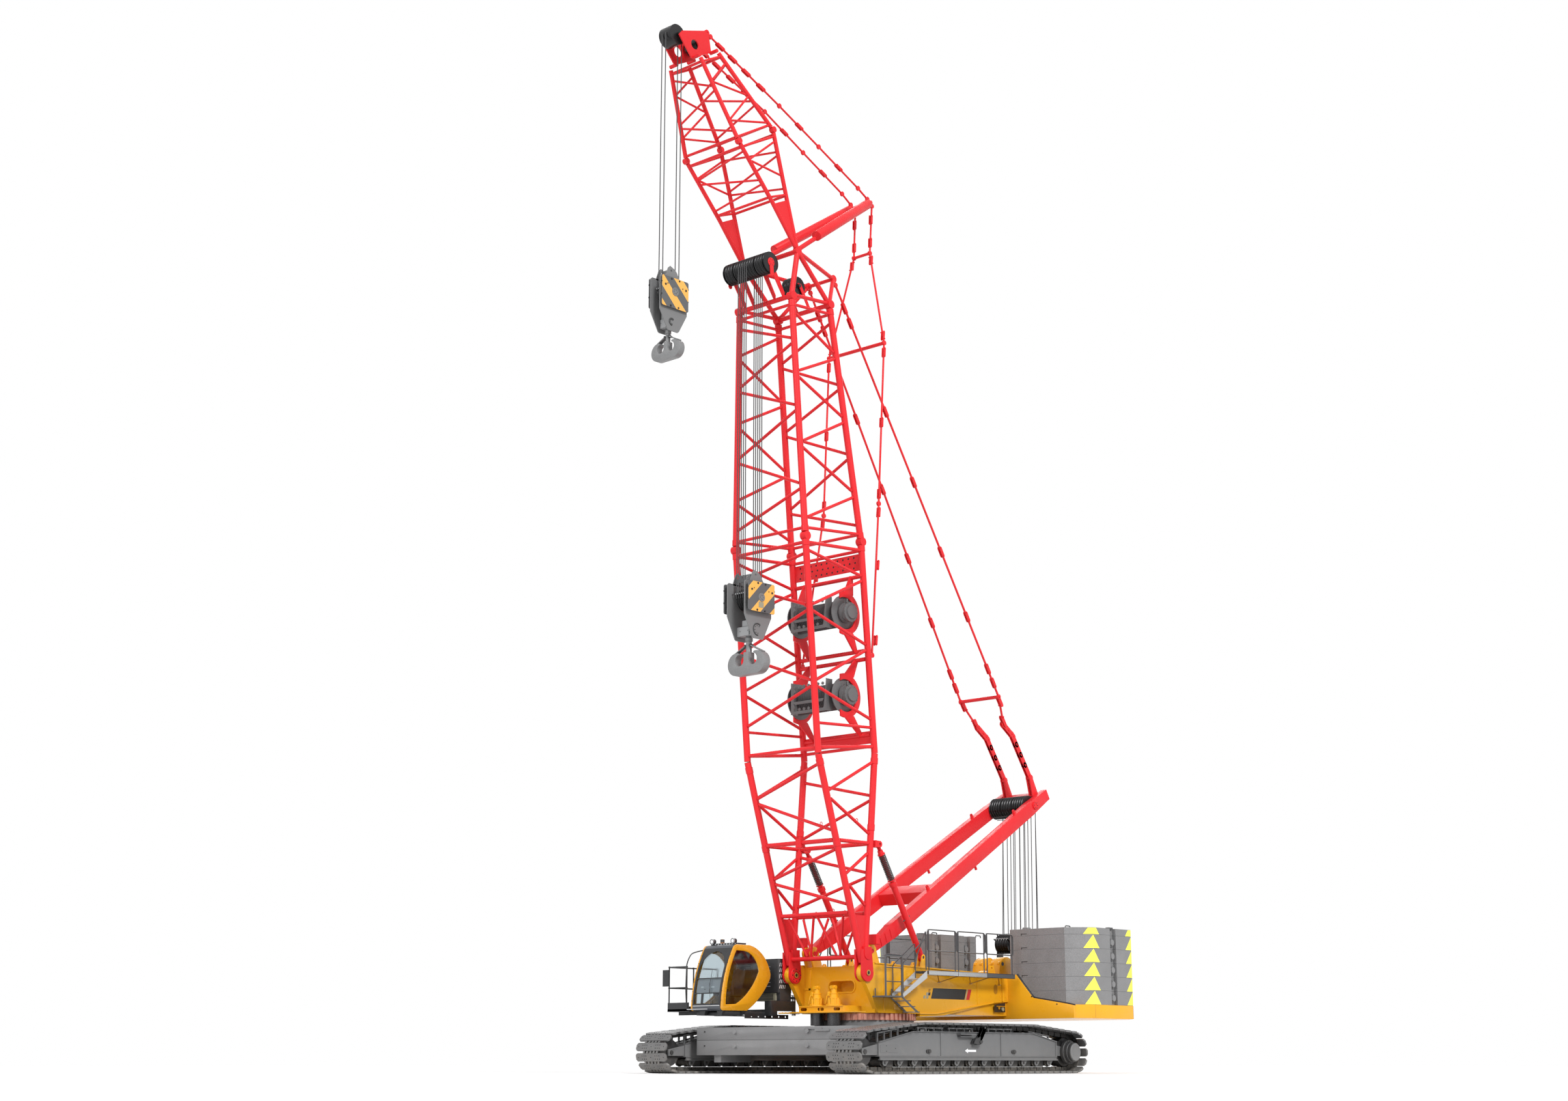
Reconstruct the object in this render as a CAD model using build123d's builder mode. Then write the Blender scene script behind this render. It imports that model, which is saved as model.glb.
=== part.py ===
from build123d import *
import math
import os

os.makedirs("parts", exist_ok=True)

# Crawler crane, parked with its boom up. Millimetres; +X forward, +Y to the crane's left, +Z up,
# with the origin on the ground under the slewing axis.

# ---------------------------------------------------------------- driving dimensions
seat_gap = 0.3  # what two neighbouring pieces leave between them
slide_gap = 12  # what moving pieces leave between them

# tracks
track_gauge = 7126
shoe_width = 1200
shoe_pitch = 300
shoe_gap = 22
shoe_thickness = 75
link_thickness = 105
link_width = 380
idler_x = 4420
idler_reach = 565  # outer radius of the track round the idler
sprocket_x = -4430
sprocket_reach = 585
track_top = 1340
track_top_front_x = 2270
track_top_rear_x = -2550
track_frame_width = 620
track_frame_bottom = 462
track_roller_radius = 130
track_roller_count = 13
wheel_clearance = 12

# carbody
carbody_height = 1240
carbody_beam_x = 2000
carbody_beam_length = 1000
slew_ring_radius = 1470
slew_ring_bottom = 1450
slew_ring_top = 1628
slew_tooth_count = 60
slew_tooth_depth = 44
ballast_clearance = 93  # between the ballast and each track
ballast_half_width = (track_gauge - shoe_width) / 2 - ballast_clearance
ballast_front = 3850
ballast_bottom = 497
ballast_top = 1243

# superstructure
frame_half_width = 1443
frame_bottom = 1640
frame_top = 3000
frame_wall = 60
frame_front = 1120
frame_rear = -4892
foot_pin = (1562, 2712)
foot_y = 1353
foot_ear_radius = 240
foot_ear_thickness = 150
foot_bore_radius = 75
deck_height = 2820
deck_edge = 1900
rail_height = 1150
rail_radius = 20

# counterweight
slab_height = 404
slab_count = 5
top_slab_height = 204
slab_front = -4955
slab_rear = -8100
slab_inner = 1504
slab_outer = 4090
slab_chamfer = 600
tray_bottom = 1550
tray_top = 1938
hoist_lug_y = 330
hoist_lug_width = 380
hoist_lug_top = 3430

# boom
chord_radius = 95
lace_radius = 45
boom_front = ((2712, 1562, 1353), (8630, 3425, 1353), (14737, 3940, 1360), (21894, 4155, 1038))
boom_back = ((2712, 1562, 1353), (8870, 1020, 1353), (14968, 1548, 1360), (22043, 2508, 1030))
boom_pin_radius = 125

# jib
jib_chord_radius = 62
jib_lace_radius = 32
jib_foot = (3930, 1062, 23320)

# mast and backstops
mast_foot = (1080, 3330)
mast_tip = (-7850, 8480)
mast_foot_y = 1080
mast_tip_y = 770
mast_depth = 420
mast_leg_width = 220
backstop_foot = (-948, 3215)
backstop_top = (943, 6295)
backstop_y = 1360


# ---------------------------------------------------------------- shared shapes
def tube(start, end, radius, start_cut=0.0, end_cut=0.0):
    """A round member between two points, cut back at its ends to where it sits."""
    run = Vector(*end) - Vector(*start)
    along = run.normalized()
    with BuildSketch(Plane(origin=Vector(*start) + along * start_cut, z_dir=along)) as section:
        Circle(radius)
    return extrude(section.sketch, amount=run.length - start_cut - end_cut, mode=Mode.PRIVATE)


def bored_disc(centre, radius, bore, y, thickness):
    """A round eye across Y."""
    with BuildSketch(Plane.XZ.offset(-y)) as section:
        with Locations(centre):
            Circle(radius)
            Circle(bore, mode=Mode.SUBTRACT)
    return extrude(section.sketch, amount=thickness / 2, both=True, mode=Mode.PRIVATE)


def side_plate(outline, y, thickness, bores=()):
    """A flat plate in the XZ plane, centred on y; bores are (x, z, radius)."""
    with BuildSketch(Plane.XZ.offset(-y)) as section:
        with BuildLine():
            Polyline(*outline, close=True)
        make_face()
        for x, z, radius in bores:
            with Locations((x, z)):
                Circle(radius, mode=Mode.SUBTRACT)
    return extrude(section.sketch, amount=thickness / 2, both=True, mode=Mode.PRIVATE)


def block(low, high):
    """A square block between two corners."""
    with BuildSketch(Plane.XY.offset(low[2])) as section:
        with Locations(((low[0] + high[0]) / 2, (low[1] + high[1]) / 2)):
            Rectangle(high[0] - low[0], high[1] - low[1])
    return extrude(section.sketch, amount=high[2] - low[2], mode=Mode.PRIVATE)


def on_chord(stations, z, side):
    """The point of a chord at height z; side is +1 on the left, -1 on the right."""
    for (z0, x0, y0), (z1, x1, y1) in zip(stations, stations[1:]):
        if z <= z1:
            break
    share = (z - z0) / (z1 - z0)
    return Vector(x0 + share * (x1 - x0), side * (y0 + share * (y1 - y0)), z)


def lace(first, second, z_first, z_second, radius, chord):
    """A lacing tube between two chords, each given as (stations, side), seated on both."""
    start = on_chord(first[0], z_first, first[1])
    end = on_chord(second[0], z_second, second[1])
    along = (end - start).normalized()
    cuts = []
    for (stations, side), z in ((first, z_first), (second, z_second)):
        run = (on_chord(stations, z + 10, side) - on_chord(stations, z - 10, side)).normalized()
        cosine = abs(run.dot(along))
        sine = math.sqrt(1 - cosine * cosine)
        cuts.append((chord + seat_gap + radius * cosine) / sine)
    return tube(start, end, radius, cuts[0], cuts[1])


def zigzag(first, second, heights, radius, chord):
    """Lacing that runs from chord to chord and back, one tube between neighbouring heights."""
    ends = (first, second)
    members = []
    for index, (upper, lower) in enumerate(zip(heights, heights[1:])):
        start = ends[index % 2]
        end = ends[(index + 1) % 2]
        step = math.copysign(lace_radius, upper - lower)
        members.append(lace(start, end, upper - step, lower + step, radius, chord))
    return members


# ================================================================ undercarriage
# Track: one loop of links with a row of flat shoes round it.
def track_path():
    """The outer line of the track, from the idler's foot round the back to the start."""
    front = (idler_x, idler_reach)
    rear = (sprocket_x, sprocket_reach)
    with BuildLine() as path:
        Line((idler_x, 0), (sprocket_x, 0))
        CenterArc(rear, sprocket_reach, 270, -172)
        Line(path.line @ 1, (track_top_rear_x, track_top))
        Line((track_top_rear_x, track_top), (track_top_front_x, track_top))
        far_end = (front[0] + idler_reach * math.cos(math.radians(84)),
                   front[1] + idler_reach * math.sin(math.radians(84)))
        Line((track_top_front_x, track_top), far_end)
        CenterArc(front, idler_reach, 84, -174)
    return path.wire()


outer_line = track_path()
shoe_count = round(outer_line.length / shoe_pitch)
shoe_length = outer_line.length / shoe_count - shoe_gap

for side, name in ((1, "left"), (-1, "right")):
    centre_y = side * track_gauge / 2
    with BuildPart() as track:
        with BuildSketch(Plane.XZ.offset(-centre_y)) as links:
            make_face(outer_line)
            offset(amount=-shoe_thickness, kind=Kind.INTERSECTION, mode=Mode.REPLACE)
            offset(amount=-link_thickness, kind=Kind.INTERSECTION, mode=Mode.SUBTRACT)
        extrude(amount=link_width / 2, both=True)
        with BuildSketch(Plane.XZ.offset(-centre_y)) as shoes:
            for index in range(shoe_count):
                middle = (index + 0.5) / shoe_count
                reach = shoe_length / 2 / outer_line.length
                toe = outer_line.position_at(middle + reach)
                heel = outer_line.position_at(middle - reach)
                heading = toe - heel
                turn = math.degrees(math.atan2(heading.Y, heading.X))
                inward = Vector(heading.Y, -heading.X).normalized() * (shoe_thickness / 2 + 1)
                spot = (toe + heel) / 2 + inward
                with Locations(Location((spot.X, spot.Y, 0), (0, 0, turn))):
                    Rectangle(heading.length, shoe_thickness + 2)
        extrude(amount=shoe_width / 2, both=True)
    track.part.label = f"track_{name}"
    export_step(track.part, f"parts/track_{name}.step")


# Track frame: a closed box beam with a fork for the idler at its front, a housing for the
# drive at its rear, slide rails on top and rows of flanged rollers below and above.
beam_outline = (
    (3930, track_frame_bottom),
    (3930, 800),
    (2550, 1085),
    (-2750, 1085),
    (-3880, 860),
    (-3880, track_frame_bottom),
)
fork_outline = ((4540, 480), (4540, 650), (3600, 820), (3600, 480))
housing_outline = ((-4520, 480), (-4520, 690), (-3800, 790), (-3800, 480))
idler_radius = idler_reach - shoe_thickness - link_thickness - wheel_clearance
sprocket_radius = sprocket_reach - shoe_thickness - link_thickness - wheel_clearance
wheel_axle_radius = 60
roller_floor = shoe_thickness + link_thickness + seat_gap
roller_first_x = -3550
roller_last_x = 3650
roller_centre_z = roller_floor + track_roller_radius
roller_ceiling = roller_centre_z + track_roller_radius + seat_gap
carrier_x = (-2420, 2130)
carrier_radius = 85
carrier_z = track_top - shoe_thickness - link_thickness - 6 - carrier_radius
cheek_y = 235
cheek_thickness = 60

with BuildPart() as track_frames:
    for centre_y in (track_gauge / 2, -track_gauge / 2):
        with BuildSketch(Plane.XZ.offset(-centre_y)) as beam:
            with BuildLine():
                Polyline(*beam_outline, close=True)
            make_face()
        extrude(amount=track_frame_width / 2, both=True)
        for cheek in (-cheek_y, cheek_y):
            idler_bore = (idler_x, idler_reach, wheel_axle_radius + seat_gap)
            sprocket_bore = (sprocket_x, sprocket_reach, wheel_axle_radius + seat_gap)
            add(side_plate(fork_outline, centre_y + cheek, cheek_thickness, (idler_bore,)))
            add(side_plate(housing_outline, centre_y + cheek, cheek_thickness, (sprocket_bore,)))
        guard = track_frame_width / 2 + 20
        add(block((-3880, centre_y - guard, roller_ceiling), (3930, centre_y + guard, track_frame_bottom)))
        # skids the upper run slides on
        for x in (-1400, 600):
            skid_top = track_top - shoe_thickness - link_thickness - seat_gap
            add(block((x - 800, centre_y - 60, 1080), (x + 800, centre_y + 60, skid_top)))
        # pockets of the carrier rollers
        for x in carrier_x:
            add(block((x - 105, centre_y - 145, carrier_z - 105), (x + 105, centre_y + 145, 1200)), mode=Mode.SUBTRACT)
track_frames.part.label = "track_frames"
export_step(track_frames.part, "parts/track_frames.step")


# Rollers: flanged rollers in a row under the beam, plain carriers on top, all on short axles.
def flanged_roller(x, y, z, radius, width):
    """A roller with a flange at each end, turned about Y."""
    flange = 22
    with BuildSketch(Plane.XY) as half:
        with BuildLine():
            Polyline(
                (0, -width / 2),
                (radius, -width / 2),
                (radius, -width / 2 + flange),
                (radius - 28, -width / 2 + flange + 10),
                (radius - 28, width / 2 - flange - 10),
                (radius, width / 2 - flange),
                (radius, width / 2),
                (0, width / 2),
                close=True,
            )
        make_face()
    turned = revolve(half.sketch, axis=Axis.Y, mode=Mode.PRIVATE)
    return turned.moved(Location((x, y, z)))


with BuildPart() as track_rollers:
    rollers = []
    spacing = (roller_last_x - roller_first_x) / (track_roller_count - 1)
    for centre_y in (track_gauge / 2, -track_gauge / 2):
        for index in range(track_roller_count):
            x = roller_first_x + index * spacing
            rollers.append(flanged_roller(x, centre_y, roller_centre_z, track_roller_radius, 420))
        for x in carrier_x:
            reach = 145 - seat_gap
            rollers.append(tube((x, centre_y - 130, carrier_z), (x, centre_y + 130, carrier_z), carrier_radius))
            rollers.append(tube((x, centre_y - reach, carrier_z), (x, centre_y + reach, carrier_z), 30))
    add(rollers)
track_rollers.part.label = "track_rollers"
export_step(track_rollers.part, "parts/track_rollers.step")

# Wheels: the idler and the sprocket of each track on their axles, with the drive outside.
hub_radius = 265
hub_inner = cheek_y + cheek_thickness / 2 + seat_gap
with BuildPart() as track_wheels:
    for side in (1, -1):
        centre_y = side * track_gauge / 2
        wheels = []
        for x, z, radius in ((idler_x, idler_reach, idler_radius), (sprocket_x, sprocket_reach, sprocket_radius)):
            wheels.append(tube((x, centre_y - 170, z), (x, centre_y + 170, z), radius))
            wheels.append(tube((x, centre_y - hub_inner - 20, z), (x, centre_y + hub_inner + 20, z), wheel_axle_radius))
        for start, end in ((-hub_inner, -300), (hub_inner, 560)):
            y0 = centre_y + side * start
            y1 = centre_y + side * end
            wheels.append(tube((sprocket_x, y0, sprocket_reach), (sprocket_x, y1, sprocket_reach), hub_radius))
        add(wheels)
track_wheels.part.label = "track_wheels"
export_step(track_wheels.part, "parts/track_wheels.step")

# Carbody: a round seat for the slewing ring on two box beams that reach the track frames.
frame_inner_y = (track_gauge - track_frame_width) / 2 - seat_gap
with BuildPart() as carbody:
    for x in (-carbody_beam_x, carbody_beam_x):
        with BuildSketch(Plane.XY.offset(track_frame_bottom + 20)):
            with Locations((x, 0)):
                Rectangle(carbody_beam_length, 2 * frame_inner_y)
        extrude(amount=carbody_height - 160 - track_frame_bottom)
    with BuildSketch(Plane.XY.offset(520)):
        Rectangle(2 * carbody_beam_x, 3300)
    extrude(amount=carbody_height - 520)
    with BuildSketch(Plane.XY.offset(520)):
        Circle(slew_ring_radius - 60)
    extrude(amount=slew_ring_bottom - seat_gap - 520)
carbody.part.label = "carbody"
export_step(carbody.part, "parts/carbody.step")

# Carbody ballast: a two-layer block at each end with round pins in its face.
with BuildPart() as carbody_ballast:
    inner_x = carbody_beam_x + carbody_beam_length / 2 + seat_gap
    seam_z = 900
    for end in (1, -1):
        for low, high in ((ballast_bottom, seam_z - 4), (seam_z + 4, ballast_top)):
            add(block((min(end * inner_x, end * ballast_front), -ballast_half_width, low),
                      (max(end * inner_x, end * ballast_front), ballast_half_width, high)))
        add(block((min(end * inner_x, end * (ballast_front - 60)), -ballast_half_width + 60, seam_z - 4),
                  (max(end * inner_x, end * (ballast_front - 60)), ballast_half_width - 60, seam_z + 4)))
        for y in (-2200, 2200):
            add(block((min(end * inner_x, end * 3700), y - 130, 300), (max(end * inner_x, end * 3700), y + 130, ballast_bottom)))
        for y in (-1350, 1350):
            for z in (740, 1115):
                add(tube((end * (ballast_front - 1), y, z), (end * (ballast_front + 45), y, z), 55))
carbody_ballast.part.label = "carbody_ballast"
export_step(carbody_ballast.part, "parts/carbody_ballast.step")

# Slewing ring: the toothed outer race, bolted to the carbody.
with BuildPart() as slew_ring:
    with BuildSketch(Plane.XY.offset(slew_ring_bottom)):
        Circle(slew_ring_radius - slew_tooth_depth)
        with PolarLocations(slew_ring_radius - slew_tooth_depth / 2, slew_tooth_count):
            Rectangle(slew_tooth_depth + 12, math.pi * slew_ring_radius / slew_tooth_count)
        Circle(slew_ring_radius - 230, mode=Mode.SUBTRACT)
    extrude(amount=slew_ring_top - slew_ring_bottom)
slew_ring.part.label = "slew_ring"
export_step(slew_ring.part, "parts/slew_ring.step")

# ================================================================ superstructure
# Main frame: two deep side plates with a nose at the boom foot, joined by a box between them.
ring_clear_x = -760  # behind this the side plates pass outside the slewing ring
side_outline = (
    (foot_pin[0] - 330, frame_top),
    (frame_rear, frame_top - 180),
    (frame_rear, 2050),
    (-4150, 2000),
    (-1850, 1610),
    (ring_clear_x, 1560),
    (ring_clear_x, frame_bottom),
    (1050, frame_bottom),
    (foot_pin[0] + 60, foot_pin[1] - foot_ear_radius + 10),
    (foot_pin[0], foot_pin[1]),
)
mast_ear_radius = 190
mast_pin_radius = 60
stop_pin_radius = 45
mast_ear_y = mast_leg_width / 2 + slide_gap + 20
stop_eye_thickness = 90
stop_ear_y = stop_eye_thickness / 2 + slide_gap + 10
with BuildPart() as main_frame:
    for side in (1, -1):
        with BuildSketch(Plane.XZ.offset(-side * foot_y)) as ear:
            with BuildLine():
                Polyline(*side_outline, close=True)
            make_face()
            with Locations(foot_pin):
                Circle(foot_ear_radius)
                Circle(foot_bore_radius, mode=Mode.SUBTRACT)
        extrude(amount=foot_ear_thickness / 2, both=True)
    with BuildSketch(Plane.XZ) as middle:
        with BuildLine():
            Polyline(
                (frame_front, frame_bottom),
                (frame_front, frame_top - 60),
                (frame_rear, frame_top - 240),
                (frame_rear, frame_bottom),
                close=True,
            )
        make_face()
    extrude(amount=foot_y, both=True)
    # engine bay
    with BuildSketch(Plane.XZ):
        with Locations((-3100, 2250)):
            Rectangle(2700, 940)
    extrude(amount=1150, both=True, mode=Mode.SUBTRACT)
    # front window of the box
    with BuildSketch(Plane.YZ.offset(frame_front)):
        with Locations((150, 2380)):
            RectangleRounded(950, 300, 140)
    extrude(amount=-500, mode=Mode.SUBTRACT)
    # turntable flange over the slewing ring, and the seat of the slewing drives
    with BuildSketch(Plane.XY.offset(slew_ring_top + seat_gap)):
        Circle(slew_ring_radius - 80)
    extrude(amount=frame_bottom - slew_ring_top + 20)
    with BuildSketch(Plane.XY.offset(frame_bottom - 6)):
        with Locations((1000, 0)):
            Rectangle(1900, 1500)
    extrude(amount=40)
    # lugs of the mast's feet
    for side in (1, -1):
        for offset_y in (-mast_ear_y, mast_ear_y):
            outline = (
                (mast_foot[0] - 360, frame_top - 100),
                (mast_foot[0] + 30, frame_top - 100),
                (mast_foot[0] + mast_ear_radius, mast_foot[1]),
                (mast_foot[0] - mast_ear_radius, mast_foot[1]),
            )
            y = side * mast_foot_y + offset_y
            add(side_plate(outline, y, 40))
            add(bored_disc(mast_foot, mast_ear_radius, mast_pin_radius, y, 40))
    for side in (1, -1):
        for offset_y in (-mast_ear_y, mast_ear_y):
            y = side * mast_foot_y + offset_y
            add(tube((mast_foot[0], y - 30, mast_foot[1]), (mast_foot[0], y + 30, mast_foot[1]), mast_pin_radius),
                mode=Mode.SUBTRACT)
    # lugs of the backstops' feet
    for side in (1, -1):
        for offset_y in (-stop_ear_y, stop_ear_y):
            x, z = backstop_foot
            y = side * backstop_y + offset_y
            add(side_plate(((x - 170, 2880), (x + 170, 2880), (x + 85, z), (x - 85, z)), y, 20, ((x, z, stop_pin_radius),)))
            add(bored_disc(backstop_foot, 85, stop_pin_radius, y, 20))
main_frame.part.label = "main_frame"
export_step(main_frame.part, "parts/main_frame.step")

# Engine: one plain block in its bay.
with BuildPart() as engine:
    add(block((-4100, -650, 1780 + seat_gap), (-2100, 650, 2600)))
engine.part.label = "engine"
export_step(engine.part, "parts/engine.step")

# Slewing drives: two upright gearmotors on the front flange, each over its pinion housing.
drive_x = 1648
drive_y = 315
pinion_radius = 190
with BuildPart() as slew_drives:
    for y in (-drive_y, drive_y):
        for radius, low, high in (
            (pinion_radius, 1300, frame_bottom - 6 - seat_gap),
            (215, frame_bottom + 34 + seat_gap, 1740),
            (165, 1740, 2010),
            (120, 2010, 2240),
            (85, 2240, 2400),
        ):
            with BuildSketch(Plane.XY.offset(low)):
                with Locations((drive_x, y)):
                    Circle(radius)
            extrude(amount=high - low)
slew_drives.part.label = "slew_drives"
export_step(slew_drives.part, "parts/slew_drives.step")

# Decks: a walkway down each side on the frame's shoulder, with its handrail.
deck_front_x = -560
deck_rear_x = -4660
deck_inner = foot_y + foot_ear_thickness / 2 + seat_gap
rail_bays = 3
with BuildPart() as side_decks:
    pieces = []
    bay = (deck_front_x - deck_rear_x - 60) / rail_bays
    rail_top = deck_height + rail_height
    rail_middle = deck_height + rail_height / 2
    for side in (1, -1):
        low_y, high_y = sorted((side * deck_inner, side * deck_edge))
        add(block((deck_rear_x, low_y, deck_height - 60), (deck_front_x, high_y, deck_height)))
        for x in (-4300, -3300, -2300, -1300):
            with BuildSketch(Plane.YZ.offset(x)):
                with BuildLine():
                    Polyline((side * deck_inner, deck_height - 30), (side * (deck_edge - 60), deck_height - 30),
                             (side * deck_inner, deck_height - 330), close=True)
                make_face()
            extrude(amount=12, both=True)
        rail_y = side * (deck_edge - 40)
        for index in range(rail_bays):
            low_x = deck_rear_x + 55 + index * bay
            high_x = low_x + bay - 50
            for x in (low_x, high_x):
                pieces.append(block((x - 20, rail_y - 20, deck_height - 10), (x + 20, rail_y + 20, rail_top + 20)))
            pieces.append(block((low_x, rail_y - 18, rail_top - 18), (high_x, rail_y + 18, rail_top + 18)))
            pieces.append(block((low_x, rail_y - 15, rail_middle - 15), (high_x, rail_y + 15, rail_middle + 15)))
    add(pieces)
side_decks.part.label = "side_decks"
export_step(side_decks.part, "parts/side_decks.step")

# Access steps: an inclined flight from the left deck to a landing, and hung steps below it.
with BuildPart() as access_steps:
    inner = foot_y + foot_ear_thickness / 2 + seat_gap
    landing_z = 2095
    add(block((520, inner, landing_z - 40), (1300, deck_edge, landing_z)))
    flight_top = (deck_front_x + seat_gap + 12, deck_height)
    for y in (inner + 40, deck_edge - 20):
        add(side_plate(((flight_top[0], flight_top[1]), (flight_top[0], flight_top[1] - 200),
                        (520, landing_z - 40), (700, landing_z - 40)), y, 20))
    for index in range(1, 4):
        share = index / 4
        x = flight_top[0] + share * (600 - flight_top[0])
        z = flight_top[1] + share * (landing_z - flight_top[1]) - 60
        add(block((x - 110, inner + 30, z - 15), (x + 110, deck_edge - 10, z + 15)))
    for y in (inner + 30, deck_edge - 30):
        add(side_plate(((520, landing_z - 20), (600, landing_z - 20), (-80, frame_bottom + 10), (-200, frame_bottom + 10)), y, 16))
    for index in range(3):
        z = frame_bottom + 30 + index * 150
        x = -110 + index * 195
        add(block((x - 100, inner + 20, z - 12), (x + 130, deck_edge - 20, z + 12)))
    for x in (560, 1260):
        add(block((x - 20, deck_edge - 40, landing_z - 20), (x + 20, deck_edge, landing_z + 1100)))
    add(block((560, deck_edge - 38, landing_z + 1064), (1260, deck_edge - 2, landing_z + 1100)))
access_steps.part.label = "access_steps"
export_step(access_steps.part, "parts/access_steps.step")

# Rear frame and counterweight tray: one weldment, with a shallow apron in front of each stack.
with BuildPart() as counterweight_tray:
    with BuildSketch(Plane.XY.offset(tray_bottom)):
        for side in (1, -1):
            with BuildLine():
                Polyline(
                    (slab_front, 0),
                    (slab_front, side * (slab_outer - slab_chamfer + 290)),
                    (slab_front - slab_chamfer, side * slab_outer),
                    (slab_rear + slab_chamfer, side * slab_outer),
                    (slab_rear, side * (slab_outer - slab_chamfer)),
                    (slab_rear, 0),
                    close=True,
                )
            make_face()
    extrude(amount=tray_top - tray_bottom)
    for side in (1, -1):
        with BuildSketch(Plane.YZ.offset(slab_front)):
            with BuildLine():
                Polyline((0, tray_bottom), (side * 3800, tray_bottom), (side * 3800, 1914), (side * 3496, 1971),
                         (side * 2341, 2150), (side * 2212, 2294), (side * 1736, 2836), (0, 2836), close=True)
            make_face()
        extrude(amount=frame_rear - slab_front - seat_gap)
    with BuildSketch(Plane.XZ):
        with BuildLine():
            Polyline((slab_front, tray_top), (slab_front, 2836), (-6300, 2700), (-7100, tray_top), close=True)
        make_face()
    extrude(amount=slab_inner - 40, both=True)
    # domed lugs of the boom hoist behind the engine bay
    for y in (-hoist_lug_y, hoist_lug_y):
        with BuildSketch(Plane.XZ.offset(-y)):
            with BuildLine():
                Line((-5580, 2380), (-5730, 3160))
                ThreePointArc((-5730, 3160), (-6080, hoist_lug_top), (-6430, 3160))
                Line((-6430, 3160), (-6580, 2380))
                Line((-6580, 2380), (-5580, 2380))
            make_face()
        extrude(amount=hoist_lug_width / 2, both=True)
counterweight_tray.part.label = "counterweight_tray"
export_step(counterweight_tray.part, "parts/counterweight_tray.step")

# Hoist sheaves: the rear block of the boom hoist, between bracket plates that stand on the tray.
hoist_axle = (-7420, 3900)
hoist_sheave_radius = 300
hoist_sheave_y = (210, 770)
with BuildPart() as hoist_sheaves:
    hoist_inner, hoist_outer = hoist_sheave_y
    for side in (1, -1):
        add(tube((hoist_axle[0], side * hoist_inner, hoist_axle[1]),
                 (hoist_axle[0], side * hoist_outer, hoist_axle[1]), hoist_sheave_radius))
    for y in (-hoist_outer - 15, -hoist_inner + 15, hoist_inner - 15, hoist_outer + 15):
        outline = (
            (hoist_axle[0] - 280, tray_top + seat_gap),
            (hoist_axle[0] + 280, tray_top + seat_gap),
            (hoist_axle[0] + 90, hoist_axle[1] + 60),
            (hoist_axle[0] - 90, hoist_axle[1] + 60),
        )
        add(side_plate(outline, y, 30))
    bracket_reach = hoist_outer + 30
    add(block((hoist_axle[0] - 240, -bracket_reach, 2900), (hoist_axle[0] + 240, bracket_reach, 2960)))
    add(tube((hoist_axle[0], -bracket_reach - 30, hoist_axle[1]), (hoist_axle[0], bracket_reach + 30, hoist_axle[1]), 70))
hoist_sheaves.part.label = "hoist_sheaves"
export_step(hoist_sheaves.part, "parts/hoist_sheaves.step")

# Counterweights: cast slabs stacked on each side of the tray, with lifting pins in recesses.
pin_recesses = ((-6560, slab_outer, -1), (-5255, slab_inner, 1), (-6714, slab_inner, 1))
recess_length = 300
recess_depth = 120
lifting_pin_radius = 62


def slab(side, low, high):
    """One cast slab with chamfered edges and open recesses for its lifting pins."""
    with BuildPart() as piece:
        with BuildSketch(Plane.XY.offset(low)):
            with BuildLine():
                Polyline(
                    (slab_front, side * slab_inner),
                    (slab_front, side * (slab_outer - slab_chamfer)),
                    (slab_front - slab_chamfer, side * slab_outer),
                    (slab_rear + slab_chamfer, side * slab_outer),
                    (slab_rear, side * (slab_outer - slab_chamfer)),
                    (slab_rear, side * (slab_inner + 930)),
                    (slab_rear + 930, side * slab_inner),
                    close=True,
                )
            make_face()
            for x, y, inward in pin_recesses:
                with Locations((x, side * y)):
                    Rectangle(recess_length, 2 * recess_depth, mode=Mode.SUBTRACT)
        extrude(amount=high - low)
        chamfer(piece.edges().filter_by(Plane.XY), 7)
    return piece.part


slab_pieces = []
for side in (1, -1):
    for level in range(slab_count + 1):
        low = tray_top + level * slab_height + seat_gap
        high = low + (slab_height if level < slab_count else top_slab_height) - seat_gap
        slab_pieces.append(slab(side, low, high))
        if level < slab_count:
            for x, y, inward in pin_recesses:
                root = side * (y + inward * (recess_depth + 10))
                tip = side * (y + inward * 15)
                z = low + slab_height / 2
                slab_pieces.append(tube((x, root, z), (x, tip, z), lifting_pin_radius))
with BuildPart() as counterweights:
    add(slab_pieces)
counterweights.part.label = "counterweights"
export_step(counterweights.part, "parts/counterweights.step")

# ================================================================ mast
def mast_point(share, side):
    """A point on a mast leg's centre line, share 0 at the foot and 1 at the tip."""
    return (
        mast_foot[0] + share * (mast_tip[0] - mast_foot[0]),
        side * (mast_foot_y + share * (mast_tip_y - mast_foot_y)),
        mast_foot[1] + share * (mast_tip[1] - mast_foot[1]),
    )


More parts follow.
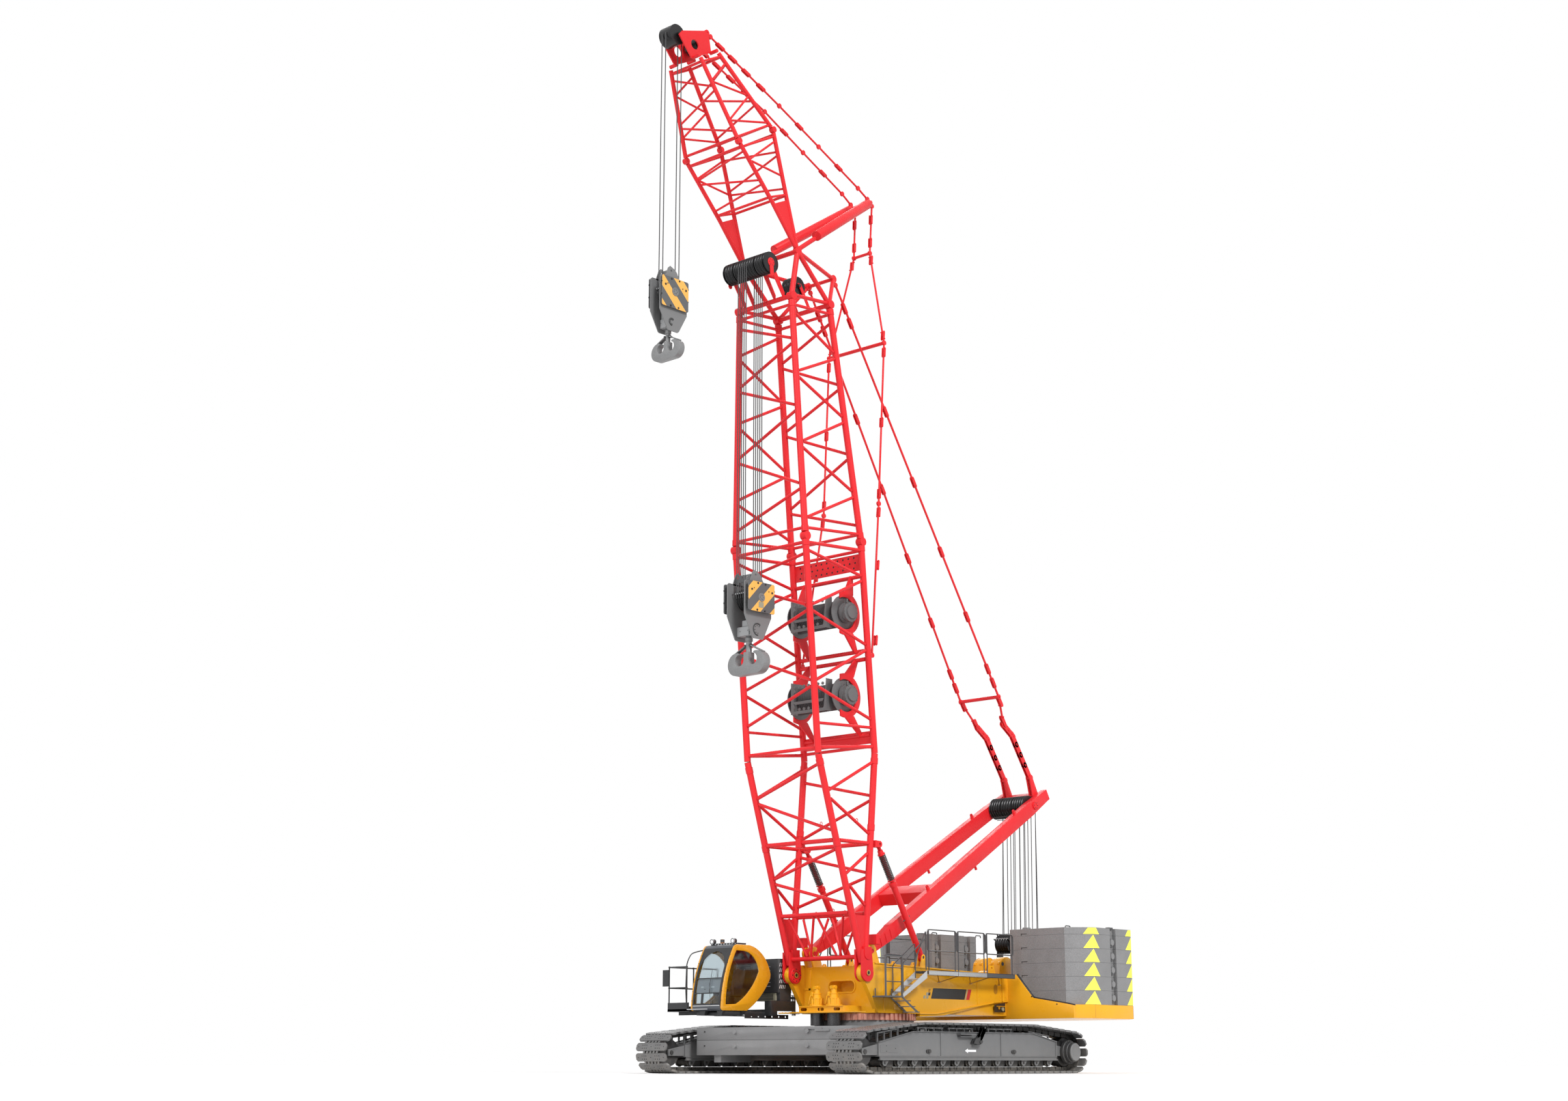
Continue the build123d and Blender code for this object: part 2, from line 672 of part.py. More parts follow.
mast_run = Vector(mast_tip[0] - mast_foot[0], 0, mast_tip[1] - mast_foot[1])
mast_along = mast_run.normalized()
with BuildPart() as mast_frame:
    for side in (1, -1):
        sections = []
        for share, depth in ((0.01, 220), (0.12, mast_depth), (0.9, mast_depth), (1.0, 330)):
            plane = Plane(origin=mast_point(share, side), x_dir=(0, 1, 0), z_dir=mast_along)
            with BuildSketch(plane) as section:
                Rectangle(mast_leg_width, depth)
            sections.append(section.sketch)
        for low, high in zip(sections, sections[1:]):
            loft([low, high])
        with BuildSketch(Plane.XZ.offset(-side * mast_foot_y)):
            with Locations(mast_foot):
                Circle(150)
        extrude(amount=mast_leg_width / 2, both=True)
        pin_reach = mast_ear_y + 45
        pin_low = (mast_foot[0], side * mast_foot_y - pin_reach, mast_foot[1])
        pin_high = (mast_foot[0], side * mast_foot_y + pin_reach, mast_foot[1])
        add(tube(pin_low, pin_high, mast_pin_radius - seat_gap))
    for share, length, width in ((0.345, 520, mast_depth - 60), (0.985, 260, 300)):
        centre = mast_point(share, 0)
        plane = Plane(origin=centre, x_dir=(0, 1, 0), z_dir=mast_along)
        reach = mast_point(share, 1)[1]
        with BuildSketch(plane):
            Rectangle(2 * reach, width)
        extrude(amount=length / 2, both=True)
    # lugs for the boom stays
    for y in (-558, -442, 442, 558):
        with BuildSketch(Plane.XZ.offset(-y)):
            with BuildLine():
                Polyline((-7900, 8450), (-7560, 8440), (-7410, 9030), (-7580, 9030), close=True)
            make_face()
            with Locations((-7494, 9044)):
                Circle(95)
        extrude(amount=17, both=True)
mast_frame.part.label = "mast_frame"
export_step(mast_frame.part, "parts/mast_frame.step")

with BuildPart() as mast_sheaves:
    centre = mast_point(0.93, 0)
    inner_y = mast_point(0.93, 1)[1] - mast_leg_width / 2
    pack_y = inner_y - 14
    axle_y = inner_y - 2.5
    for y0, y1 in ((-pack_y, -220), (-200, 200), (220, pack_y)):
        add(tube((centre[0], y0, centre[2]), (centre[0], y1, centre[2]), 330))
    add(tube((centre[0], -axle_y, centre[2]), (centre[0], axle_y, centre[2]), 70))
mast_sheaves.part.label = "mast_sheaves"
export_step(mast_sheaves.part, "parts/mast_sheaves.step")

# ================================================================ backstops
stop_run = Vector(backstop_top[0] - backstop_foot[0], 0, backstop_top[1] - backstop_foot[1])
stop_along = stop_run.normalized()


def stop_point(distance, side):
    """A point on a backstop's axis, measured from its foot pin."""
    return Vector(backstop_foot[0], side * backstop_y, backstop_foot[1]) + stop_along * distance


with BuildPart() as backstop_tubes:
    for side in (1, -1):
        plane = Plane(origin=stop_point(106, side), z_dir=stop_along)
        with BuildSketch(plane):
            Circle(105)
        extrude(amount=2314)
        with BuildSketch(Plane(origin=stop_point(330, side), z_dir=stop_along)):
            Circle(84)
        extrude(amount=2200, mode=Mode.SUBTRACT)
        with BuildSketch(Plane.XZ.offset(-side * backstop_y)):
            with Locations(backstop_foot):
                Circle(110)
        extrude(amount=45, both=True)
        pin_reach = stop_ear_y + 30
        pin_low = (backstop_foot[0], side * backstop_y - pin_reach, backstop_foot[1])
        pin_high = (backstop_foot[0], side * backstop_y + pin_reach, backstop_foot[1])
        add(tube(pin_low, pin_high, stop_pin_radius - seat_gap))
        # bush at the mouth that guides the rod
        mouth = tube(stop_point(2300, side), stop_point(2420, side), 105)
        add(mouth)
        add(tube(stop_point(2290, side), stop_point(2430, side), 72 + seat_gap), mode=Mode.SUBTRACT)
backstop_tubes.part.label = "backstop_tubes"
export_step(backstop_tubes.part, "parts/backstop_tubes.step")

with BuildPart() as backstop_rods:
    for side in (1, -1):
        with BuildSketch(Plane(origin=stop_point(420, side), z_dir=stop_along)):
            Circle(72)
        extrude(amount=stop_run.length - 500)
        with BuildSketch(Plane(origin=stop_point(2480, side), z_dir=stop_along)):
            Circle(112)
        extrude(amount=820)
        with BuildSketch(Plane.XZ.offset(-side * backstop_y)):
            with Locations(backstop_top):
                Circle(95)
        extrude(amount=45, both=True)
        with BuildSketch(Plane.XZ.offset(-side * backstop_y)):
            with Locations(backstop_top):
                Circle(40)
        extrude(amount=45, both=True, mode=Mode.SUBTRACT)
backstop_rods.part.label = "backstop_rods"
export_step(backstop_rods.part, "parts/backstop_rods.step")

# ================================================================ boom
boom_left_front = (boom_front, 1)
boom_right_front = (boom_front, -1)
boom_left_back = (boom_back, 1)
boom_right_back = (boom_back, -1)
gusset_top = 4300
fork_thickness = 60
fork_y = foot_ear_thickness / 2 + slide_gap + fork_thickness / 2


def chord_run(stations, side, low, high, radius, low_cut, high_cut):
    """One chord tube between two heights."""
    return tube(on_chord(stations, low, side), on_chord(stations, high, side), radius, low_cut, high_cut)


def kink_cut(stations, index, radius):
    """How far two chord tubes stand back from the kink between them, so that they just clear."""
    points = [Vector(x, y, z) for z, x, y in stations[index - 1:index + 2]]
    before = (points[1] - points[0]).normalized()
    after = (points[2] - points[1]).normalized()
    turn = math.acos(min(1.0, before.dot(after)))
    return radius * math.tan(turn / 2) + seat_gap


def cross_bar(stations, z, radius, chord):
    """A bar between the left and right chords at height z."""
    return lace((stations, 1), (stations, -1), z, z, radius, chord)


def side_bar(front, back, z_front, z_back, side, radius, chord):
    """A bar between the front and back chords of one side."""
    return lace((front, side), (back, side), z_front, z_back, radius, chord)


# Base: forked feet with tapering gussets, then four chords that spread to the first kink.
kink_front = boom_front[1][0]
kink_back = boom_back[1][0]
foot_throat_z = 3010


def boom_foot(side):
    """One forked foot: two chords and a gusset that run down into a pair of bored plates."""
    with BuildPart() as foot:
        for stations in (boom_front, boom_back):
            add(chord_run(stations, side, foot_throat_z, gusset_top, chord_radius, 0, 0))
        front_low = on_chord(boom_front, foot_throat_z, side)
        front_high = on_chord(boom_front, gusset_top - 20, side)
        back_low = on_chord(boom_back, foot_throat_z, side)
        back_high = on_chord(boom_back, gusset_top - 20, side)
        gusset = (
            (front_low.X, front_low.Z),
            (front_high.X, front_high.Z),
            (back_high.X, back_high.Z),
            (back_low.X, back_low.Z),
        )
        add(side_plate(gusset, side * foot_y, 70))
        pin_bore = ((foot_pin[0], foot_pin[1], foot_bore_radius),)
        pin_reach = fork_y + fork_thickness / 2 + 25
        pin_low = (foot_pin[0], side * foot_y - pin_reach, foot_pin[1])
        pin_high = (foot_pin[0], side * foot_y + pin_reach, foot_pin[1])
        add(tube(pin_low, pin_high, foot_bore_radius - seat_gap))
        for cheek in (fork_y, -fork_y):
            plate_y = side * foot_y + cheek
            outline = (
                (foot_pin[0] + 235, foot_pin[1] + 40),
                (foot_pin[0] + 240, 3350),
                (foot_pin[0] - 170, 3350),
                (foot_pin[0] - 235, foot_pin[1] + 40),
            )
            add(side_plate(outline, plate_y, fork_thickness, pin_bore))
            add(bored_disc(foot_pin, 240, foot_bore_radius, plate_y, fork_thickness))
    return foot.part


stop_cheek_y = stop_eye_thickness / 2 + slide_gap + 36
stop_bracket_low = 6200
stop_bracket_high = 6390


def stop_bracket(side):
    """The bracket on the back chord that takes a backstop between two cheeks."""
    with BuildPart() as bracket:
        chord_face = on_chord(boom_back, stop_bracket_low, side).X - chord_radius - 2
        y = side * backstop_y
        add(block((chord_face - 60, y - 120, stop_bracket_low), (chord_face, y + 120, stop_bracket_high)))
        for cheek in (stop_cheek_y, -stop_cheek_y):
            outline = (
                (chord_face - 20, stop_bracket_low),
                (chord_face - 20, stop_bracket_high),
                (backstop_top[0], backstop_top[1] + 88),
                (backstop_top[0], backstop_top[1] - 88),
            )
            add(side_plate(outline, y + cheek, 24, ((backstop_top[0], backstop_top[1], 40),)))
            add(bored_disc(backstop_top, 90, 40, y + cheek, 24))
    return bracket.part


base_pieces = [boom_foot(1), boom_foot(-1), stop_bracket(1), stop_bracket(-1)]
with BuildPart() as boom_base:
    members = list(base_pieces)
    for side in (1, -1):
        for stations, kink in ((boom_front, kink_front), (boom_back, kink_back)):
            top_cut = kink_cut(stations, 1, chord_radius)
            members.append(chord_run(stations, side, gusset_top, kink, chord_radius, seat_gap, top_cut))
        front = (boom_front, side)
        back = (boom_back, side)
        members += zigzag(back, front, (8700, 7550, 6480), lace_radius, chord_radius)
        members += zigzag(back, front, (6130, 5290, 4440), lace_radius, chord_radius)
        members.append(side_bar(boom_front, boom_back, 6300, 6300, side, 55, chord_radius))
    members += zigzag(boom_left_front, boom_right_front, (8420, 7530, 6490), lace_radius, chord_radius)
    members += zigzag(boom_left_front, boom_right_front, (6120, 5300, 4500), lace_radius, chord_radius)
    members += zigzag(boom_right_back, boom_left_back, (8300, 7600, 6500), lace_radius, chord_radius)
    members += zigzag(boom_right_back, boom_left_back, (6120, 5420, 4560), lace_radius, chord_radius)
    for stations in (boom_front, boom_back):
        members.append(cross_bar(stations, 6300, 62, chord_radius))
        members.append(cross_bar(stations, 4340, 58, chord_radius))
    # W lacing between the upper bar and the foot bar of the front face
    for stations in (boom_front, boom_back):
        low_z = 3150
        low = on_chord(stations, low_z, 1)
        high = on_chord(stations, 4340, 1)
        reach = foot_y - fork_y - fork_thickness / 2 - seat_gap
        lean = math.atan2(550 - 90, math.hypot(high.X - low.X, high.Z - low.Z))
        brace_cut = (58 + seat_gap + 36 * math.sin(lean)) / math.cos(lean)
        members.append(tube((low.X, reach, low.Z), (low.X, -reach, low.Z), 58))
        for index in range(4):
            y0 = -1100 + index * 550 + 45
            y1 = y0 + 550 - 90
            ends = ((high.X, y0, high.Z), (low.X, y1, low.Z)) if index % 2 == 0 else ((low.X, y0, low.Z), (high.X, y1, high.Z))
            members.append(tube(ends[0], ends[1], 36, brace_cut, brace_cut))
    add(members)
boom_base.part.label = "boom_base"
export_step(boom_base.part, "parts/boom_base.step")

# Winch bay: straight section with an open back where the two hoist winches sit.
bay_top_front = boom_front[2][0]
bay_top_back = boom_back[2][0]
with BuildPart() as boom_bay:
    members = []
    for side in (1, -1):
        front = (boom_front, side)
        back = (boom_back, side)
        for stations, kink, high in ((boom_front, kink_front, bay_top_front), (boom_back, kink_back, bay_top_back)):
            low_cut = kink_cut(stations, 1, chord_radius)
            members.append(chord_run(stations, side, kink, high, chord_radius, low_cut, boom_pin_radius + seat_gap))
        members += zigzag(front, back, (14400, 13900, 12710, 11900, 10590, 9760), lace_radius, chord_radius)
        members.append(side_bar(boom_front, boom_back, 8800, 9060, side, 50, chord_radius))
        members.append(side_bar(boom_front, boom_back, 9480, 9600, side, 42, chord_radius))
        members.append(side_bar(boom_front, boom_back, 14560, 14720, side, 50, chord_radius))
    members += zigzag(boom_left_front, boom_right_front, (14300, 13750, 12710, 11700, 10590, 9560), lace_radius, chord_radius)
    for z in (8800, 14560):
        members.append(cross_bar(boom_front, z, 50, chord_radius))
    for z in (9080, 14720):
        members.append(cross_bar(boom_back, z, 46, chord_radius))
    add(members)
boom_bay.part.label = "boom_winch_bay"
export_step(boom_bay.part, "parts/boom_winch_bay.step")

# Winch cradle: two pairs of C-shaped plates on the back chords, with a plate across each end.
winch_z = (10500, 12900)
winch_drum_radius = 360
winch_flange_radius = 520
cradle_y = 900
cradle_seat = 1080  # from a winch's axle to the cross tubes its cradle stands on
with BuildPart() as winch_cradle:
    plates = []
    for side in (1, -1):
        for z in winch_z:
            with BuildSketch(Plane.XZ.offset(-side * cradle_y)) as curve:
                with Locations((1760, z)):
                    Circle(640)
                    Circle(470, mode=Mode.SUBTRACT)
                with Locations((1760 + 660, z)):
                    Rectangle(900, 1400, mode=Mode.SUBTRACT)
                for way in (-1, 1):
                    seat_z = z + way * cradle_seat
                    seat_x = on_chord(boom_back, seat_z, 1).X
                    with BuildLine():
                        Polyline((1400, z + way * 560), (seat_x - 60, seat_z), (seat_x - 40, seat_z + way * 50),
                                 (seat_x + 60, seat_z + way * 50), (1760, z + way * 640), (1760, z + way * 480), close=True)
                    make_face()
            plates.append(extrude(curve.sketch, amount=25, both=True, mode=Mode.PRIVATE))
    for z in winch_z:
        for way in (-1, 1):
            plates.append(cross_bar(boom_back, z + way * cradle_seat, 60, chord_radius))
    add(plates)
    for z_low, z_high in ((9160, 9520), (14150, 14640)):
        middle = on_chord(boom_back, (z_low + z_high) / 2, 1)
        with BuildSketch(Plane.YZ.offset(middle.X)):
            with Locations((0, middle.Z)):
                Rectangle(2 * (middle.Y - chord_radius - seat_gap), z_high - z_low)
        extrude(amount=12, both=True)
winch_cradle.part.label = "winch_cradle"
export_step(winch_cradle.part, "parts/winch_cradle.step")

with BuildPart() as hoist_winches:
    winches = []
    for z in winch_z:
        plate_inner = cradle_y - 25 - seat_gap
        plate_outer = cradle_y + 25 + seat_gap
        for y0, y1, radius in (
            (-cradle_y - 330, -plate_outer, 240),
            (-plate_inner, 30 - plate_inner, winch_flange_radius),
            (-plate_inner, plate_inner, winch_drum_radius),
            (plate_inner - 30, plate_inner, winch_flange_radius),
            (plate_outer, cradle_y + 300, 300),
            (-plate_outer - 10, plate_outer + 10, 90),
        ):
            winches.append(tube((1760, y0, z), (1760, y1, z), radius))
    add(winches)
hoist_winches.part.label = "hoist_winches"
export_step(hoist_winches.part, "parts/hoist_winches.step")

# Top section: tapers up to the head.
head_front = boom_front[3][0]
head_back = boom_back[3][0]
with BuildPart() as boom_top:
    members = []
    for side in (1, -1):
        for stations, low, high in ((boom_front, bay_top_front, head_front), (boom_back, bay_top_back, head_back)):
            lean = (on_chord(stations, high, side) - on_chord(stations, low, side)).normalized().Y
            top_cut = (boom_pin_radius + seat_gap + chord_radius * abs(lean)) / math.sqrt(1 - lean**2)
            members.append(chord_run(stations, side, low, high, chord_radius, boom_pin_radius + seat_gap, top_cut))
            corner = on_chord(stations, low, side)
            members.append(tube((corner.X, corner.Y - 100, corner.Z), (corner.X, corner.Y + 100, corner.Z), boom_pin_radius))
        members.append(side_bar(boom_front, boom_back, 14980, 15190, side, 45, chord_radius))
        members.append(side_bar(boom_front, boom_back, 21640, 21760, side, 45, chord_radius))
    members += zigzag((boom_front, 1), (boom_back, 1), (21500, 20470, 19550, 18560, 17440, 16350, 15200), lace_radius, chord_radius)
    members += zigzag((boom_back, -1), (boom_front, -1), (21560, 20490, 19500, 18450, 17400, 16150, 15360), lace_radius, chord_radius)
    members += zigzag((boom_front, -1), (boom_front, 1), (21400, 20550, 19500, 18530, 17370, 16200, 15240), lace_radius, chord_radius)
    members += zigzag((boom_back, 1), (boom_back, -1), (21560, 20650, 19570, 18600, 17500, 16280, 15400), lace_radius, chord_radius)
    for stations, low, high in ((boom_front, 14980, 21640), (boom_back, 15190, 21760)):
        members.append(cross_bar(stations, low, 45, chord_radius))
        members.append(cross_bar(stations, high, 45, chord_radius))
    add(members)
boom_top.part.label = "boom_top"
export_step(boom_top.part, "parts/boom_top.step")

# Head: side frames that rise to the jib's foot pins, cheek plates for the main sheaves at the
# front and horns for the boom stays at the back.
main_axle = (4800, 22800)
main_sheave_radius = 320
stay_pin = (1735, 23195)
stay_pin_y = 500
head_lug_radius = 130
cheek_plate_y = (420, 770)
deflector_axle = (2950, 22720)
with BuildPart() as boom_head:
    members = []
    for side in (1, -1):
        front = on_chord(boom_front, head_front, side)
        back = on_chord(boom_back, head_back, side)
        pin = Vector(jib_foot[0], side * jib_foot[1], jib_foot[2])
        anchor = Vector(stay_pin[0], side * stay_pin_y, stay_pin[1])
        for corner in (front, back):
            members.append(tube((corner.X, corner.Y - 100, corner.Z), (corner.X, corner.Y + 100, corner.Z), boom_pin_radius))
        members.append(tube((pin.X, pin.Y - 60, pin.Z), (pin.X, pin.Y + 60, pin.Z), head_lug_radius))
        members.append(tube(front, pin, 80, 100, 110))
        members.append(tube(back, pin, 70, 100, 110))
        rise = Vector(0, 0, 40)
        members.append(tube(front + rise, back + rise, 55, 90, 90))
        members.append(tube((anchor.X, anchor.Y - 40, anchor.Z), (anchor.X, anchor.Y + 40, anchor.Z), 120))
        members.append(tube(back, anchor, 60, 90, 90))
        members.append(tube(pin, anchor, 60, 100, 90))
    front = on_chord(boom_front, head_front, 1)
    back = on_chord(boom_back, head_back, 1)
    members.append(tube((front.X, front.Y - 90, front.Z), (front.X, 90 - front.Y, front.Z), 70))
    members.append(tube((back.X, back.Y - 90, back.Z), (back.X, 90 - back.Y, back.Z), 70))
    members.append(tube((jib_foot[0], jib_foot[1] - 50, jib_foot[2]), (jib_foot[0], 50 - jib_foot[1], jib_foot[2]), 70))
    members.append(tube((stay_pin[0], stay_pin_y - 30, stay_pin[1]), (stay_pin[0], 30 - stay_pin_y, stay_pin[1]), 55))
    add(members)
    for side in (1, -1):
        for y in cheek_plate_y:
            outline = ((front.X + 40, front.Z - 60), (main_axle[0] + 70, main_axle[1] - 20), (main_axle[0] - 70, main_axle[1] + 100),
                       (front.X + 20, front.Z + 150))
            add(side_plate(outline, side * y, 30, ((main_axle[0], main_axle[1], 62),)))
            add(bored_disc(main_axle, 110, 62, side * y, 30))
        outline = ((2440, 22080), (2560, 22080), (deflector_axle[0] + 70, deflector_axle[1] + 70),
                   (deflector_axle[0] - 70, deflector_axle[1] + 70))
        add(side_plate(outline, side * 240, 24, ((deflector_axle[0], deflector_axle[1], 50 + seat_gap),)))
boom_head.part.label = "boom_head"
export_step(boom_head.part, "parts/boom_head.step")

with BuildPart() as head_sheaves:
    inner, outer = cheek_plate_y
    packs = ((-outer + 16, -inner - 16), (-inner + 16, inner - 16), (inner + 16, outer - 16))
    sheaves = []
    for y0, y1 in packs:
        sheaves.append(tube((main_axle[0], y0, main_axle[1]), (main_axle[0], y1, main_axle[1]), main_sheave_radius))
    sheaves.append(tube((deflector_axle[0], -200, deflector_axle[1]), (deflector_axle[0], 200, deflector_axle[1]), 300))
    add(sheaves)
    add(tube((main_axle[0], -outer - 60, main_axle[1]), (main_axle[0], outer + 60, main_axle[1]), 61))
    add(tube((deflector_axle[0], -270, deflector_axle[1]), (deflector_axle[0], 270, deflector_axle[1]), 50))
head_sheaves.part.label = "head_sheaves"
export_step(head_sheaves.part, "parts/head_sheaves.step")

# ================================================================ fixed jib
jib_front = ((23320, 3930, 1062), (24540, 5020, 1062), (25965, 6416, 1066), (28360, 7552, 600))
jib_back = ((23320, 3930, 1062), (24830, 4396, 1062), (26775, 4985, 1066), (28745, 6845, 600))
jib_gusset_front = jib_front[1][0]
jib_gusset_back = jib_back[1][0]
jib_mid_front = jib_front[2][0]
jib_mid_back = jib_back[2][0]
jib_top_front = jib_front[3][0]
jib_top_back = jib_back[3][0]
jib_pin_radius = 90


def jib_leg(side):
    """One foot of the jib: two chords that part from the pin, with a gusset between them."""
    with BuildPart() as leg:
        for stations, high in ((jib_front, jib_gusset_front), (jib_back, jib_gusset_back)):
            low = stations[0][0]
            top_cut = kink_cut(stations, 1, jib_chord_radius)
            add(chord_run(stations, side, low, high, jib_chord_radius, head_lug_radius + seat_gap, top_cut))
        gusset_low = jib_foot[2] + 190
        corners = (
            on_chord(jib_back, gusset_low, side),
            on_chord(jib_front, gusset_low, side),
            on_chord(jib_front, jib_gusset_front - 60, side),
            on_chord(jib_back, jib_gusset_back - 60, side),
        )
        add(side_plate([(corner.X, corner.Z) for corner in corners], side * jib_foot[1], 50))
    return leg.part


jib_legs = [jib_leg(1), jib_leg(-1)]
with BuildPart() as jib_base:
    members = list(jib_legs)
    for side in (1, -1):
        for stations, low, high in ((jib_front, jib_gusset_front, jib_mid_front), (jib_back, jib_gusset_back, jib_mid_back)):
            low_cut = kink_cut(stations, 1, jib_chord_radius)
            members.append(chord_run(stations, side, low, high, jib_chord_radius, low_cut, jib_pin_radius + seat_gap))
    chord = jib_chord_radius
    members += zigzag((jib_back, 1), (jib_front, 1), (26500, 25480, 25500), jib_lace_radius, chord)
    members += zigzag((jib_back, -1), (jib_front, -1), (26500, 25480, 25500), jib_lace_radius, chord)
    members += zigzag((jib_front, 1), (jib_front, -1), (25780, 25440, 25000, 24700), jib_lace_radius, chord)
    members += zigzag((jib_back, -1), (jib_back, 1), (26500, 26100, 25500, 25050), jib_lace_radius, chord)
    members.append(cross_bar(jib_front, 24640, 40, chord))
    members.append(cross_bar(jib_back, 24900, 40, chord))
    members.append(cross_bar(jib_front, 25840, 40, chord))
    members.append(cross_bar(jib_back, 26640, 40, chord))
    for side in (1, -1):
        members.append(side_bar(jib_front, jib_back, 24640, 24920, side, 36, chord))
        members.append(side_bar(jib_front, jib_back, 25830, 26590, side, 36, chord))
    add(members)
jib_base.part.label = "jib_base"
export_step(jib_base.part, "parts/jib_base.step")

with BuildPart() as jib_top:
    members = []
    for side in (1, -1):
        for stations, low, high in ((jib_front, jib_mid_front, jib_top_front), (jib_back, jib_mid_back, jib_top_back)):
            corner = on_chord(stations, low, side)
            members.append(tube((corner.X, corner.Y - 70, corner.Z), (corner.X, corner.Y + 70, corner.Z), jib_pin_radius))
            members.append(chord_run(stations, side, low, high, jib_chord_radius, jib_pin_radius + seat_gap, 60))
        members += zigzag((jib_back, side), (jib_front, side), (28500, 27600, 27680, 26500, 27000), jib_lace_radius, chord)
        members.append(side_bar(jib_front, jib_back, 26080, 26900, side, 36, chord))
        members.append(side_bar(jib_front, jib_back, 28200, 28620, side, 36, chord))
    members += zigzag((jib_front, -1), (jib_front, 1), (28080, 27450, 26850, 26200), jib_lace_radius, chord)
    members += zigzag((jib_back, 1), (jib_back, -1), (28480, 27950, 27450, 26980), jib_lace_radius, chord)
    for stations, low, high in ((jib_front, 26080, 28210), (jib_back, 26900, 28610)):
        members.append(cross_bar(stations, low, 40, chord))
        members.append(cross_bar(stations, high, 40, chord))
    add(members)
jib_top.part.label = "jib_top"
export_step(jib_top.part, "parts/jib_top.step")

# Jib head: cheek plates for the tip sheave and the rear sheave, and the horns of the jib stays.
tip_axle = (8090, 28960)
rear_axle = (7120, 29010)
tip_sheave_radius = 300
jib_stay_pin = (7023, 29348)
jib_stay_y = 330
with BuildPart() as jib_head:
    for side in (1, -1):
        y = side * 345
        front = on_chord(jib_front, jib_top_front, side)
        back = on_chord(jib_back, jib_top_back, side)
        outline = ((front.X - 60, front.Z + 60), (front.X + 80, front.Z - 30), (tip_axle[0] + 60, tip_axle[1] - 60),
                   (tip_axle[0] - 60, tip_axle[1] + 90), (jib_stay_pin[0] + 60, jib_stay_pin[1] + 40),
                   (jib_stay_pin[0] - 60, jib_stay_pin[1] - 20), (back.X + 10, back.Z + 40), (back.X + 100, back.Z - 20))
        with BuildSketch(Plane.XZ.offset(-y)):
            with BuildLine():
                Polyline(*outline, close=True)
            make_face()
            with Locations((7520, 28800)):
                Circle(150, mode=Mode.SUBTRACT)
        extrude(amount=20, both=True)
        add(bored_disc(jib_stay_pin, 95, 35, y, 40))
        for corner in (front, back):
            add(tube((corner.X, side * 325, corner.Z + 30), (corner.X, corner.Y, corner.Z + 30), 55))
    add(tube((jib_stay_pin[0], -330, jib_stay_pin[1] - 60), (jib_stay_pin[0], 330, jib_stay_pin[1] - 60), 40))
jib_head.part.label = "jib_head"
export_step(jib_head.part, "parts/jib_head.step")

with BuildPart() as jib_sheaves:
    for axle in (tip_axle, rear_axle):
        add(tube((axle[0], -230, axle[1]), (axle[0], 230, axle[1]), tip_sheave_radius if axle is tip_axle else 250))
        add(tube((axle[0], -324.5, axle[1]), (axle[0], 324.5, axle[1]), 50))
jib_sheaves.part.label = "jib_sheaves"
export_step(jib_sheaves.part, "parts/jib_sheaves.step")

# Strut: two stout tubes that hold the jib stays off the boom.
strut_root = (3150, 905, 23950)
strut_tip = (-174, 354, 26256)
with BuildPart() as jib_strut:
    for side in (1, -1):
        root = (strut_root[0], side * strut_root[1], strut_root[2])
        tip = (strut_tip[0], side * strut_tip[1], strut_tip[2])
        add(tube(root, tip, 150, 350, 130))
        add(tube(root, tip, 50, 400, 0))
        add(tube((jib_foot[0], side * 905, jib_foot[2]), tip, 70, 90, 1200))
    add(tube((strut_tip[0], -420, strut_tip[2]), (strut_tip[0], 420, strut_tip[2]), 60))
jib_strut.part.label = "jib_strut"
export_step(jib_strut.part, "parts/jib_strut.step")


# ================================================================ stays
def stay_line(points, radius, eye):
    """Rods from pin to pin, with a link plate over each pin."""
    pieces = []
    for start, end in zip(points, points[1:]):
        pieces.append(tube(start, end, radius, eye + seat_gap, eye + seat_gap))
    for point in points:
        pieces.append(tube((point[0], point[1] - 30, point[2]), (point[0], point[1] + 30, point[2]), eye))
    return pieces


stay_radius = 30
stay_eye = 75
fore_stay = ((3889, 298, 28140), (2155, 320, 27378), (350, 327, 26583))
rear_stay = ((-189, 324, 24607), (111, 1109, 21444), (415, 1090, 16381))


def beside(pin, toward, distance):
    """The point a set distance from a pin on the way to another point."""
    run = Vector(toward[0] - pin[0], 0, toward[1] - pin[1]).normalized() * distance
    return (pin[0] + run.X, pin[1] + run.Z)


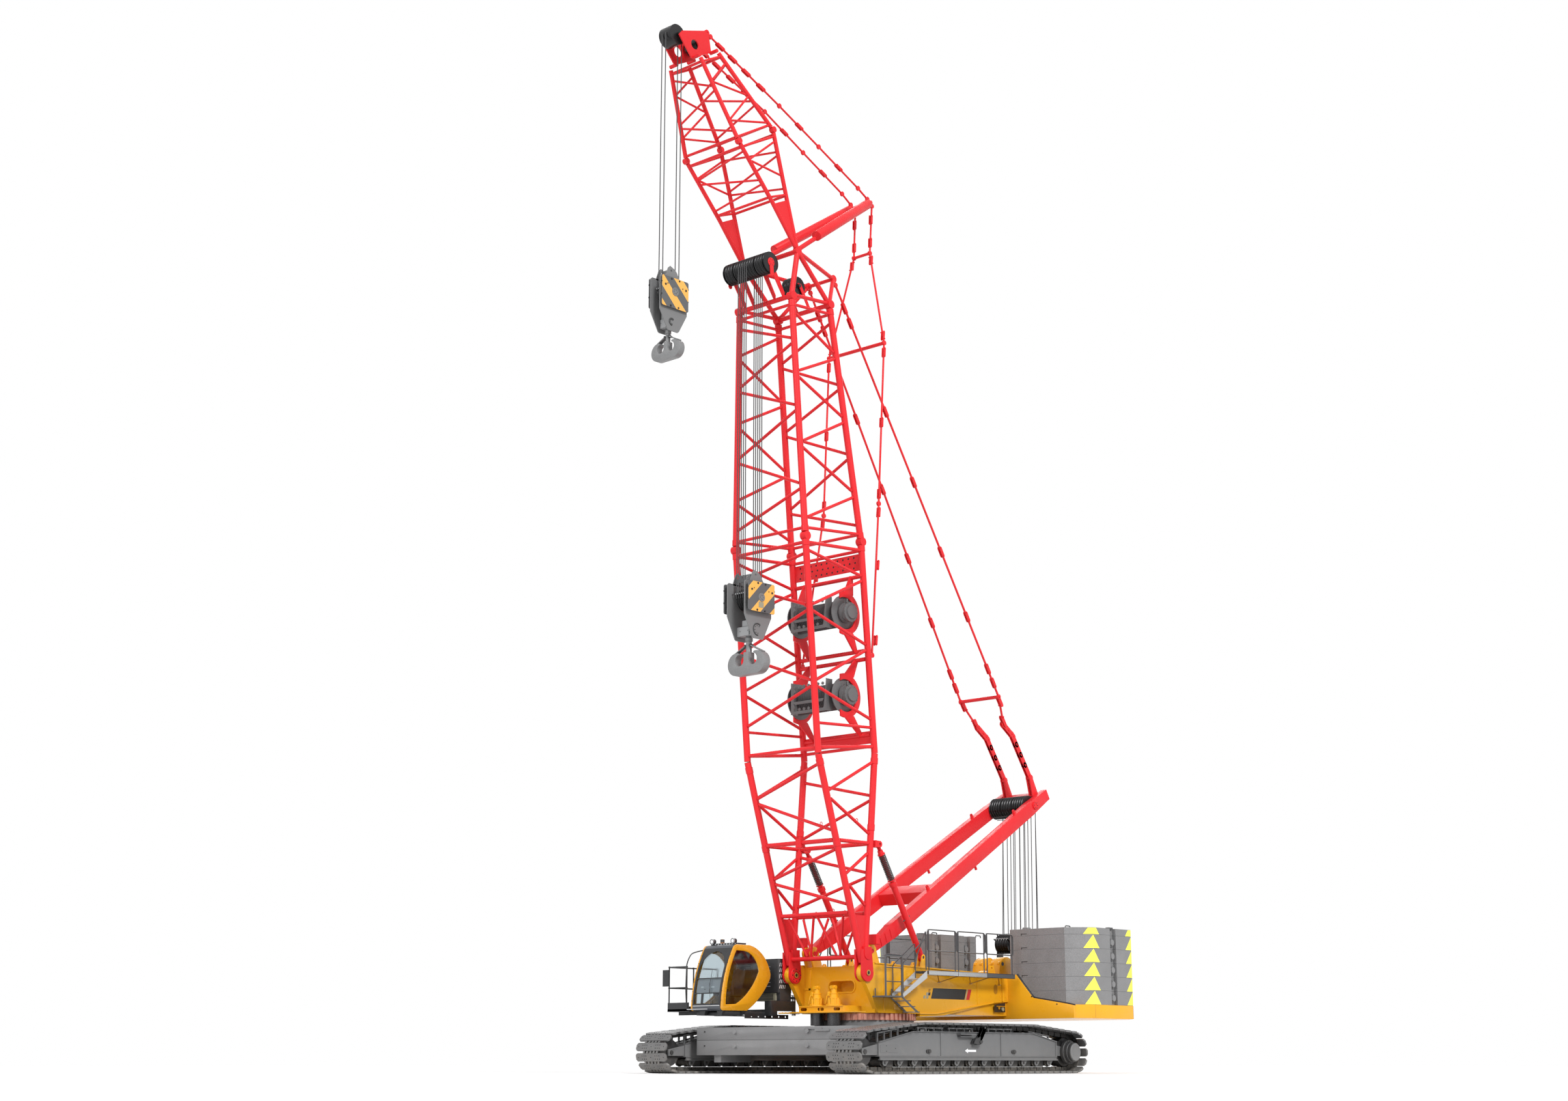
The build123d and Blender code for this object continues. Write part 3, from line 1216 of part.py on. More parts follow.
head_x, head_z = beside(jib_stay_pin, (fore_stay[0][0], fore_stay[0][2]), 95 + stay_eye + seat_gap)
fore_stay_head = (head_x, jib_stay_y, head_z)
tip_pin = (strut_tip[0], strut_tip[2])
tail_x, tail_z = beside(tip_pin, (-40, 26380), 60 + stay_eye + seat_gap)
fore_stay_tail = (tail_x, 340, tail_z)
head_x, head_z = beside(tip_pin, (-330, 26150), 60 + stay_eye + seat_gap)
rear_stay_head = (head_x, 340, head_z)
stay_lug_z = 11700
stay_lug_x = on_chord(boom_back, stay_lug_z, 1).X - (chord_radius + stay_eye + seat_gap) * 1.005
rear_stay_tail = (stay_lug_x, foot_y, stay_lug_z)
with BuildPart() as jib_stays:
    pieces = []
    for side in (1, -1):
        points = [fore_stay_head] + list(fore_stay) + [fore_stay_tail]
        points = [(x, side * y, z) for x, y, z in points]
        pieces += stay_line(points, stay_radius, stay_eye)
        points = [rear_stay_head] + list(rear_stay) + [rear_stay_tail]
        points = [(x, side * y, z) for x, y, z in points]
        pieces += stay_line(points, stay_radius, stay_eye)
    pieces.append(tube((-189, -293.7, 24607), (-189, 293.7, 24607), 45))
    pieces.append(tube((111, -1078.7, 21444), (111, 1078.7, 21444), 55))
    add(pieces)
jib_stays.part.label = "jib_stays"
export_step(jib_stays.part, "parts/jib_stays.step")

head_x, head_z = beside(stay_pin, (-5664, 11382), 120 + stay_eye + seat_gap)
boom_stay_points = ((head_x, 505, head_z), (-5664, 749, 11382), (-6220, 502, 10565), (-6620, 500, 10303), (-7494, 500, 9044))
with BuildPart() as boom_stays:
    pieces = []
    for side in (1, -1):
        points = [(x, side * y, z) for x, y, z in boom_stay_points]
        pieces += stay_line(points, 34, stay_eye)
    pieces.append(tube((-5664, -718.7, 11382), (-5664, 718.7, 11382), 55))
    add(pieces)
boom_stays.part.label = "boom_stays"
export_step(boom_stays.part, "parts/boom_stays.step")


# ================================================================ hooks
rope_radius = 14


def hook_profile(centre_y, z, half_width, bowl, depth):
    """A double hook across Y: two bowls either side of the shank, tips curled upwards."""
    with BuildSketch(Plane.YZ) as profile:
        with Locations((centre_y - half_width + depth, z), (centre_y + half_width - depth, z)):
            Circle(depth)
        with Locations((centre_y, z - depth * 0.42)):
            Rectangle(2 * (half_width - depth), depth * 1.16)
        with Locations((centre_y, z + bowl * 0.7)):
            Rectangle(bowl * 1.1, bowl * 2.4)
        with Locations((centre_y - bowl * 1.55, z + bowl * 0.62), (centre_y + bowl * 1.55, z + bowl * 0.62)):
            Circle(bowl, mode=Mode.SUBTRACT)
        with Locations((centre_y - bowl * 1.15, z + bowl * 1.5), (centre_y + bowl * 1.15, z + bowl * 1.5)):
            Rectangle(bowl * 1.2, bowl * 1.2, mode=Mode.SUBTRACT)
    return profile.sketch


# each hook: name, axle of its sheaves overhead, block axle height, cheek half width in X,
# cheek top, shoulder and foot heights, cheek Y, cover Y, rope Ys, hook height, half width and bowl
hooks = (
    ("main", main_axle, main_sheave_radius, 12950, 540, 13400, 12440, 11790, 330, 470,
     (-160, -80, 0, 80, 160), 11130, 700, 165),
    ("jib", tip_axle, tip_sheave_radius, 21150, 520, 21560, 20570, 20010, 185, 255,
     (-75, 75), 19480, 560, 132),
)
for name, axle, sheave, block_z, half_x, top_z, shoulder_z, foot_z, cheek, cover, rope_ys, hook_z, half_width, bowl in hooks:
    x = axle[0]
    with BuildPart() as ropes:
        falls = []
        for fall in (-1, 1):
            for y in rope_ys:
                rope_x = x + fall * (sheave + rope_radius + seat_gap)
                falls.append(tube((rope_x, y, block_z), (rope_x, y, axle[1]), rope_radius))
        add(falls)
    ropes.part.label = f"{name}_hoist_ropes"
    export_step(ropes.part, f"parts/{name}_hoist_ropes.step")

    crosshead_low = foot_z + 110
    crosshead_high = crosshead_low + 270
    with BuildPart() as hook_block:
        # cheeks that taper to the crosshead, each with an ear above for the rope's anchor
        for side in (1, -1):
            add(side_plate(((x - half_x, shoulder_z), (x - half_x, top_z), (x + half_x, top_z), (x + half_x, shoulder_z),
                            (x + half_x * 0.42, foot_z), (x - half_x * 0.42, foot_z)), side * cheek, 30))
            add(side_plate(((x - 260, top_z - 40), (x - 110, top_z + 200), (x + 140, top_z + 340), (x + 330, top_z - 40)),
                           side * cheek, 30))
            # square cover weights on spacers outside the cheeks
            cover_low = shoulder_z + 90
            add(block((x - half_x + 10, side * cover - 15, cover_low), (x + half_x - 10, side * cover + 15, top_z - 20)))
            for spacer_x in (x - half_x + 120, x + half_x - 120):
                for spacer_z in (cover_low + 110, top_z - 130):
                    add(tube((spacer_x, side * cheek, spacer_z), (spacer_x, side * cover, spacer_z), 32))
            add(tube((x, side * cheek, block_z), (x, side * (cover + 25), block_z), 95))
        add(block((x + 50, -cheek, top_z + 60), (x + 130, cheek, top_z + 260)))
        add(tube((x, 15 - cheek, block_z), (x, cheek - 15, block_z), sheave))
        add(block((x - half_x * 0.3, -cheek, crosshead_low), (x + half_x * 0.3, cheek, crosshead_high)))
        add(tube((x, 0, crosshead_high), (x, 0, crosshead_high + 170), bowl * 0.75))
    hook_block.part.label = f"{name}_hook_block"
    export_step(hook_block.part, f"parts/{name}_hook_block.step")

    with BuildPart() as hook:
        shape = hook_profile(0, hook_z, half_width, bowl, bowl * 1.95)
        add(extrude(shape, amount=bowl * 0.75, both=True, mode=Mode.PRIVATE).moved(Location((x, 0, 0))))
        add(tube((x, 0, hook_z + bowl), (x, 0, crosshead_low - seat_gap), bowl * 0.5))
    hook.part.label = f"{name}_hook"
    export_step(hook.part, f"parts/{name}_hook.step")

# ================================================================ cab
cab_near = -1700
cab_width = 1200
cab_far = cab_near - cab_width
cab_wall = 70
cab_side_wall = 55
door_frame = 40
screen_margin = 60
screen_back = 3500
screen_bottom = 1830
screen_top = 3400
glass_thickness = 12
door_gap = 12
door_thickness = 50
door_inset = 90
cab_floor = 1700
cab_roof = 3530
cab_mid = (cab_near + cab_far) / 2


def cab_slab(outline, inset, y, thickness):
    """A slab of an outline of the cab's side, moved in by inset and centred on y."""
    with BuildSketch(Plane.XZ.offset(-y)) as slab_section:
        add(outline)
        if inset:
            offset(amount=-inset, mode=Mode.REPLACE)
    return extrude(slab_section.sketch, amount=thickness / 2, both=True, mode=Mode.PRIVATE)


# the cab's rounded side, flat below and on its roof
with BuildSketch(Plane.XZ) as cab_profile:
    with BuildLine():
        Line((3050, cab_floor), (3990, cab_floor))
        ThreePointArc((3990, cab_floor), (4048, cab_floor + 26), (4072, cab_floor + 90))
        ThreePointArc((4072, cab_floor + 90), (3900, 2740), (3590, 3440))
        ThreePointArc((3590, 3440), (3520, 3508), (3420, cab_roof))
        Line((3420, cab_roof), (2960, cab_roof))
        ThreePointArc((2960, cab_roof), (2380, 3260), (2075, 2760))
        ThreePointArc((2075, 2760), (2085, 2640), (2140, 2530))
        ThreePointArc((2140, 2530), (2500, 2095), (3050, cab_floor))
    make_face()
# the window and door openings, with a wide pillar behind them
with BuildSketch(Plane.XZ) as pane_profile:
    with BuildLine():
        Line((3485, 1890), (3890, 1870))
        ThreePointArc((3890, 1870), (3761, 2690), (3468, 3360))
        Line((3468, 3360), (3200, 3352))
        ThreePointArc((3200, 3352), (2760, 3180), (2558, 2799))
        ThreePointArc((2558, 2799), (2830, 2385), (3485, 1890))
    make_face()
cab_side = cab_profile.sketch
cab_opening = pane_profile.sketch


# Shell: floor, roof, back and front in one bent frame, open at both sides, with the windscreen cut out.
with BuildPart() as cab_shell:
    add(cab_slab(cab_side, 0, cab_mid, cab_width - 2 * (cab_side_wall + seat_gap)))
    add(cab_slab(cab_side, cab_wall, cab_mid, cab_width), mode=Mode.SUBTRACT)
    screen_low = (screen_back, cab_far + screen_margin, screen_bottom)
    screen_high = (4200, cab_near - screen_margin, screen_top)
    add(block(screen_low, screen_high), mode=Mode.SUBTRACT)
cab_shell.part.label = "cab_shell"
export_step(cab_shell.part, "parts/cab_shell.step")

# Sides: the two thick side frames, each cut out for its window or door.
with BuildPart() as cab_inner_side:
    add(cab_slab(cab_side, 0, cab_near - cab_side_wall / 2, cab_side_wall))
    add(cab_slab(cab_opening, 0, cab_near, 3 * cab_side_wall), mode=Mode.SUBTRACT)
cab_inner_side.part.label = "cab_inner_side"
export_step(cab_inner_side.part, "parts/cab_inner_side.step")

runner_top = cab_floor + door_inset - seat_gap
with BuildPart() as cab_outer_side:
    add(cab_slab(cab_side, 0, cab_far + cab_side_wall / 2, cab_side_wall))
    add(cab_slab(cab_opening, 0, cab_far, 3 * cab_side_wall), mode=Mode.SUBTRACT)
    # runner the door stands on
    add(block((2400, cab_far - door_gap - door_thickness - 8, runner_top - 28), (3930, cab_far + 5, runner_top)))
cab_outer_side.part.label = "cab_outer_side"
export_step(cab_outer_side.part, "parts/cab_outer_side.step")

with BuildPart() as cab_glass:
    add(cab_slab(cab_side, 20, cab_mid, cab_width - 2 * (screen_margin + seat_gap)))
    add(cab_slab(cab_side, 20 + glass_thickness, cab_mid, cab_width), mode=Mode.SUBTRACT)
    fit = Vector(seat_gap, seat_gap, seat_gap)
    add(block(tuple(Vector(*screen_low) + fit), tuple(Vector(*screen_high) - fit)), mode=Mode.INTERSECT)
    add(cab_slab(cab_opening, seat_gap, cab_near - 30, glass_thickness))
cab_glass.part.label = "cab_glass"
export_step(cab_glass.part, "parts/cab_glass.step")

door_y = cab_far - door_gap - door_thickness / 2
with BuildPart() as cab_door:
    add(cab_slab(cab_side, door_inset, door_y, door_thickness))
    add(cab_slab(cab_opening, door_frame, door_y, 2 * door_thickness), mode=Mode.SUBTRACT)
cab_door.part.label = "cab_door"
export_step(cab_door.part, "parts/cab_door.step")

with BuildPart() as cab_door_glass:
    add(cab_slab(cab_opening, door_frame + seat_gap, door_y, glass_thickness))
cab_door_glass.part.label = "cab_door_glass"
export_step(cab_door_glass.part, "parts/cab_door_glass.step")

# Driver's seat with its pedestal and two lever consoles, on the cab floor.
with BuildPart() as cab_seat:
    floor_z = cab_floor + cab_wall
    add(block((3090, cab_mid - 200, floor_z + seat_gap), (3350, cab_mid + 200, 2120)))
    add(block((2840, cab_mid - 250, 2120), (3360, cab_mid + 250, 2240)))
    add(side_plate(((2820, 2240), (2930, 2240), (2760, 2900), (2640, 2900)), cab_mid, 460))
    for side in (1, -1):
        add(block((2900, cab_mid + side * 330 - 65, 2000), (3330, cab_mid + side * 330 + 65, 2400)))
        add(block((2980, cab_mid + side * 258 - 20, 2060), (3200, cab_mid + side * 258 + 20, 2135)))
cab_seat.part.label = "cab_seat"
export_step(cab_seat.part, "parts/cab_seat.step")

# Cab carrier: a hinge post on the frame's corner, an arm and the cross bearers under the cab.
carrier_top = cab_floor - seat_gap
post_x = 1250
post_y = -1575
with BuildPart() as cab_carrier:
    add(block((post_x - 90, post_y - 60, 1640), (post_x + 90, -foot_y - foot_ear_thickness / 2 - seat_gap, 1700)))
    add(block((post_x - 90, post_y - 60, 2060), (post_x + 90, -foot_y - foot_ear_thickness / 2 - seat_gap, 2120)))
    add(tube((post_x, post_y, 1600), (post_x, post_y, 2150), 55))
    add(block((post_x, post_y - 200, 1720), (2250, post_y + 60, 2000)))
    add(block((2000, cab_far + 60, 1580), (2250, post_y + 60, 1760)))
    add(block((2250, cab_far + 60, 1580), (3900, cab_far + 260, carrier_top)))
    add(block((2250, cab_near - 260, 1580), (3900, cab_near - 60, carrier_top)))
    add(block((2500, cab_far + 60, 1580), (2620, cab_near - 60, 1660)))
    add(block((3700, cab_far + 60, 1580), (3820, cab_near - 60, 1660)))
cab_carrier.part.label = "cab_carrier"
export_step(cab_carrier.part, "parts/cab_carrier.step")

# Cabinet behind the cab, standing on the carrier's arm.
with BuildPart() as side_cabinet:
    add(block((1330, -2650, 2230), (1880, -1560, 3180)))
    fillet(side_cabinet.edges().filter_by(Axis.Z), 60)
    add(block((1380, -1740, 2000 + seat_gap), (1830, -1560, 2230)))
side_cabinet.part.label = "side_cabinet"
export_step(side_cabinet.part, "parts/side_cabinet.step")

# Cab walkway: a platform along the cab's outer side, with its rail and a mirror.
walk_inner = cab_far - door_gap - door_thickness - 30
walk_outer = -3850
with BuildPart() as cab_walkway:
    add(block((2050, walk_outer, 1690), (4060, walk_inner, 1760)))
    add(block((2100, walk_outer + 80, 1600), (2250, cab_far + 60 - seat_gap, 1690)))
    add(block((3600, walk_outer + 80, 1600), (3690, cab_far + 60 - seat_gap, 1690)))
    rails = ((2080, walk_outer + 30), (3060, walk_outer + 30), (4030, walk_outer + 30), (4030, walk_inner - 120))
    for x, y in rails:
        add(tube((x, y, 1760), (x, y, 2930), rail_radius))
    for z in (2350, 2930):
        add(tube((2080 - 20, walk_outer + 30, z), (4030 + 20, walk_outer + 30, z), rail_radius))
        add(tube((4030, walk_outer + 10, z), (4030, walk_inner - 100, z), rail_radius))
    add(block((4000, walk_outer - 210, 2400), (4060, walk_outer + 25, 2860)))
cab_walkway.part.label = "cab_walkway"
export_step(cab_walkway.part, "parts/cab_walkway.step")

# Roof rack of the cab with two work lamps and a beacon.
rack_low = cab_roof + seat_gap
rack_high = rack_low + 50
lamp_z = rack_high + 50
with BuildPart() as cab_roof_kit:
    add(block((2980, cab_far + 110, rack_low), (3400, cab_near - 110, rack_high)))
    for y in (cab_far + 190, cab_near - 190):
        add(tube((3340, y, lamp_z), (3450, y, lamp_z), 75))
        add(block((3300, y - 20, rack_high - 5), (3380, y + 20, lamp_z)))
    add(tube((3250, cab_mid - 180, rack_high - 5), (3250, cab_mid - 180, rack_high + 115), 60))
cab_roof_kit.part.label = "cab_roof_kit"
export_step(cab_roof_kit.part, "parts/cab_roof_kit.step")
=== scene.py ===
import math

import bmesh
import bpy
from mathutils import Matrix, Vector


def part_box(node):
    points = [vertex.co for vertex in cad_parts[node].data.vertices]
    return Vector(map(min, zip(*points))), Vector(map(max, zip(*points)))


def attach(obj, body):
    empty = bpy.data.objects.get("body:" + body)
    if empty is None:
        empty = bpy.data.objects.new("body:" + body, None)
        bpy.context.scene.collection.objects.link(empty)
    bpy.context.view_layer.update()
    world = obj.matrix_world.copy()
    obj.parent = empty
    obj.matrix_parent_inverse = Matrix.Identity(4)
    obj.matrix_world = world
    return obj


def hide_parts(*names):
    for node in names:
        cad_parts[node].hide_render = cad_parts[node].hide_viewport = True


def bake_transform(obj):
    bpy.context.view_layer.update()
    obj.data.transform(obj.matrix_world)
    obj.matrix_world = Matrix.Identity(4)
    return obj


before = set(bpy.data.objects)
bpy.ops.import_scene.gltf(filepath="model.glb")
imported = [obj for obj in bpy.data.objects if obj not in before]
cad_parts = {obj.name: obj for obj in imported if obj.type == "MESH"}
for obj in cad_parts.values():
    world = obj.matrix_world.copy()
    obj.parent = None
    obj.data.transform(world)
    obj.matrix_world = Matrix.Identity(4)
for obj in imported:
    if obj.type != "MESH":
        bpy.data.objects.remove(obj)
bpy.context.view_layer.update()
pi = math.pi

# View, floor and light
# The crane is seen from its left front, from just above the ground, through a standard lens.
# A pale floor and a white room with broad, soft lamps show the paint as it is.
view_from = Vector((48.054, 41.419, 0.263))
view_heading = math.radians(42.82)  # turned from -X towards -Y
view_rise = math.radians(13.26)
forward = Vector((
    -math.cos(view_heading) * math.cos(view_rise),
    -math.sin(view_heading) * math.cos(view_rise),
    math.sin(view_rise),
))
camera = bpy.data.objects.new("camera", bpy.data.cameras.new("camera"))
camera.data.lens = 50
camera.data.sensor_width = 36
camera.data.clip_end = 400
camera.location = view_from
camera.rotation_euler = forward.to_track_quat("-Z", "Y").to_euler()
bpy.context.collection.objects.link(camera)
bpy.context.scene.camera = camera
bpy.context.scene.view_settings.view_transform = "Standard"


def lamp(name, kind, towards, power, size):
    """A lamp that shines along a direction: a sun with a soft edge or a broad square of light."""
    light = bpy.data.lights.new(name, kind)
    light.energy = power
    holder = bpy.data.objects.new(name, light)
    towards = Vector(towards).normalized()
    holder.rotation_euler = towards.to_track_quat("-Z", "Y").to_euler()
    holder.location = Vector((0, 0, 12)) - towards * 60
    if kind == "SUN":
        light.angle = math.radians(size)
    else:
        light.shape = "SQUARE"
        light.size = size
    bpy.context.collection.objects.link(holder)


lamp("key_light", "SUN", (-0.25, -0.80, -0.62), 2.1, 14)
lamp("front_light", "SUN", (-0.90, -0.05, -0.42), 1.0, 30)
lamp("rear_light", "SUN", (0.75, 0.55, -0.55), 0.5, 30)

world = bpy.data.worlds.new("room")
bpy.context.scene.world = world
world.use_nodes = True
nodes, links = world.node_tree.nodes, world.node_tree.links
background = nodes["Background"]
background.inputs["Color"].default_value = (1.0, 1.0, 1.0, 1.0)
path = nodes.new("ShaderNodeLightPath")
seen = path.outputs["Is Camera Ray"]
for ray in ("Is Glossy Ray", "Is Transmission Ray"):
    either = nodes.new("ShaderNodeMath")
    either.operation = "MAXIMUM"
    links.new(seen, either.inputs[0])
    links.new(path.outputs[ray], either.inputs[1])
    seen = either.outputs[0]
strength = nodes.new("ShaderNodeMapRange")
strength.inputs["To Min"].default_value = 0.62
strength.inputs["To Max"].default_value = 1.0
links.new(seen, strength.inputs["Value"])
links.new(strength.outputs["Result"], background.inputs["Strength"])


def coat(name, colour, roughness, metallic=0.0):
    """A new material with its shader's plain values set; the rest is linked in its own section."""
    material = bpy.data.materials.new(name)
    material.use_nodes = True
    shader = material.node_tree.nodes["Principled BSDF"]
    shader.inputs["Base Color"].default_value = (*colour, 1.0)
    shader.inputs["Roughness"].default_value = roughness
    shader.inputs["Metallic"].default_value = metallic
    material.diffuse_color = (*colour, 1.0)
    return material


bm = bmesh.new()
bmesh.ops.create_grid(bm, x_segments=1, y_segments=1, size=150)
bmesh.ops.translate(bm, verts=bm.verts, vec=(0, 0, -0.004))
floor_mesh = bpy.data.meshes.new("floor")
bm.to_mesh(floor_mesh)
bm.free()
floor = bpy.data.objects.new("floor", floor_mesh)
bpy.context.collection.objects.link(floor)
floor_paint = coat("floor_paint", (0.86, 0.86, 0.86), 0.8)
floor_mesh.materials.append(floor_paint)

# Finishes
# Shop paint over primed steel: an even gloss coat with a faint orange peel, a slow drift of tone
# over large plates and a film of pale dust that thins out with height above the ground.


def new_group(name, inputs, outputs):
    """An empty shader node group with plain float, colour and vector sockets."""
    tree = bpy.data.node_groups.new(name, "ShaderNodeTree")
    for way, sockets in (("INPUT", inputs), ("OUTPUT", outputs)):
        for label, kind, value in sockets:
            socket = tree.interface.new_socket(name=label, in_out=way, socket_type=kind)
            if value is not None:
                socket.default_value = value
    return tree, tree.nodes.new("NodeGroupInput"), tree.nodes.new("NodeGroupOutput")


def noise_at(tree, scale, detail):
    """A noise texture on object coordinates; its scale is a number or a socket."""
    texture = tree.nodes.new("ShaderNodeTexNoise")
    texture.inputs["Detail"].default_value = detail
    tree.links.new(tree.nodes.new("ShaderNodeTexCoord").outputs["Object"], texture.inputs["Vector"])
    if isinstance(scale, float):
        texture.inputs["Scale"].default_value = scale
    else:
        tree.links.new(scale, texture.inputs["Scale"])
    return texture.outputs["Fac"]


def remap(tree, value, from_low, from_high, to_low, to_high, smooth=False):
    """A value mapped from one range to another."""
    node = tree.nodes.new("ShaderNodeMapRange")
    if smooth:
        node.interpolation_type = "SMOOTHSTEP"
    for label, number in (
        ("From Min", from_low), ("From Max", from_high), ("To Min", to_low), ("To Max", to_high),
    ):
        node.inputs[label].default_value = number
    tree.links.new(value, node.inputs["Value"])
    return node.outputs["Result"]


def arithmetic(tree, operation, first, second):
    """A math node; either input may be a socket or a number."""
    node = tree.nodes.new("ShaderNodeMath")
    node.operation = operation
    for index, value in enumerate((first, second)):
        if isinstance(value, (int, float)):
            node.inputs[index].default_value = value
        else:
            tree.links.new(value, node.inputs[index])
    return node.outputs[0]


def blend_colours(tree, share, first, second, kind="MIX"):
    """A colour mix; colours may be sockets or RGB triples."""
    node = tree.nodes.new("ShaderNodeMix")
    node.data_type = "RGBA"
    node.blend_type = kind
    for index, value in ((0, share), (6, first), (7, second)):
        if isinstance(value, (int, float)):
            node.inputs[index].default_value = value
        elif isinstance(value, tuple):
            node.inputs[index].default_value = (*value, 1.0)
        else:
            tree.links.new(value, node.inputs[index])
    return node.outputs[2]


def height_above_ground(tree):
    """The Z of a point, in metres."""
    split = tree.nodes.new("ShaderNodeSeparateXYZ")
    tree.links.new(tree.nodes.new("ShaderNodeTexCoord").outputs["Object"], split.inputs[0])
    return split.outputs["Z"]


def brighten(tree, shift, given, put_out):
    """Passes a group's colour on, lighter or darker by a value round zero."""
    node = tree.nodes.new("ShaderNodeHueSaturation")
    tree.links.new(arithmetic(tree, "ADD", shift, 1.0), node.inputs["Value"])
    tree.links.new(given.outputs["Colour"], node.inputs["Color"])
    tree.links.new(node.outputs["Color"], put_out.inputs["Colour"])


colour_socket = "NodeSocketColor"
float_socket = "NodeSocketFloat"

paint_film, given, put_out = new_group(
    "paint_film",
    (("Colour", colour_socket, None), ("Drift", float_socket, 0.08), ("Peel Scale", float_socket, 90.0)),
    (
        ("Colour", colour_socket, None), ("Roughness Shift", float_socket, None),
        ("Height", float_socket, None),
    ),
)
drift = remap(paint_film, noise_at(paint_film, 0.55, 3.0), 0.3, 0.7, -1.0, 1.0)
drift = arithmetic(paint_film, "MULTIPLY", drift, given.outputs["Drift"])
brighten(paint_film, drift, given, put_out)
smudge = remap(paint_film, noise_at(paint_film, 3.5, 4.0), 0.35, 0.7, -0.05, 0.09)
paint_film.links.new(smudge, put_out.inputs["Roughness Shift"])
peel = noise_at(paint_film, given.outputs["Peel Scale"], 2.0)
paint_film.links.new(peel, put_out.inputs["Height"])

ground_dust, given, put_out = new_group(
    "ground_dust",
    (
        ("Colour", colour_socket, None),
        ("Dust Colour", colour_socket, (0.42, 0.38, 0.33, 1.0)),
        ("Amount", float_socket, 0.25),
        ("Top", float_socket, 1.4),
    ),
    (("Colour", colour_socket, None), ("Mask", float_socket, None)),
)
share = arithmetic(ground_dust, "DIVIDE", height_above_ground(ground_dust), given.outputs["Top"])
share = remap(ground_dust, share, 1.0, 0.0, 0.0, 1.0, True)
patches = remap(ground_dust, noise_at(ground_dust, 7.0, 6.0), 0.35, 0.75, 0.2, 1.0)
share = arithmetic(ground_dust, "MULTIPLY", share, patches)
share = arithmetic(ground_dust, "MULTIPLY", share, given.outputs["Amount"])
dusted = blend_colours(ground_dust, share, given.outputs["Colour"], given.outputs["Dust Colour"])
ground_dust.links.new(dusted, put_out.inputs["Colour"])
ground_dust.links.new(share, put_out.inputs["Mask"])

cast_grain, given, put_out = new_group(
    "cast_grain",
    (("Colour", colour_socket, None), ("Grain Scale", float_socket, 55.0), ("Contrast", float_socket, 0.3)),
    (("Colour", colour_socket, None), ("Height", float_socket, None)),
)
speck = noise_at(cast_grain, given.outputs["Grain Scale"], 3.0)
tone = remap(cast_grain, speck, 0.32, 0.68, -1.0, 1.0)
cloud = remap(cast_grain, noise_at(cast_grain, 1.6, 4.0), 0.3, 0.7, -0.4, 0.4)
tone = arithmetic(cast_grain, "ADD", tone, cloud)
tone = arithmetic(cast_grain, "MULTIPLY", tone, given.outputs["Contrast"])
brighten(cast_grain, tone, given, put_out)
cast_grain.links.new(speck, put_out.inputs["Height"])


def place_group(material, group, **values):
    """A group's node in a material, with its input values set."""
    node = material.node_tree.nodes.new("ShaderNodeGroup")
    node.node_tree = group
    for label, value in values.items():
        label = label.replace("_", " ")
        node.inputs[label].default_value = (*value, 1.0) if isinstance(value, tuple) else value
    return node


def add_bump(material, height, strength, distance):
    """A bump node from a height to the shader's normal."""
    tree = material.node_tree
    bump = tree.nodes.new("ShaderNodeBump")
    bump.inputs["Strength"].default_value = strength
    bump.inputs["Distance"].default_value = distance
    tree.links.new(height, bump.inputs["Height"])
    tree.links.new(bump.outputs["Normal"], tree.nodes["Principled BSDF"].inputs["Normal"])


def finish_shader(material, colour, rough, dust, dust_top):
    """Links a colour and a roughness to the shader, through a film of dust where one is wanted."""
    tree = material.node_tree
    if dust:
        film = place_group(material, ground_dust, Amount=dust, Top=dust_top)
        tree.links.new(colour, film.inputs["Colour"])
        colour = film.outputs["Colour"]
        rough = arithmetic(tree, "ADD", rough, film.outputs["Mask"])
    shader = tree.nodes["Principled BSDF"]
    tree.links.new(colour, shader.inputs["Base Color"])
    tree.links.new(rough, shader.inputs["Roughness"])
    return shader


def painted(name, colour, roughness, drift=0.06, dust=0.0, dust_top=2.0, metallic=0.0, gloss=0.0, glint=0.5):
    """Sprayed paint: drifting tone, smudged gloss, orange peel and, low down, dust."""
    material = coat(name, colour, roughness, metallic)
    film = place_group(material, paint_film, Colour=colour, Drift=drift)
    rough = arithmetic(material.node_tree, "ADD", film.outputs["Roughness Shift"], roughness)
    shader = finish_shader(material, film.outputs["Colour"], rough, dust, dust_top)
    shader.inputs["Specular IOR Level"].default_value = glint
    shader.inputs["Coat Weight"].default_value = gloss
    shader.inputs["Coat Roughness"].default_value = 0.12
    add_bump(material, film.outputs["Height"], 0.06, 0.002)
    return material


def cast(name, colour, roughness, grain=55.0, contrast=0.3, dust=0.0, dust_top=1.5, metallic=0.0, relief=0.4):
    """Rough cast or rolled metal: speckled tone with a grain that stands up a little."""
    material = coat(name, colour, roughness, metallic)
    skin = place_group(material, cast_grain, Colour=colour, Grain_Scale=grain, Contrast=contrast)
    rough = remap(material.node_tree, skin.outputs["Height"], 0.3, 0.7, roughness - 0.08, roughness + 0.08)
    finish_shader(material, skin.outputs["Colour"], rough, dust, dust_top)
    add_bump(material, skin.outputs["Height"], relief, 0.004)
    return material


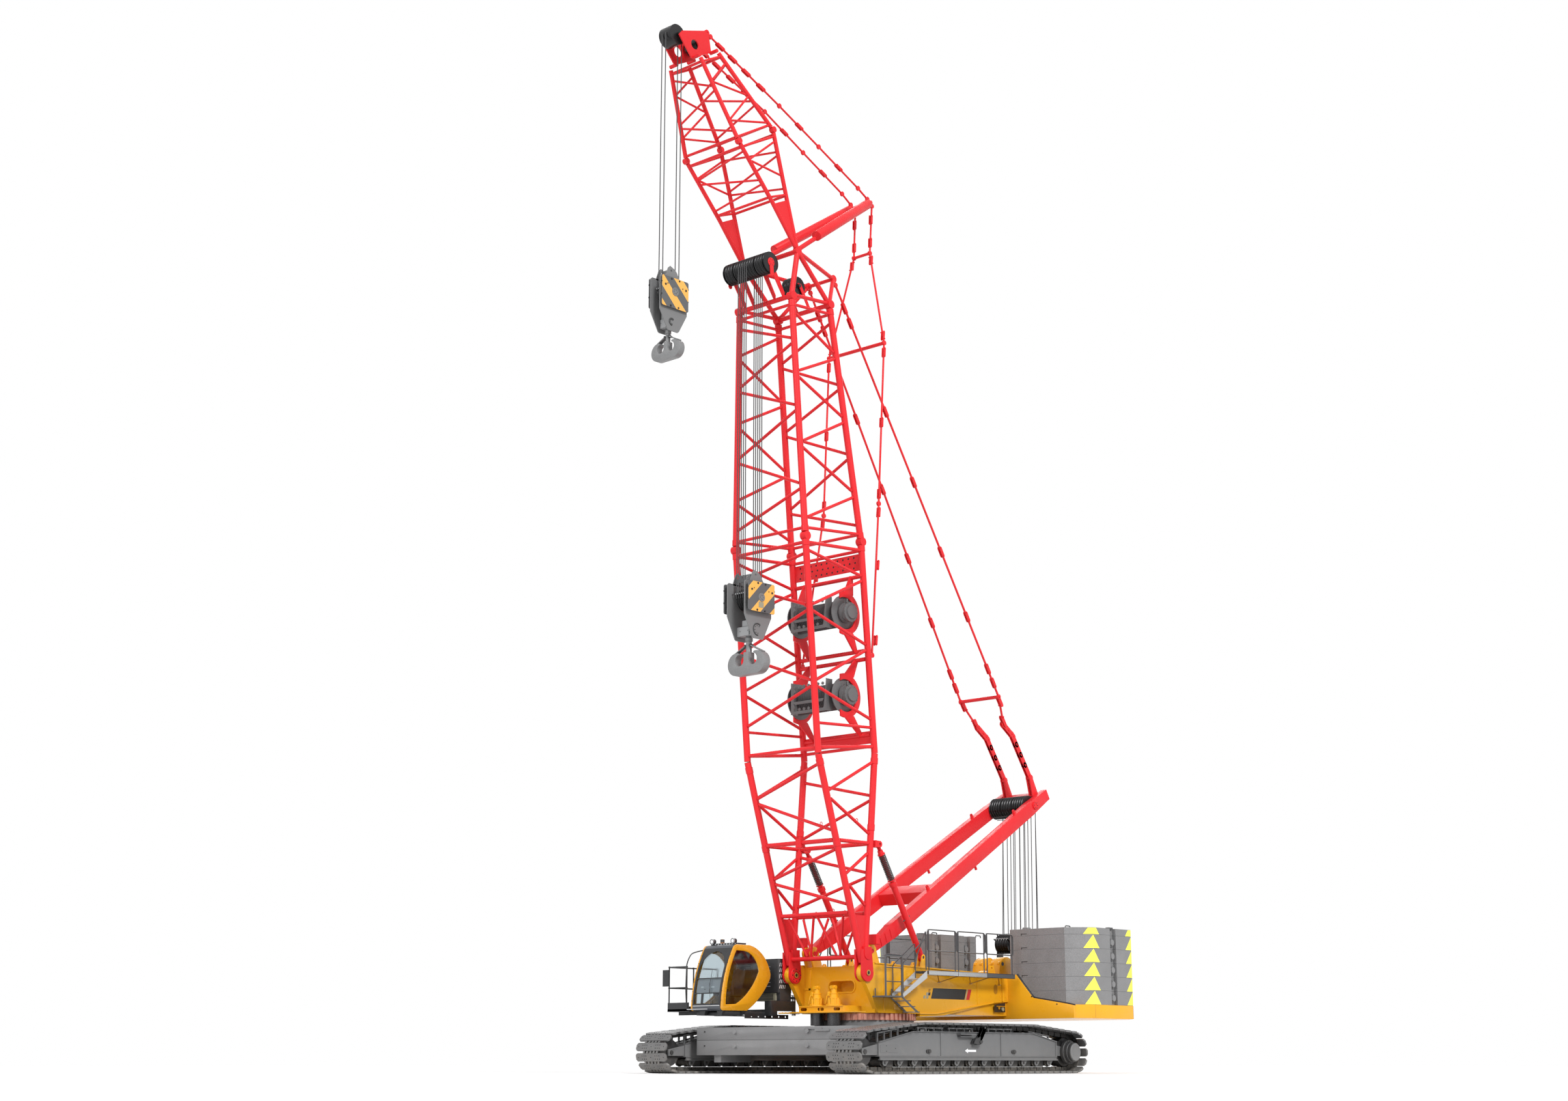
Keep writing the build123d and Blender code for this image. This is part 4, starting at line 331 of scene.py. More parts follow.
def settle(bm, name, material, body, sharp=32.0, flip=True):
    """Turns a finished bmesh into a piece that rides on a body, smooth but for its sharp edges."""
    if flip:
        bmesh.ops.recalc_face_normals(bm, faces=bm.faces)
    limit = math.radians(sharp)
    for edge in bm.edges:
        edge.smooth = edge.is_manifold and edge.calc_face_angle(0.0) < limit
    for face in bm.faces:
        face.smooth = True
    mesh = bpy.data.meshes.new(name)
    bm.to_mesh(mesh)
    bm.free()
    piece = bpy.data.objects.new(name, mesh)
    bpy.context.collection.objects.link(piece)
    for one in material if isinstance(material, (list, tuple)) else (material,):
        mesh.materials.append(one)
    if body:
        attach(piece, body)
    return piece


def merged(node):
    """A bmesh of a CAD node with its loose triangles joined and its flat faces made whole."""
    bm = bmesh.new()
    bm.from_mesh(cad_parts[node].data)
    bmesh.ops.remove_doubles(bm, verts=bm.verts, dist=0.00002)
    bmesh.ops.dissolve_limit(bm, angle_limit=math.radians(0.4), verts=bm.verts, edges=bm.edges)
    return bm


def ease_edges(bm, width, least=40.0):
    """Breaks the sharp edges of a welded or cast piece by a small round."""
    limit = math.radians(least)
    edges = [edge for edge in bm.edges if edge.is_manifold and edge.calc_face_angle(0.0) > limit]
    bmesh.ops.bevel(
        bm, geom=edges, offset=width, offset_type="OFFSET", segments=2, profile=0.5, affect="EDGES",
        material=-1, clamp_overlap=True,
    )


def redress(node, name, material, body, ease=0.0):
    """Replaces a CAD node by its joined and smoothed copy in its own finish."""
    bm = merged(node)
    if ease:
        ease_edges(bm, ease)
    piece = settle(bm, name, material, body, flip=False)
    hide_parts(node)
    return piece

# Tracks
# Each track is a closed chain of forged links with a flat cast shoe bolted on every link.
# The shoes have cut corners and rows of bolt holes; lugs and pins join one link to the next.
track_gauge = 7.126
idler_x, idler_reach = 4.420, 0.565
sprocket_x, sprocket_reach = -4.430, 0.585
track_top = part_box("track_left")[1][2]
track_top_front_x, track_top_rear_x = 2.270, -2.550
shoe_width = 1.200
shoe_pitch = 0.300
pad_length = 0.228
pad_thickness = 0.058
pad_corner = 0.055
rail_y = 0.125
shoe_steel = cast("shoe_steel", (0.150, 0.150, 0.151), 0.44, 38, 0.14, 0.45, 1.0, 0.45)
link_steel = cast("link_steel", (0.040, 0.039, 0.038), 0.55, 60, 0.3, 0.5, 0.9, 0.4)
# near-black that paints the shade inside holes: the shoes' bolt holes and the bay plate's perforations
hole_shade = cast("hole_shade", (0.010, 0.010, 0.011), 0.8, 90, 0.2)


def track_segments():
    """The outer line of a track as runs and arcs: its length, and the point and heading along it."""
    rise = math.radians(98)
    fall = math.radians(84)
    rear_end = Vector((sprocket_x + sprocket_reach * math.cos(rise), sprocket_reach * (1 + math.sin(rise))))
    front_end = Vector((idler_x + idler_reach * math.cos(fall), idler_reach * (1 + math.sin(fall))))
    corners = (
        (Vector((idler_x, 0)), Vector((sprocket_x, 0))),
        (Vector((sprocket_x, sprocket_reach)), sprocket_reach, math.radians(270), math.radians(-172)),
        (rear_end, Vector((track_top_rear_x, track_top))),
        (Vector((track_top_rear_x, track_top)), Vector((track_top_front_x, track_top))),
        (Vector((track_top_front_x, track_top)), front_end),
        (Vector((idler_x, idler_reach)), idler_reach, fall, math.radians(-174)),
    )
    pieces = []
    for corner in corners:
        if len(corner) == 2:
            start, end = corner
            heading = (end - start).normalized()
            pieces.append(((end - start).length, lambda run, s=start, h=heading: (s + h * run, h)))
        else:
            centre, reach, begin, turn = corner

            def on_arc(run, c=centre, r=reach, b=begin, t=turn):
                angle = b + math.copysign(run / r, t)
                outwards = Vector((math.cos(angle), math.sin(angle)))
                return c + outwards * r, Vector((outwards.y, -outwards.x))

            pieces.append((abs(turn) * reach, on_arc))
    return pieces


track_line = track_segments()
track_length = sum(length for length, _ in track_line)
shoe_count = round(track_length / shoe_pitch)


def on_track(share):
    """Point and heading on the track's outer line at a share of its length."""
    run = (share % 1.0) * track_length
    for length, place in track_line:
        if run <= length:
            return place(run)
        run -= length
    return track_line[-1][1](track_line[-1][0])


def tint(verts, index):
    """Gives the faces of some vertices one of the piece's materials."""
    for face in {face for vert in verts for face in vert.link_faces}:
        face.material_index = index
    return verts


def box(bm, low, high, ease=0.0, index=0):
    """A rectangular block between any two opposite corners, its edges broken by a small round."""
    low, high = (Vector([pick(pair) for pair in zip(low, high)]) for pick in (min, max))
    made = bmesh.ops.create_cube(bm, size=1.0)["verts"]
    bmesh.ops.scale(bm, verts=made, vec=high - low)
    bmesh.ops.translate(bm, verts=made, vec=(low + high) / 2)
    if ease:
        edges = list({edge for vert in made for edge in vert.link_edges})
        made = bmesh.ops.bevel(
            bm, geom=edges, offset=ease, segments=1, profile=0.5, affect="EDGES", material=-1,
        )["verts"]
    return tint(made, index)


def bar(bm, start, end, radius, sides=12, end_radius=None, index=0):
    """A round bar or a tapered one between two points, closed at both ends."""
    start, end = Vector(start), Vector(end)
    run = end - start
    turn = run.to_track_quat("Z", "Y").to_matrix().to_4x4()
    made = bmesh.ops.create_cone(
        bm, cap_ends=True, segments=sides, radius1=radius,
        radius2=radius if end_radius is None else end_radius,
        depth=run.length, matrix=Matrix.Translation((start + end) / 2) @ turn,
    )["verts"]
    return tint(made, index)


def in_plane(across, at, a, b):
    """A point at a distance along an axis, with two coordinates in the plane across it."""
    spot = [a, b]
    spot.insert("XYZ".index(across), at)
    return Vector(spot)


def cross_pin(bm, spot, half, radius, sides=12, index=0, across="Y"):
    """A round pin through a spot, reaching as far to both sides of it along an axis."""
    reach = in_plane(across, half, 0, 0)
    return bar(bm, Vector(spot) - reach, Vector(spot) + reach, radius, sides, index=index)


def plate(bm, outline, at, thickness, across="Y", index=0):
    """A flat plate cut to an outline and centred at a distance along the axis across it."""
    normal = in_plane(across, 1, 0, 0)
    corners = [bm.verts.new(in_plane(across, at, a, b)) for a, b in outline]
    bmesh.ops.translate(bm, verts=corners, vec=-normal * thickness / 2)
    lifted = bmesh.ops.extrude_face_region(bm, geom=[bm.faces.new(corners)])["geom"]
    lifted = [part for part in lifted if isinstance(part, bmesh.types.BMVert)]
    bmesh.ops.translate(bm, verts=lifted, vec=normal * thickness)
    return tint(corners + lifted, index)


def turned(bm, centre, along, profile, steps=32, index=0):
    """A body turned about an axis: profile is (distance along the axis, radius) from end to end."""
    along = Vector(along).normalized()
    aside = along.orthogonal().normalized()
    centre = Vector(centre)
    rim = [bm.verts.new(centre + along * run + aside * radius) for run, radius in profile]
    edges = [bm.edges.new(pair) for pair in zip(rim, rim[1:])]
    bmesh.ops.spin(
        bm, geom=rim + edges, cent=centre, axis=along, dvec=(0, 0, 0), angle=2 * pi, steps=steps,
        use_merge=True,
    )
    made = set(rim)
    fresh = list(rim)
    while fresh:
        reached = {edge.other_vert(vert) for vert in fresh for edge in vert.link_edges} - made
        made |= reached
        fresh = list(reached)
    tint(made, index)
    bmesh.ops.remove_doubles(bm, verts=list(made), dist=0.00001)


def one_shoe():
    """A shoe with its link, laid along X at the origin, its sole at Z = 0."""
    bm = bmesh.new()
    half, reach = pad_length / 2, shoe_width / 2 - 0.002
    outline = (
        (-half, -reach + pad_corner), (-half + pad_corner, -reach), (half - pad_corner, -reach),
        (half, -reach + pad_corner), (half, reach - pad_corner), (half - pad_corner, reach),
        (-half + pad_corner, reach), (-half, reach - pad_corner),
    )
    plate(bm, outline, pad_thickness / 2, pad_thickness, "Z")
    bmesh.ops.bevel(bm, geom=bm.edges[:], offset=0.007, segments=1, profile=0.5, affect="EDGES", material=-1)
    for y in (-rail_y, rail_y):
        plate(bm, ((-0.140, 0.070), (-0.118, 0.175), (0.118, 0.175), (0.140, 0.070)), y, 0.085, index=1)
    cross_pin(bm, (0.148, 0, 0.060), 0.30, 0.024, 8, 1)
    plate(bm, ((-0.130, -0.34), (0.130, -0.34), (0.130, 0.34), (-0.130, 0.34)), 0.0615, 0.020, "Z", 1)
    for y in (-0.26, -0.13, 0.0, 0.13, 0.26):
        plate(bm, ((0.110, 0.016), (0.190, 0.016), (0.190, 0.078), (0.110, 0.078)), y, 0.062)
    # black discs paint the shade in the shoes' bolt holes
    holes = [(0.0, 0.0), (0.0, 0.50), (0.0, -0.50)]
    holes += [(x, side * y) for side in (-1, 1) for x in (-0.045, 0.045) for y in (0.18, 0.26, 0.34)]
    for x, y in holes:
        bar(bm, (x, y, -0.0012), (x, y, 0.004), 0.016, 6, index=2)
    return bm


def lay_track(side):
    """All shoes of one track on its line, joined as one mesh."""
    pattern = one_shoe()
    shoe_mesh = bpy.data.meshes.new("one_shoe")
    pattern.to_mesh(shoe_mesh)
    pattern.free()
    bm = bmesh.new()
    for index in range(shoe_count):
        spot, heading = on_track((index + 0.5) / shoe_count)
        before = len(bm.verts)
        bm.from_mesh(shoe_mesh)
        bm.verts.ensure_lookup_table()
        inwards = Vector((heading.y, 0, -heading.x))
        place = Matrix((Vector((heading.x, 0, heading.y)), Vector((0, 1, 0)), inwards)).transposed().to_4x4()
        place.translation = Vector((spot.x, side * track_gauge / 2, spot.y)) + inwards * 0.0022
        laid = bm.verts[before:]
        bmesh.ops.transform(bm, matrix=place, verts=laid)
        lowest = min(vert.co.z for vert in laid)
        if lowest < 0:
            bmesh.ops.translate(bm, vec=(0, 0, -lowest), verts=laid)
    bpy.data.meshes.remove(shoe_mesh)
    return bm


for side, name in ((1, "track_left"), (-1, "track_right")):
    shoes = settle(
        lay_track(side), name + "_shoes", (shoe_steel, link_steel, hole_shade), "undercarriage",
    )
    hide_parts(name)

# Track frames, wheels and rollers
# Welded box beams carry the rollers, the idler and the final drive of each track.
# Flat bars cover the weld seams; pedestals hold the rollers, ladder guards keep the chain in line.
beam_half = 0.310
beam_bottom = 0.462
beam_line = ((3.93, 0.80), (2.55, 1.085), (-2.75, 1.085), (-3.88, 0.86))
roller_xs = [-3.55 + 0.6 * step for step in range(13)]
chassis_grey = painted("chassis_grey", (0.145, 0.147, 0.150), 0.50, 0.05, 0.20, 1.2)
chassis_dark = painted("chassis_dark", (0.035, 0.035, 0.036), 0.50, 0.08, 0.20, 1.0)
sign_white = painted("sign_white", (0.86, 0.87, 0.88), 0.40, 0.02)
redress("track_frames", "track_beams", chassis_grey, "undercarriage", 0.006)
redress("track_rollers", "track_rollers_turned", link_steel, "undercarriage")
redress("track_wheels", "track_wheels_turned", chassis_dark, "undercarriage")


def beam_top(x):
    """Height of a track beam's upper face."""
    for (front, high), (rear, low) in zip(beam_line, beam_line[1:]):
        if rear <= x <= front:
            return low + (high - low) * (x - rear) / (front - rear)
    return beam_line[-1][1]


def stud(bm, spot, reach, radius, sides=12, index=0, across="Y"):
    """A round head or boss that stands out of a spot along an axis."""
    return bar(bm, spot, Vector(spot) + in_plane(across, reach, 0, 0), radius, sides, index=index)


def bolt_circle(bm, centre, radius, count, reach, size, sides=6, index=0, across="Y", start=0.0):
    """Round heads evenly about a centre, standing out along the axis across their circle."""
    for step in range(count):
        angle = start + 2 * pi * step / count
        spot = Vector(centre) + in_plane(across, 0, radius * math.cos(angle), radius * math.sin(angle))
        stud(bm, spot, reach, size, sides, index, across)


def round_points(a, b, radius, angles):
    """Points on a circle about (a, b) at the angles given."""
    return [(a + radius * math.cos(angle), b + radius * math.sin(angle)) for angle in angles]


def beam_trim(side):
    """Everything welded or bolted on one track beam."""
    bm = bmesh.new()
    middle = side * track_gauge / 2
    for way in (-1, 1):
        face = middle + way * beam_half
        for x in (1.36, -1.285, -3.85):
            top = beam_top(x) - 0.01
            low, high = face, face + way * 0.020
            box(bm, (x - 0.020, low, beam_bottom), (x + 0.020, high, top), 0.004)
        # flanges along the lower and the upper edge
        low, high = face - way * 0.05, face + way * 0.030
        box(bm, (-3.90, low, 0.350), (3.90, high, 0.384), 0.006)
        box(bm, (-3.88, face, 0.384), (3.88, face - way * 0.03, 0.470))
        for (front, high_z), (rear, low_z) in zip(beam_line, beam_line[1:]):
            outline = ((front, high_z), (rear, low_z), (rear, low_z + 0.020), (front, high_z + 0.020))
            plate(bm, outline, face, 0.060)
        # roller pedestals with their bolt pads
        for x in roller_xs:
            outline = [(x - 0.20, 0.384), (x + 0.08, 0.384)]
            outline += round_points(x, 0.285, 0.085, (0.3, 0.0, -0.5, -1.0, -1.57, -2.1, -2.6))
            plate(bm, outline, face - way * 0.045, 0.030)
            box(bm, (x - 0.03, face - way * 0.045, 0.262), (x + 0.03, face - way * 0.005, 0.322), 0.004, 1)
        # round jacking pads
        if way == side:
            for x in (1.88, -1.86):
                stud(bm, (x, face, 0.585), way * 0.055, 0.052, 20, index=1)
                stud(bm, (x + 0.07, face, 0.585), way * 0.035, 0.045, 20, index=1)
            box(bm, (3.16, face, 0.545), (3.86, face + way * 0.005, 0.745), 0.0)
            for x, z in ((3.62, 0.72), (3.62, 0.58), (3.25, 0.65)):
                stud(bm, (x, face, z), way * 0.009, 0.013, 8, index=1)
            # arrow that shows which way is forward
            arrow = (
                (0.325, 0.604), (0.200, 0.664), (0.200, 0.632), (-0.160, 0.632),
                (-0.160, 0.576), (0.200, 0.576), (0.200, 0.544),
            )
            plate(bm, arrow, face + way * 0.002, 0.003, index=2)
            # step plates and the travel lock with its swinging arm
            box(bm, (0.02, face, 1.03), (0.68, face + way * 0.16, 1.055), 0.004)
            box(bm, (0.08, face, 0.965), (0.62, face + way * 0.10, 0.985), 0.004)
            for offset in (0.03, 0.13):
                lock = (
                    (0.10, 0.80), (-0.16, 0.76), (-0.30, 0.84), (-0.20, 1.02), (-0.33, 1.19),
                    (-0.36, 1.26), (-0.43, 1.28), (-0.47, 1.23), (-0.42, 1.10), (-0.14, 0.96), (0.02, 0.92),
                )
                plate(bm, lock, face + way * offset, 0.026, index=1)
            stud(bm, (-0.40, face, 1.225), way * 0.15, 0.035, 16, index=1)
            stud(bm, (-0.20, face, 0.835), way * 0.16, 0.05, 16, index=1)
        # ladder guards beside the upper chain
        for front, rear in ((3.95, 3.05), (2.30, 1.20), (0.98, -0.10), (-0.75, -1.86), (-2.62, -3.60)):
            y = middle + way * 0.245
            tops = [min(beam_top(x) + 0.125, 1.215) for x in (front, rear)]
            if front > 3:
                tops = [1.055, 1.182]
            if rear < -3:
                tops = [1.165, 1.035]
            rail = ((front, tops[0]), (rear, tops[1]), (rear, tops[1] - 0.035), (front, tops[0] - 0.035))
            plate(bm, rail, y, 0.050)
            for step in range(4):
                x = front + (rear - front) * (0.04 + 0.92 * step / 3)
                top = tops[0] + (tops[1] - tops[0]) * (0.04 + 0.92 * step / 3)
                box(
                    bm, (x - 0.022, y - 0.02, min(beam_top(x), top - 0.10)),
                    (x + 0.022, y + 0.02, top - 0.02),
                )
    # guide plates between the rollers
    for x in roller_xs[:-1]:
        outline = ((x + 0.10, 0.47), (x + 0.17, 0.182), (x + 0.43, 0.182), (x + 0.50, 0.47))
        for y in (middle - 0.17, middle + 0.17):
            plate(bm, outline, y, 0.020, index=1)
    return bm


for side, name in ((1, "left_beam_trim"), (-1, "right_beam_trim")):
    settle(
        beam_trim(side), name, (chassis_grey, chassis_dark, sign_white), "undercarriage",
    )

bm = bmesh.new()
for side in (-1, 1):
    hub = (sprocket_x, side * track_gauge / 2, sprocket_reach)
    turned(bm, hub, (0, side, 0), (
        (0.28, 0.0), (0.28, 0.34), (0.37, 0.34), (0.385, 0.325), (0.385, 0.285), (0.46, 0.285),
        (0.475, 0.270), (0.475, 0.245), (0.575, 0.245), (0.587, 0.232), (0.587, 0.20), (0.582, 0.19),
        (0.582, 0.0),
    ), 40)
    bolt_circle(bm, Vector(hub) + Vector((0, side * 0.38, 0)), 0.306, 20, side * 0.022, 0.013)
for face in bm.faces:
    face.material_index = 0 if min(abs(vert.co.y) for vert in face.verts) - track_gauge / 2 > 0.47 else 1
settle(bm, "final_drive_hubs", (chassis_grey, chassis_dark), "undercarriage")

# Carbody and its ballast
# The carbody is a welded box with two cross beams; flat cast weights hang on its front and rear.
# Round lifting pegs stand out of the weights, small bolts close their ends.
redress("carbody", "carbody_box", chassis_grey, "undercarriage", 0.008)
ballast_grey = cast("ballast_grey", (0.200, 0.200, 0.203), 0.60, 60, 0.14, 0.15, 1.2)
redress("carbody_ballast", "carbody_ballast_cast", ballast_grey, "undercarriage", 0.008)
ballast_front = 3.850
ballast_seam = 0.900
bm = bmesh.new()
for way in (-1, 1):
    face = way * ballast_front
    for y in (-2.56, 2.56):
        for z in (1.131, 0.747):
            stud(bm, (face, y, z), way * 0.014, 0.024, 16, index=1, across="X")
    # dark joint between the two weights of a stack
    low, high = face, face + way * 0.0015
    box(bm, (low, -2.86, ballast_seam - 0.004), (high, 2.86, ballast_seam + 0.004), 0, 1)
    # stop bracket at the upper edge
    low, high = face, face + way * 0.060
    box(bm, (low, 1.24, 1.165), (high, 1.86, 1.200), 0.005)
    box(bm, (low, 1.62, 1.110), (high, 2.12, 1.165), 0.005)
    # turned heads of the lifting pegs
    for y in (-1.35, 1.35):
        for z in (0.740, 1.115):
            turned(bm, (face, y, z), (way, 0, 0), (
                (0.0, 0.082), (0.008, 0.082), (0.014, 0.072), (0.014, 0.060), (0.085, 0.060),
                (0.092, 0.053), (0.092, 0.0),
            ), 24)
settle(bm, "ballast_fittings", (ballast_grey, chassis_dark), "undercarriage")

# Slewing ring
# The outer race of a roller bearing with cut teeth, coated in copper-coloured grease paint.
# A ring of bolt heads holds it on the carbody.
ring_copper = cast("ring_copper", (0.64, 0.285, 0.205), 0.38, 80, 0.10, metallic=0.35)
redress("slew_ring", "slew_ring_cut", ring_copper, "undercarriage")
ring_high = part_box("slew_ring")[1][2]
bm = bmesh.new()
bolt_circle(bm, (0, 0, ring_high - 0.010), 1.37, 72, 0.024, 0.016, across="Z")
settle(bm, "slew_ring_bolts", ring_copper, "undercarriage")

# Main frame
# A deep welded box of yellow painted plate with ears for the boom, the mast and the backstops.
# Flange bars, cover plates and a blank name plate are welded or stuck on its sides.
yellow_coat = painted("yellow_coat", (0.80, 0.385, 0.013), 0.30, 0.05, 0.06, 2.4, gloss=0.3, glint=0.25)
# yellow_shade is a darker copy of yellow_coat that paints shade: on the braces under the decks and in the
# frame's recess; one small square by the name plate and the apron's corner seams are in it too
yellow_shade = painted("yellow_shade", (0.42, 0.19, 0.012), 0.42, 0.06, 0.06, 2.4)
black_paint = painted("black_paint", (0.016, 0.016, 0.017), 0.34, 0.04)
stripe_red = painted("stripe_red", (0.50, 0.020, 0.022), 0.36, 0.04)
badge_grey = painted("badge_grey", (0.30, 0.28, 0.20), 0.38, 0.04)
redress("main_frame", "main_frame_welded", yellow_coat, "superstructure", 0.008)
frame_side_y = 1.428
frame_front_x = 1.120
boom_foot_x, foot_y, boom_foot_z = 1.562, 1.353, 2.712


def rounded(centre_a, centre_b, width, height, radius, steps=5):
    """Corner points of a rounded rectangle, counter-clockwise."""
    points = []
    for quarter, (way_a, way_b) in enumerate(((1, 1), (-1, 1), (-1, -1), (1, -1))):
        for step in range(steps + 1):
            angle = (quarter + step / steps) * pi / 2
            points.append((
                centre_a + way_a * (width / 2 - radius) + radius * math.cos(angle),
                centre_b + way_b * (height / 2 - radius) + radius * math.sin(angle),
            ))
    return points


def holed_plate(bm, outline, holes, at, thickness, across="Y", index=0):
    """A flat plate with holes cut through it: the outline and each hole is a loop of points."""
    edges = []
    for loop in (outline, *holes):
        corners = [bm.verts.new(in_plane(across, at, a, b)) for a, b in loop]
        edges += [bm.edges.new((corners[step - 1], corners[step])) for step in range(len(corners))]
    faces = [part for part in bmesh.ops.triangle_fill(bm, edges=edges, use_beauty=True)["geom"]
             if isinstance(part, bmesh.types.BMFace)]
    made = bmesh.ops.extrude_face_region(bm, geom=faces)["geom"]
    lifted = [part for part in made if isinstance(part, bmesh.types.BMVert)]
    bmesh.ops.translate(bm, verts=lifted, vec=in_plane(across, thickness, 0, 0))
    return tint(lifted + [vert for face in faces if face.is_valid for vert in face.verts], index)


def pipe(bm, points, radius, bend=0.0, sides=8, closed=False, index=0):
    """A round tube along a line of points, bent in even curves at the corners."""
    points = [Vector(point) for point in points]
    path = points
    if bend:
        path = []
        for number, point in enumerate(points):
            if not closed and number in (0, len(points) - 1):
                path.append(point)
                continue
            before, after = points[number - 1], points[(number + 1) % len(points)]
            start = point + (before - point).normalized() * bend
            end = point + (after - point).normalized() * bend
            for step in range(5):
                share = step / 4
                path.append(start * (1 - share) ** 2 + point * 2 * share * (1 - share) + end * share ** 2)
    rings = []
    aside = None
    for number, spot in enumerate(path):
        before = path[number - 1] if number or closed else spot
        after = path[(number + 1) % len(path)] if number < len(path) - 1 or closed else spot
        along = (after - before).normalized()
        aside = along.orthogonal() if aside is None else aside - along * aside.dot(along)
        aside.normalize()
        third = along.cross(aside)
        ring = []
        for step in range(sides):
            angle = 2 * pi * step / sides
            ring.append(bm.verts.new(spot + (aside * math.cos(angle) + third * math.sin(angle)) * radius))
        rings.append(ring)
    pairs = list(zip(rings, rings[1:])) + ([(rings[-1], rings[0])] if closed else [])
    for low, high in pairs:
        for step in range(sides):
            bm.faces.new((low[step - 1], low[step], high[step], high[step - 1]))
    if not closed:
        bm.faces.new(rings[0][::-1])
        bm.faces.new(rings[-1])
    return tint([vert for ring in rings for vert in ring], index)


def strip(bm, start, end, width, y, thickness, index=0):
    """A straight flat bar in a plane across Y, from one (x, z) point to another."""
    start, end = Vector(start), Vector(end)
    aside = (end - start).normalized()
    aside = Vector((-aside.y, aside.x)) * width / 2
    return plate(bm, (start - aside, end - aside, end + aside, start + aside), y, thickness, index=index)


bm = bmesh.new()
for side in (-1, 1):
    face = side * frame_side_y
    # flanges: upper edge, rising lower edge and the upright bars
    strip(bm, (1.20, 2.992), (-4.88, 2.812), 0.028, side * foot_y, 0.215)
    for start, end, width, thickness in (
        ((-1.50, 1.653), (-4.16, 2.010), 0.030, 0.050), ((-1.50, 1.653), (-0.75, 1.640), 0.030, 0.050),
        ((0.82, 1.68), (0.82, 2.98), 0.022, 0.030), ((-3.412, 1.95), (-3.412, 2.80), 0.022, 0.024),
        ((-4.616, 2.06), (-4.616, 2.80), 0.060, 0.060),
    ):
        strip(bm, start, end, width, face, thickness)
    # doubler rings round the boom's foot pins
    turned(bm, (boom_foot_x, side * foot_y, boom_foot_z), (0, side, 0), (
        (0.074, 0.165), (0.086, 0.160), (0.086, 0.095), (0.074, 0.092),
    ), 32)
    # inspection cover, round port, and a recess behind the upright bar: a black plate and a darker yellow
    # oval, boss and bar paint its shade
    plate(bm, rounded(0.147, 1.815, 0.50, 0.150, 0.03), face, 0.012)
    plate(bm, rounded(-4.294, 2.403, 0.17, 0.28, 0.083, 6), face, 0.010, index=1)
    plate(
        bm, ((-4.22, 1.955), (-4.22, 1.74), (-4.74, 1.74), (-4.74, 2.02)), face - side * 0.001, 0.008,
        index=2,
    )
    bar(bm, (-4.60, face - side * 0.02, 1.83), (-4.60, face + side * 0.035, 1.83), 0.055, 16, index=5)
    bar(bm, (-4.42, face - side * 0.02, 1.86), (-4.42, face + side * 0.030, 1.86), 0.040, 16, index=1)
    box(bm, (-4.70, face, 1.90), (-4.30, face + side * 0.03, 1.925), 0, 1)
    # blank name plate with its slanted end stripes, and the small squares before it
    label_y = face + side * 0.002
    label_low, label_high, label_slant = 2.070, 2.367, 0.110
    for front, rear, tone in ((-1.373, -2.910, 2), (-2.930, -2.972, 5), (-2.990, -3.140, 3)):
        band = (
            (front, label_high), (front + label_slant, label_low), (rear + label_slant, label_low),
            (rear, label_high),
        )
        plate(bm, band, label_y, 0.003, index=tone)
    for x, z, tone in (
        (-1.20, 2.30, 1), (-1.10, 2.20, 5), (-1.19, 2.20, 2), (-0.97, 2.11, 5), (-1.10, 2.11, 5),
    ):
        square = (
            (x + 0.055, z - 0.042), (x - 0.035, z - 0.042), (x - 0.060, z + 0.042),
            (x + 0.030, z + 0.042),
        )
        plate(bm, square, label_y, 0.003, index=tone)
    # small lifting eyes on the upper edge
    for x in (0.25, -0.62):
        outline = ((x - 0.13, 2.955), (x + 0.13, 2.955), (x + 0.05, 3.07), (x - 0.05, 3.07))
        hole = round_points(x, 3.02, 0.026, (0.0, 0.8, 1.6, 2.4, 3.1, 3.9, 4.7, 5.5))
        holed_plate(bm, outline, [hole], side * 1.30, 0.030)
# raised rim of the front window and stiffening plates on the front
window = (0.150, 2.380, 0.950, 0.300)
rim_out = rounded(window[0], window[1], window[2] + 0.09, window[3] + 0.09, 0.18)
rim_in = rounded(window[0], window[1], window[2] + 0.005, window[3] + 0.005, 0.14)
holed_plate(bm, rim_out, [rim_in], frame_front_x - 0.002, 0.022, "X")
box(bm, (1.10, -1.10, 2.30), (1.145, -1.03, 2.86), 0.006)
box(bm, (1.10, -1.27, 2.30), (1.145, -1.03, 2.36), 0.006)
# console of the slewing drives: a shelf on a holed skirt
box(bm, (1.10, -0.80, 1.812), (1.905, 0.86, 1.836), 0.005)
for y in (-0.80, -0.02, 0.84):
    box(bm, (1.10, y, 1.670), (1.88, y + 0.022, 1.815), 0.004)
holes = [rounded(y, 1.742, 0.24, 0.085, 0.042) for y in (-0.62, 0.02, 0.62)]
holed_plate(bm, ((-0.80, 1.672), (0.86, 1.672), (0.86, 1.814), (-0.80, 1.814)), holes, 1.860, 0.016, "X")
box(bm, (1.62, -1.46, 1.640), (2.02, 1.46, 1.668), 0.004)
for y in [-1.36 + 0.136 * step for step in range(21)]:
    bar(bm, (1.96, y, 1.662), (1.96, y, 1.680), 0.014, 6)
bar(bm, (0.90, -1.10, 1.75), (1.136, -1.10, 1.75), 0.075, 24, index=2)
settle(bm, "main_frame_trim", (yellow_coat, yellow_shade, black_paint, stripe_red, hole_shade, badge_grey),
       "superstructure")

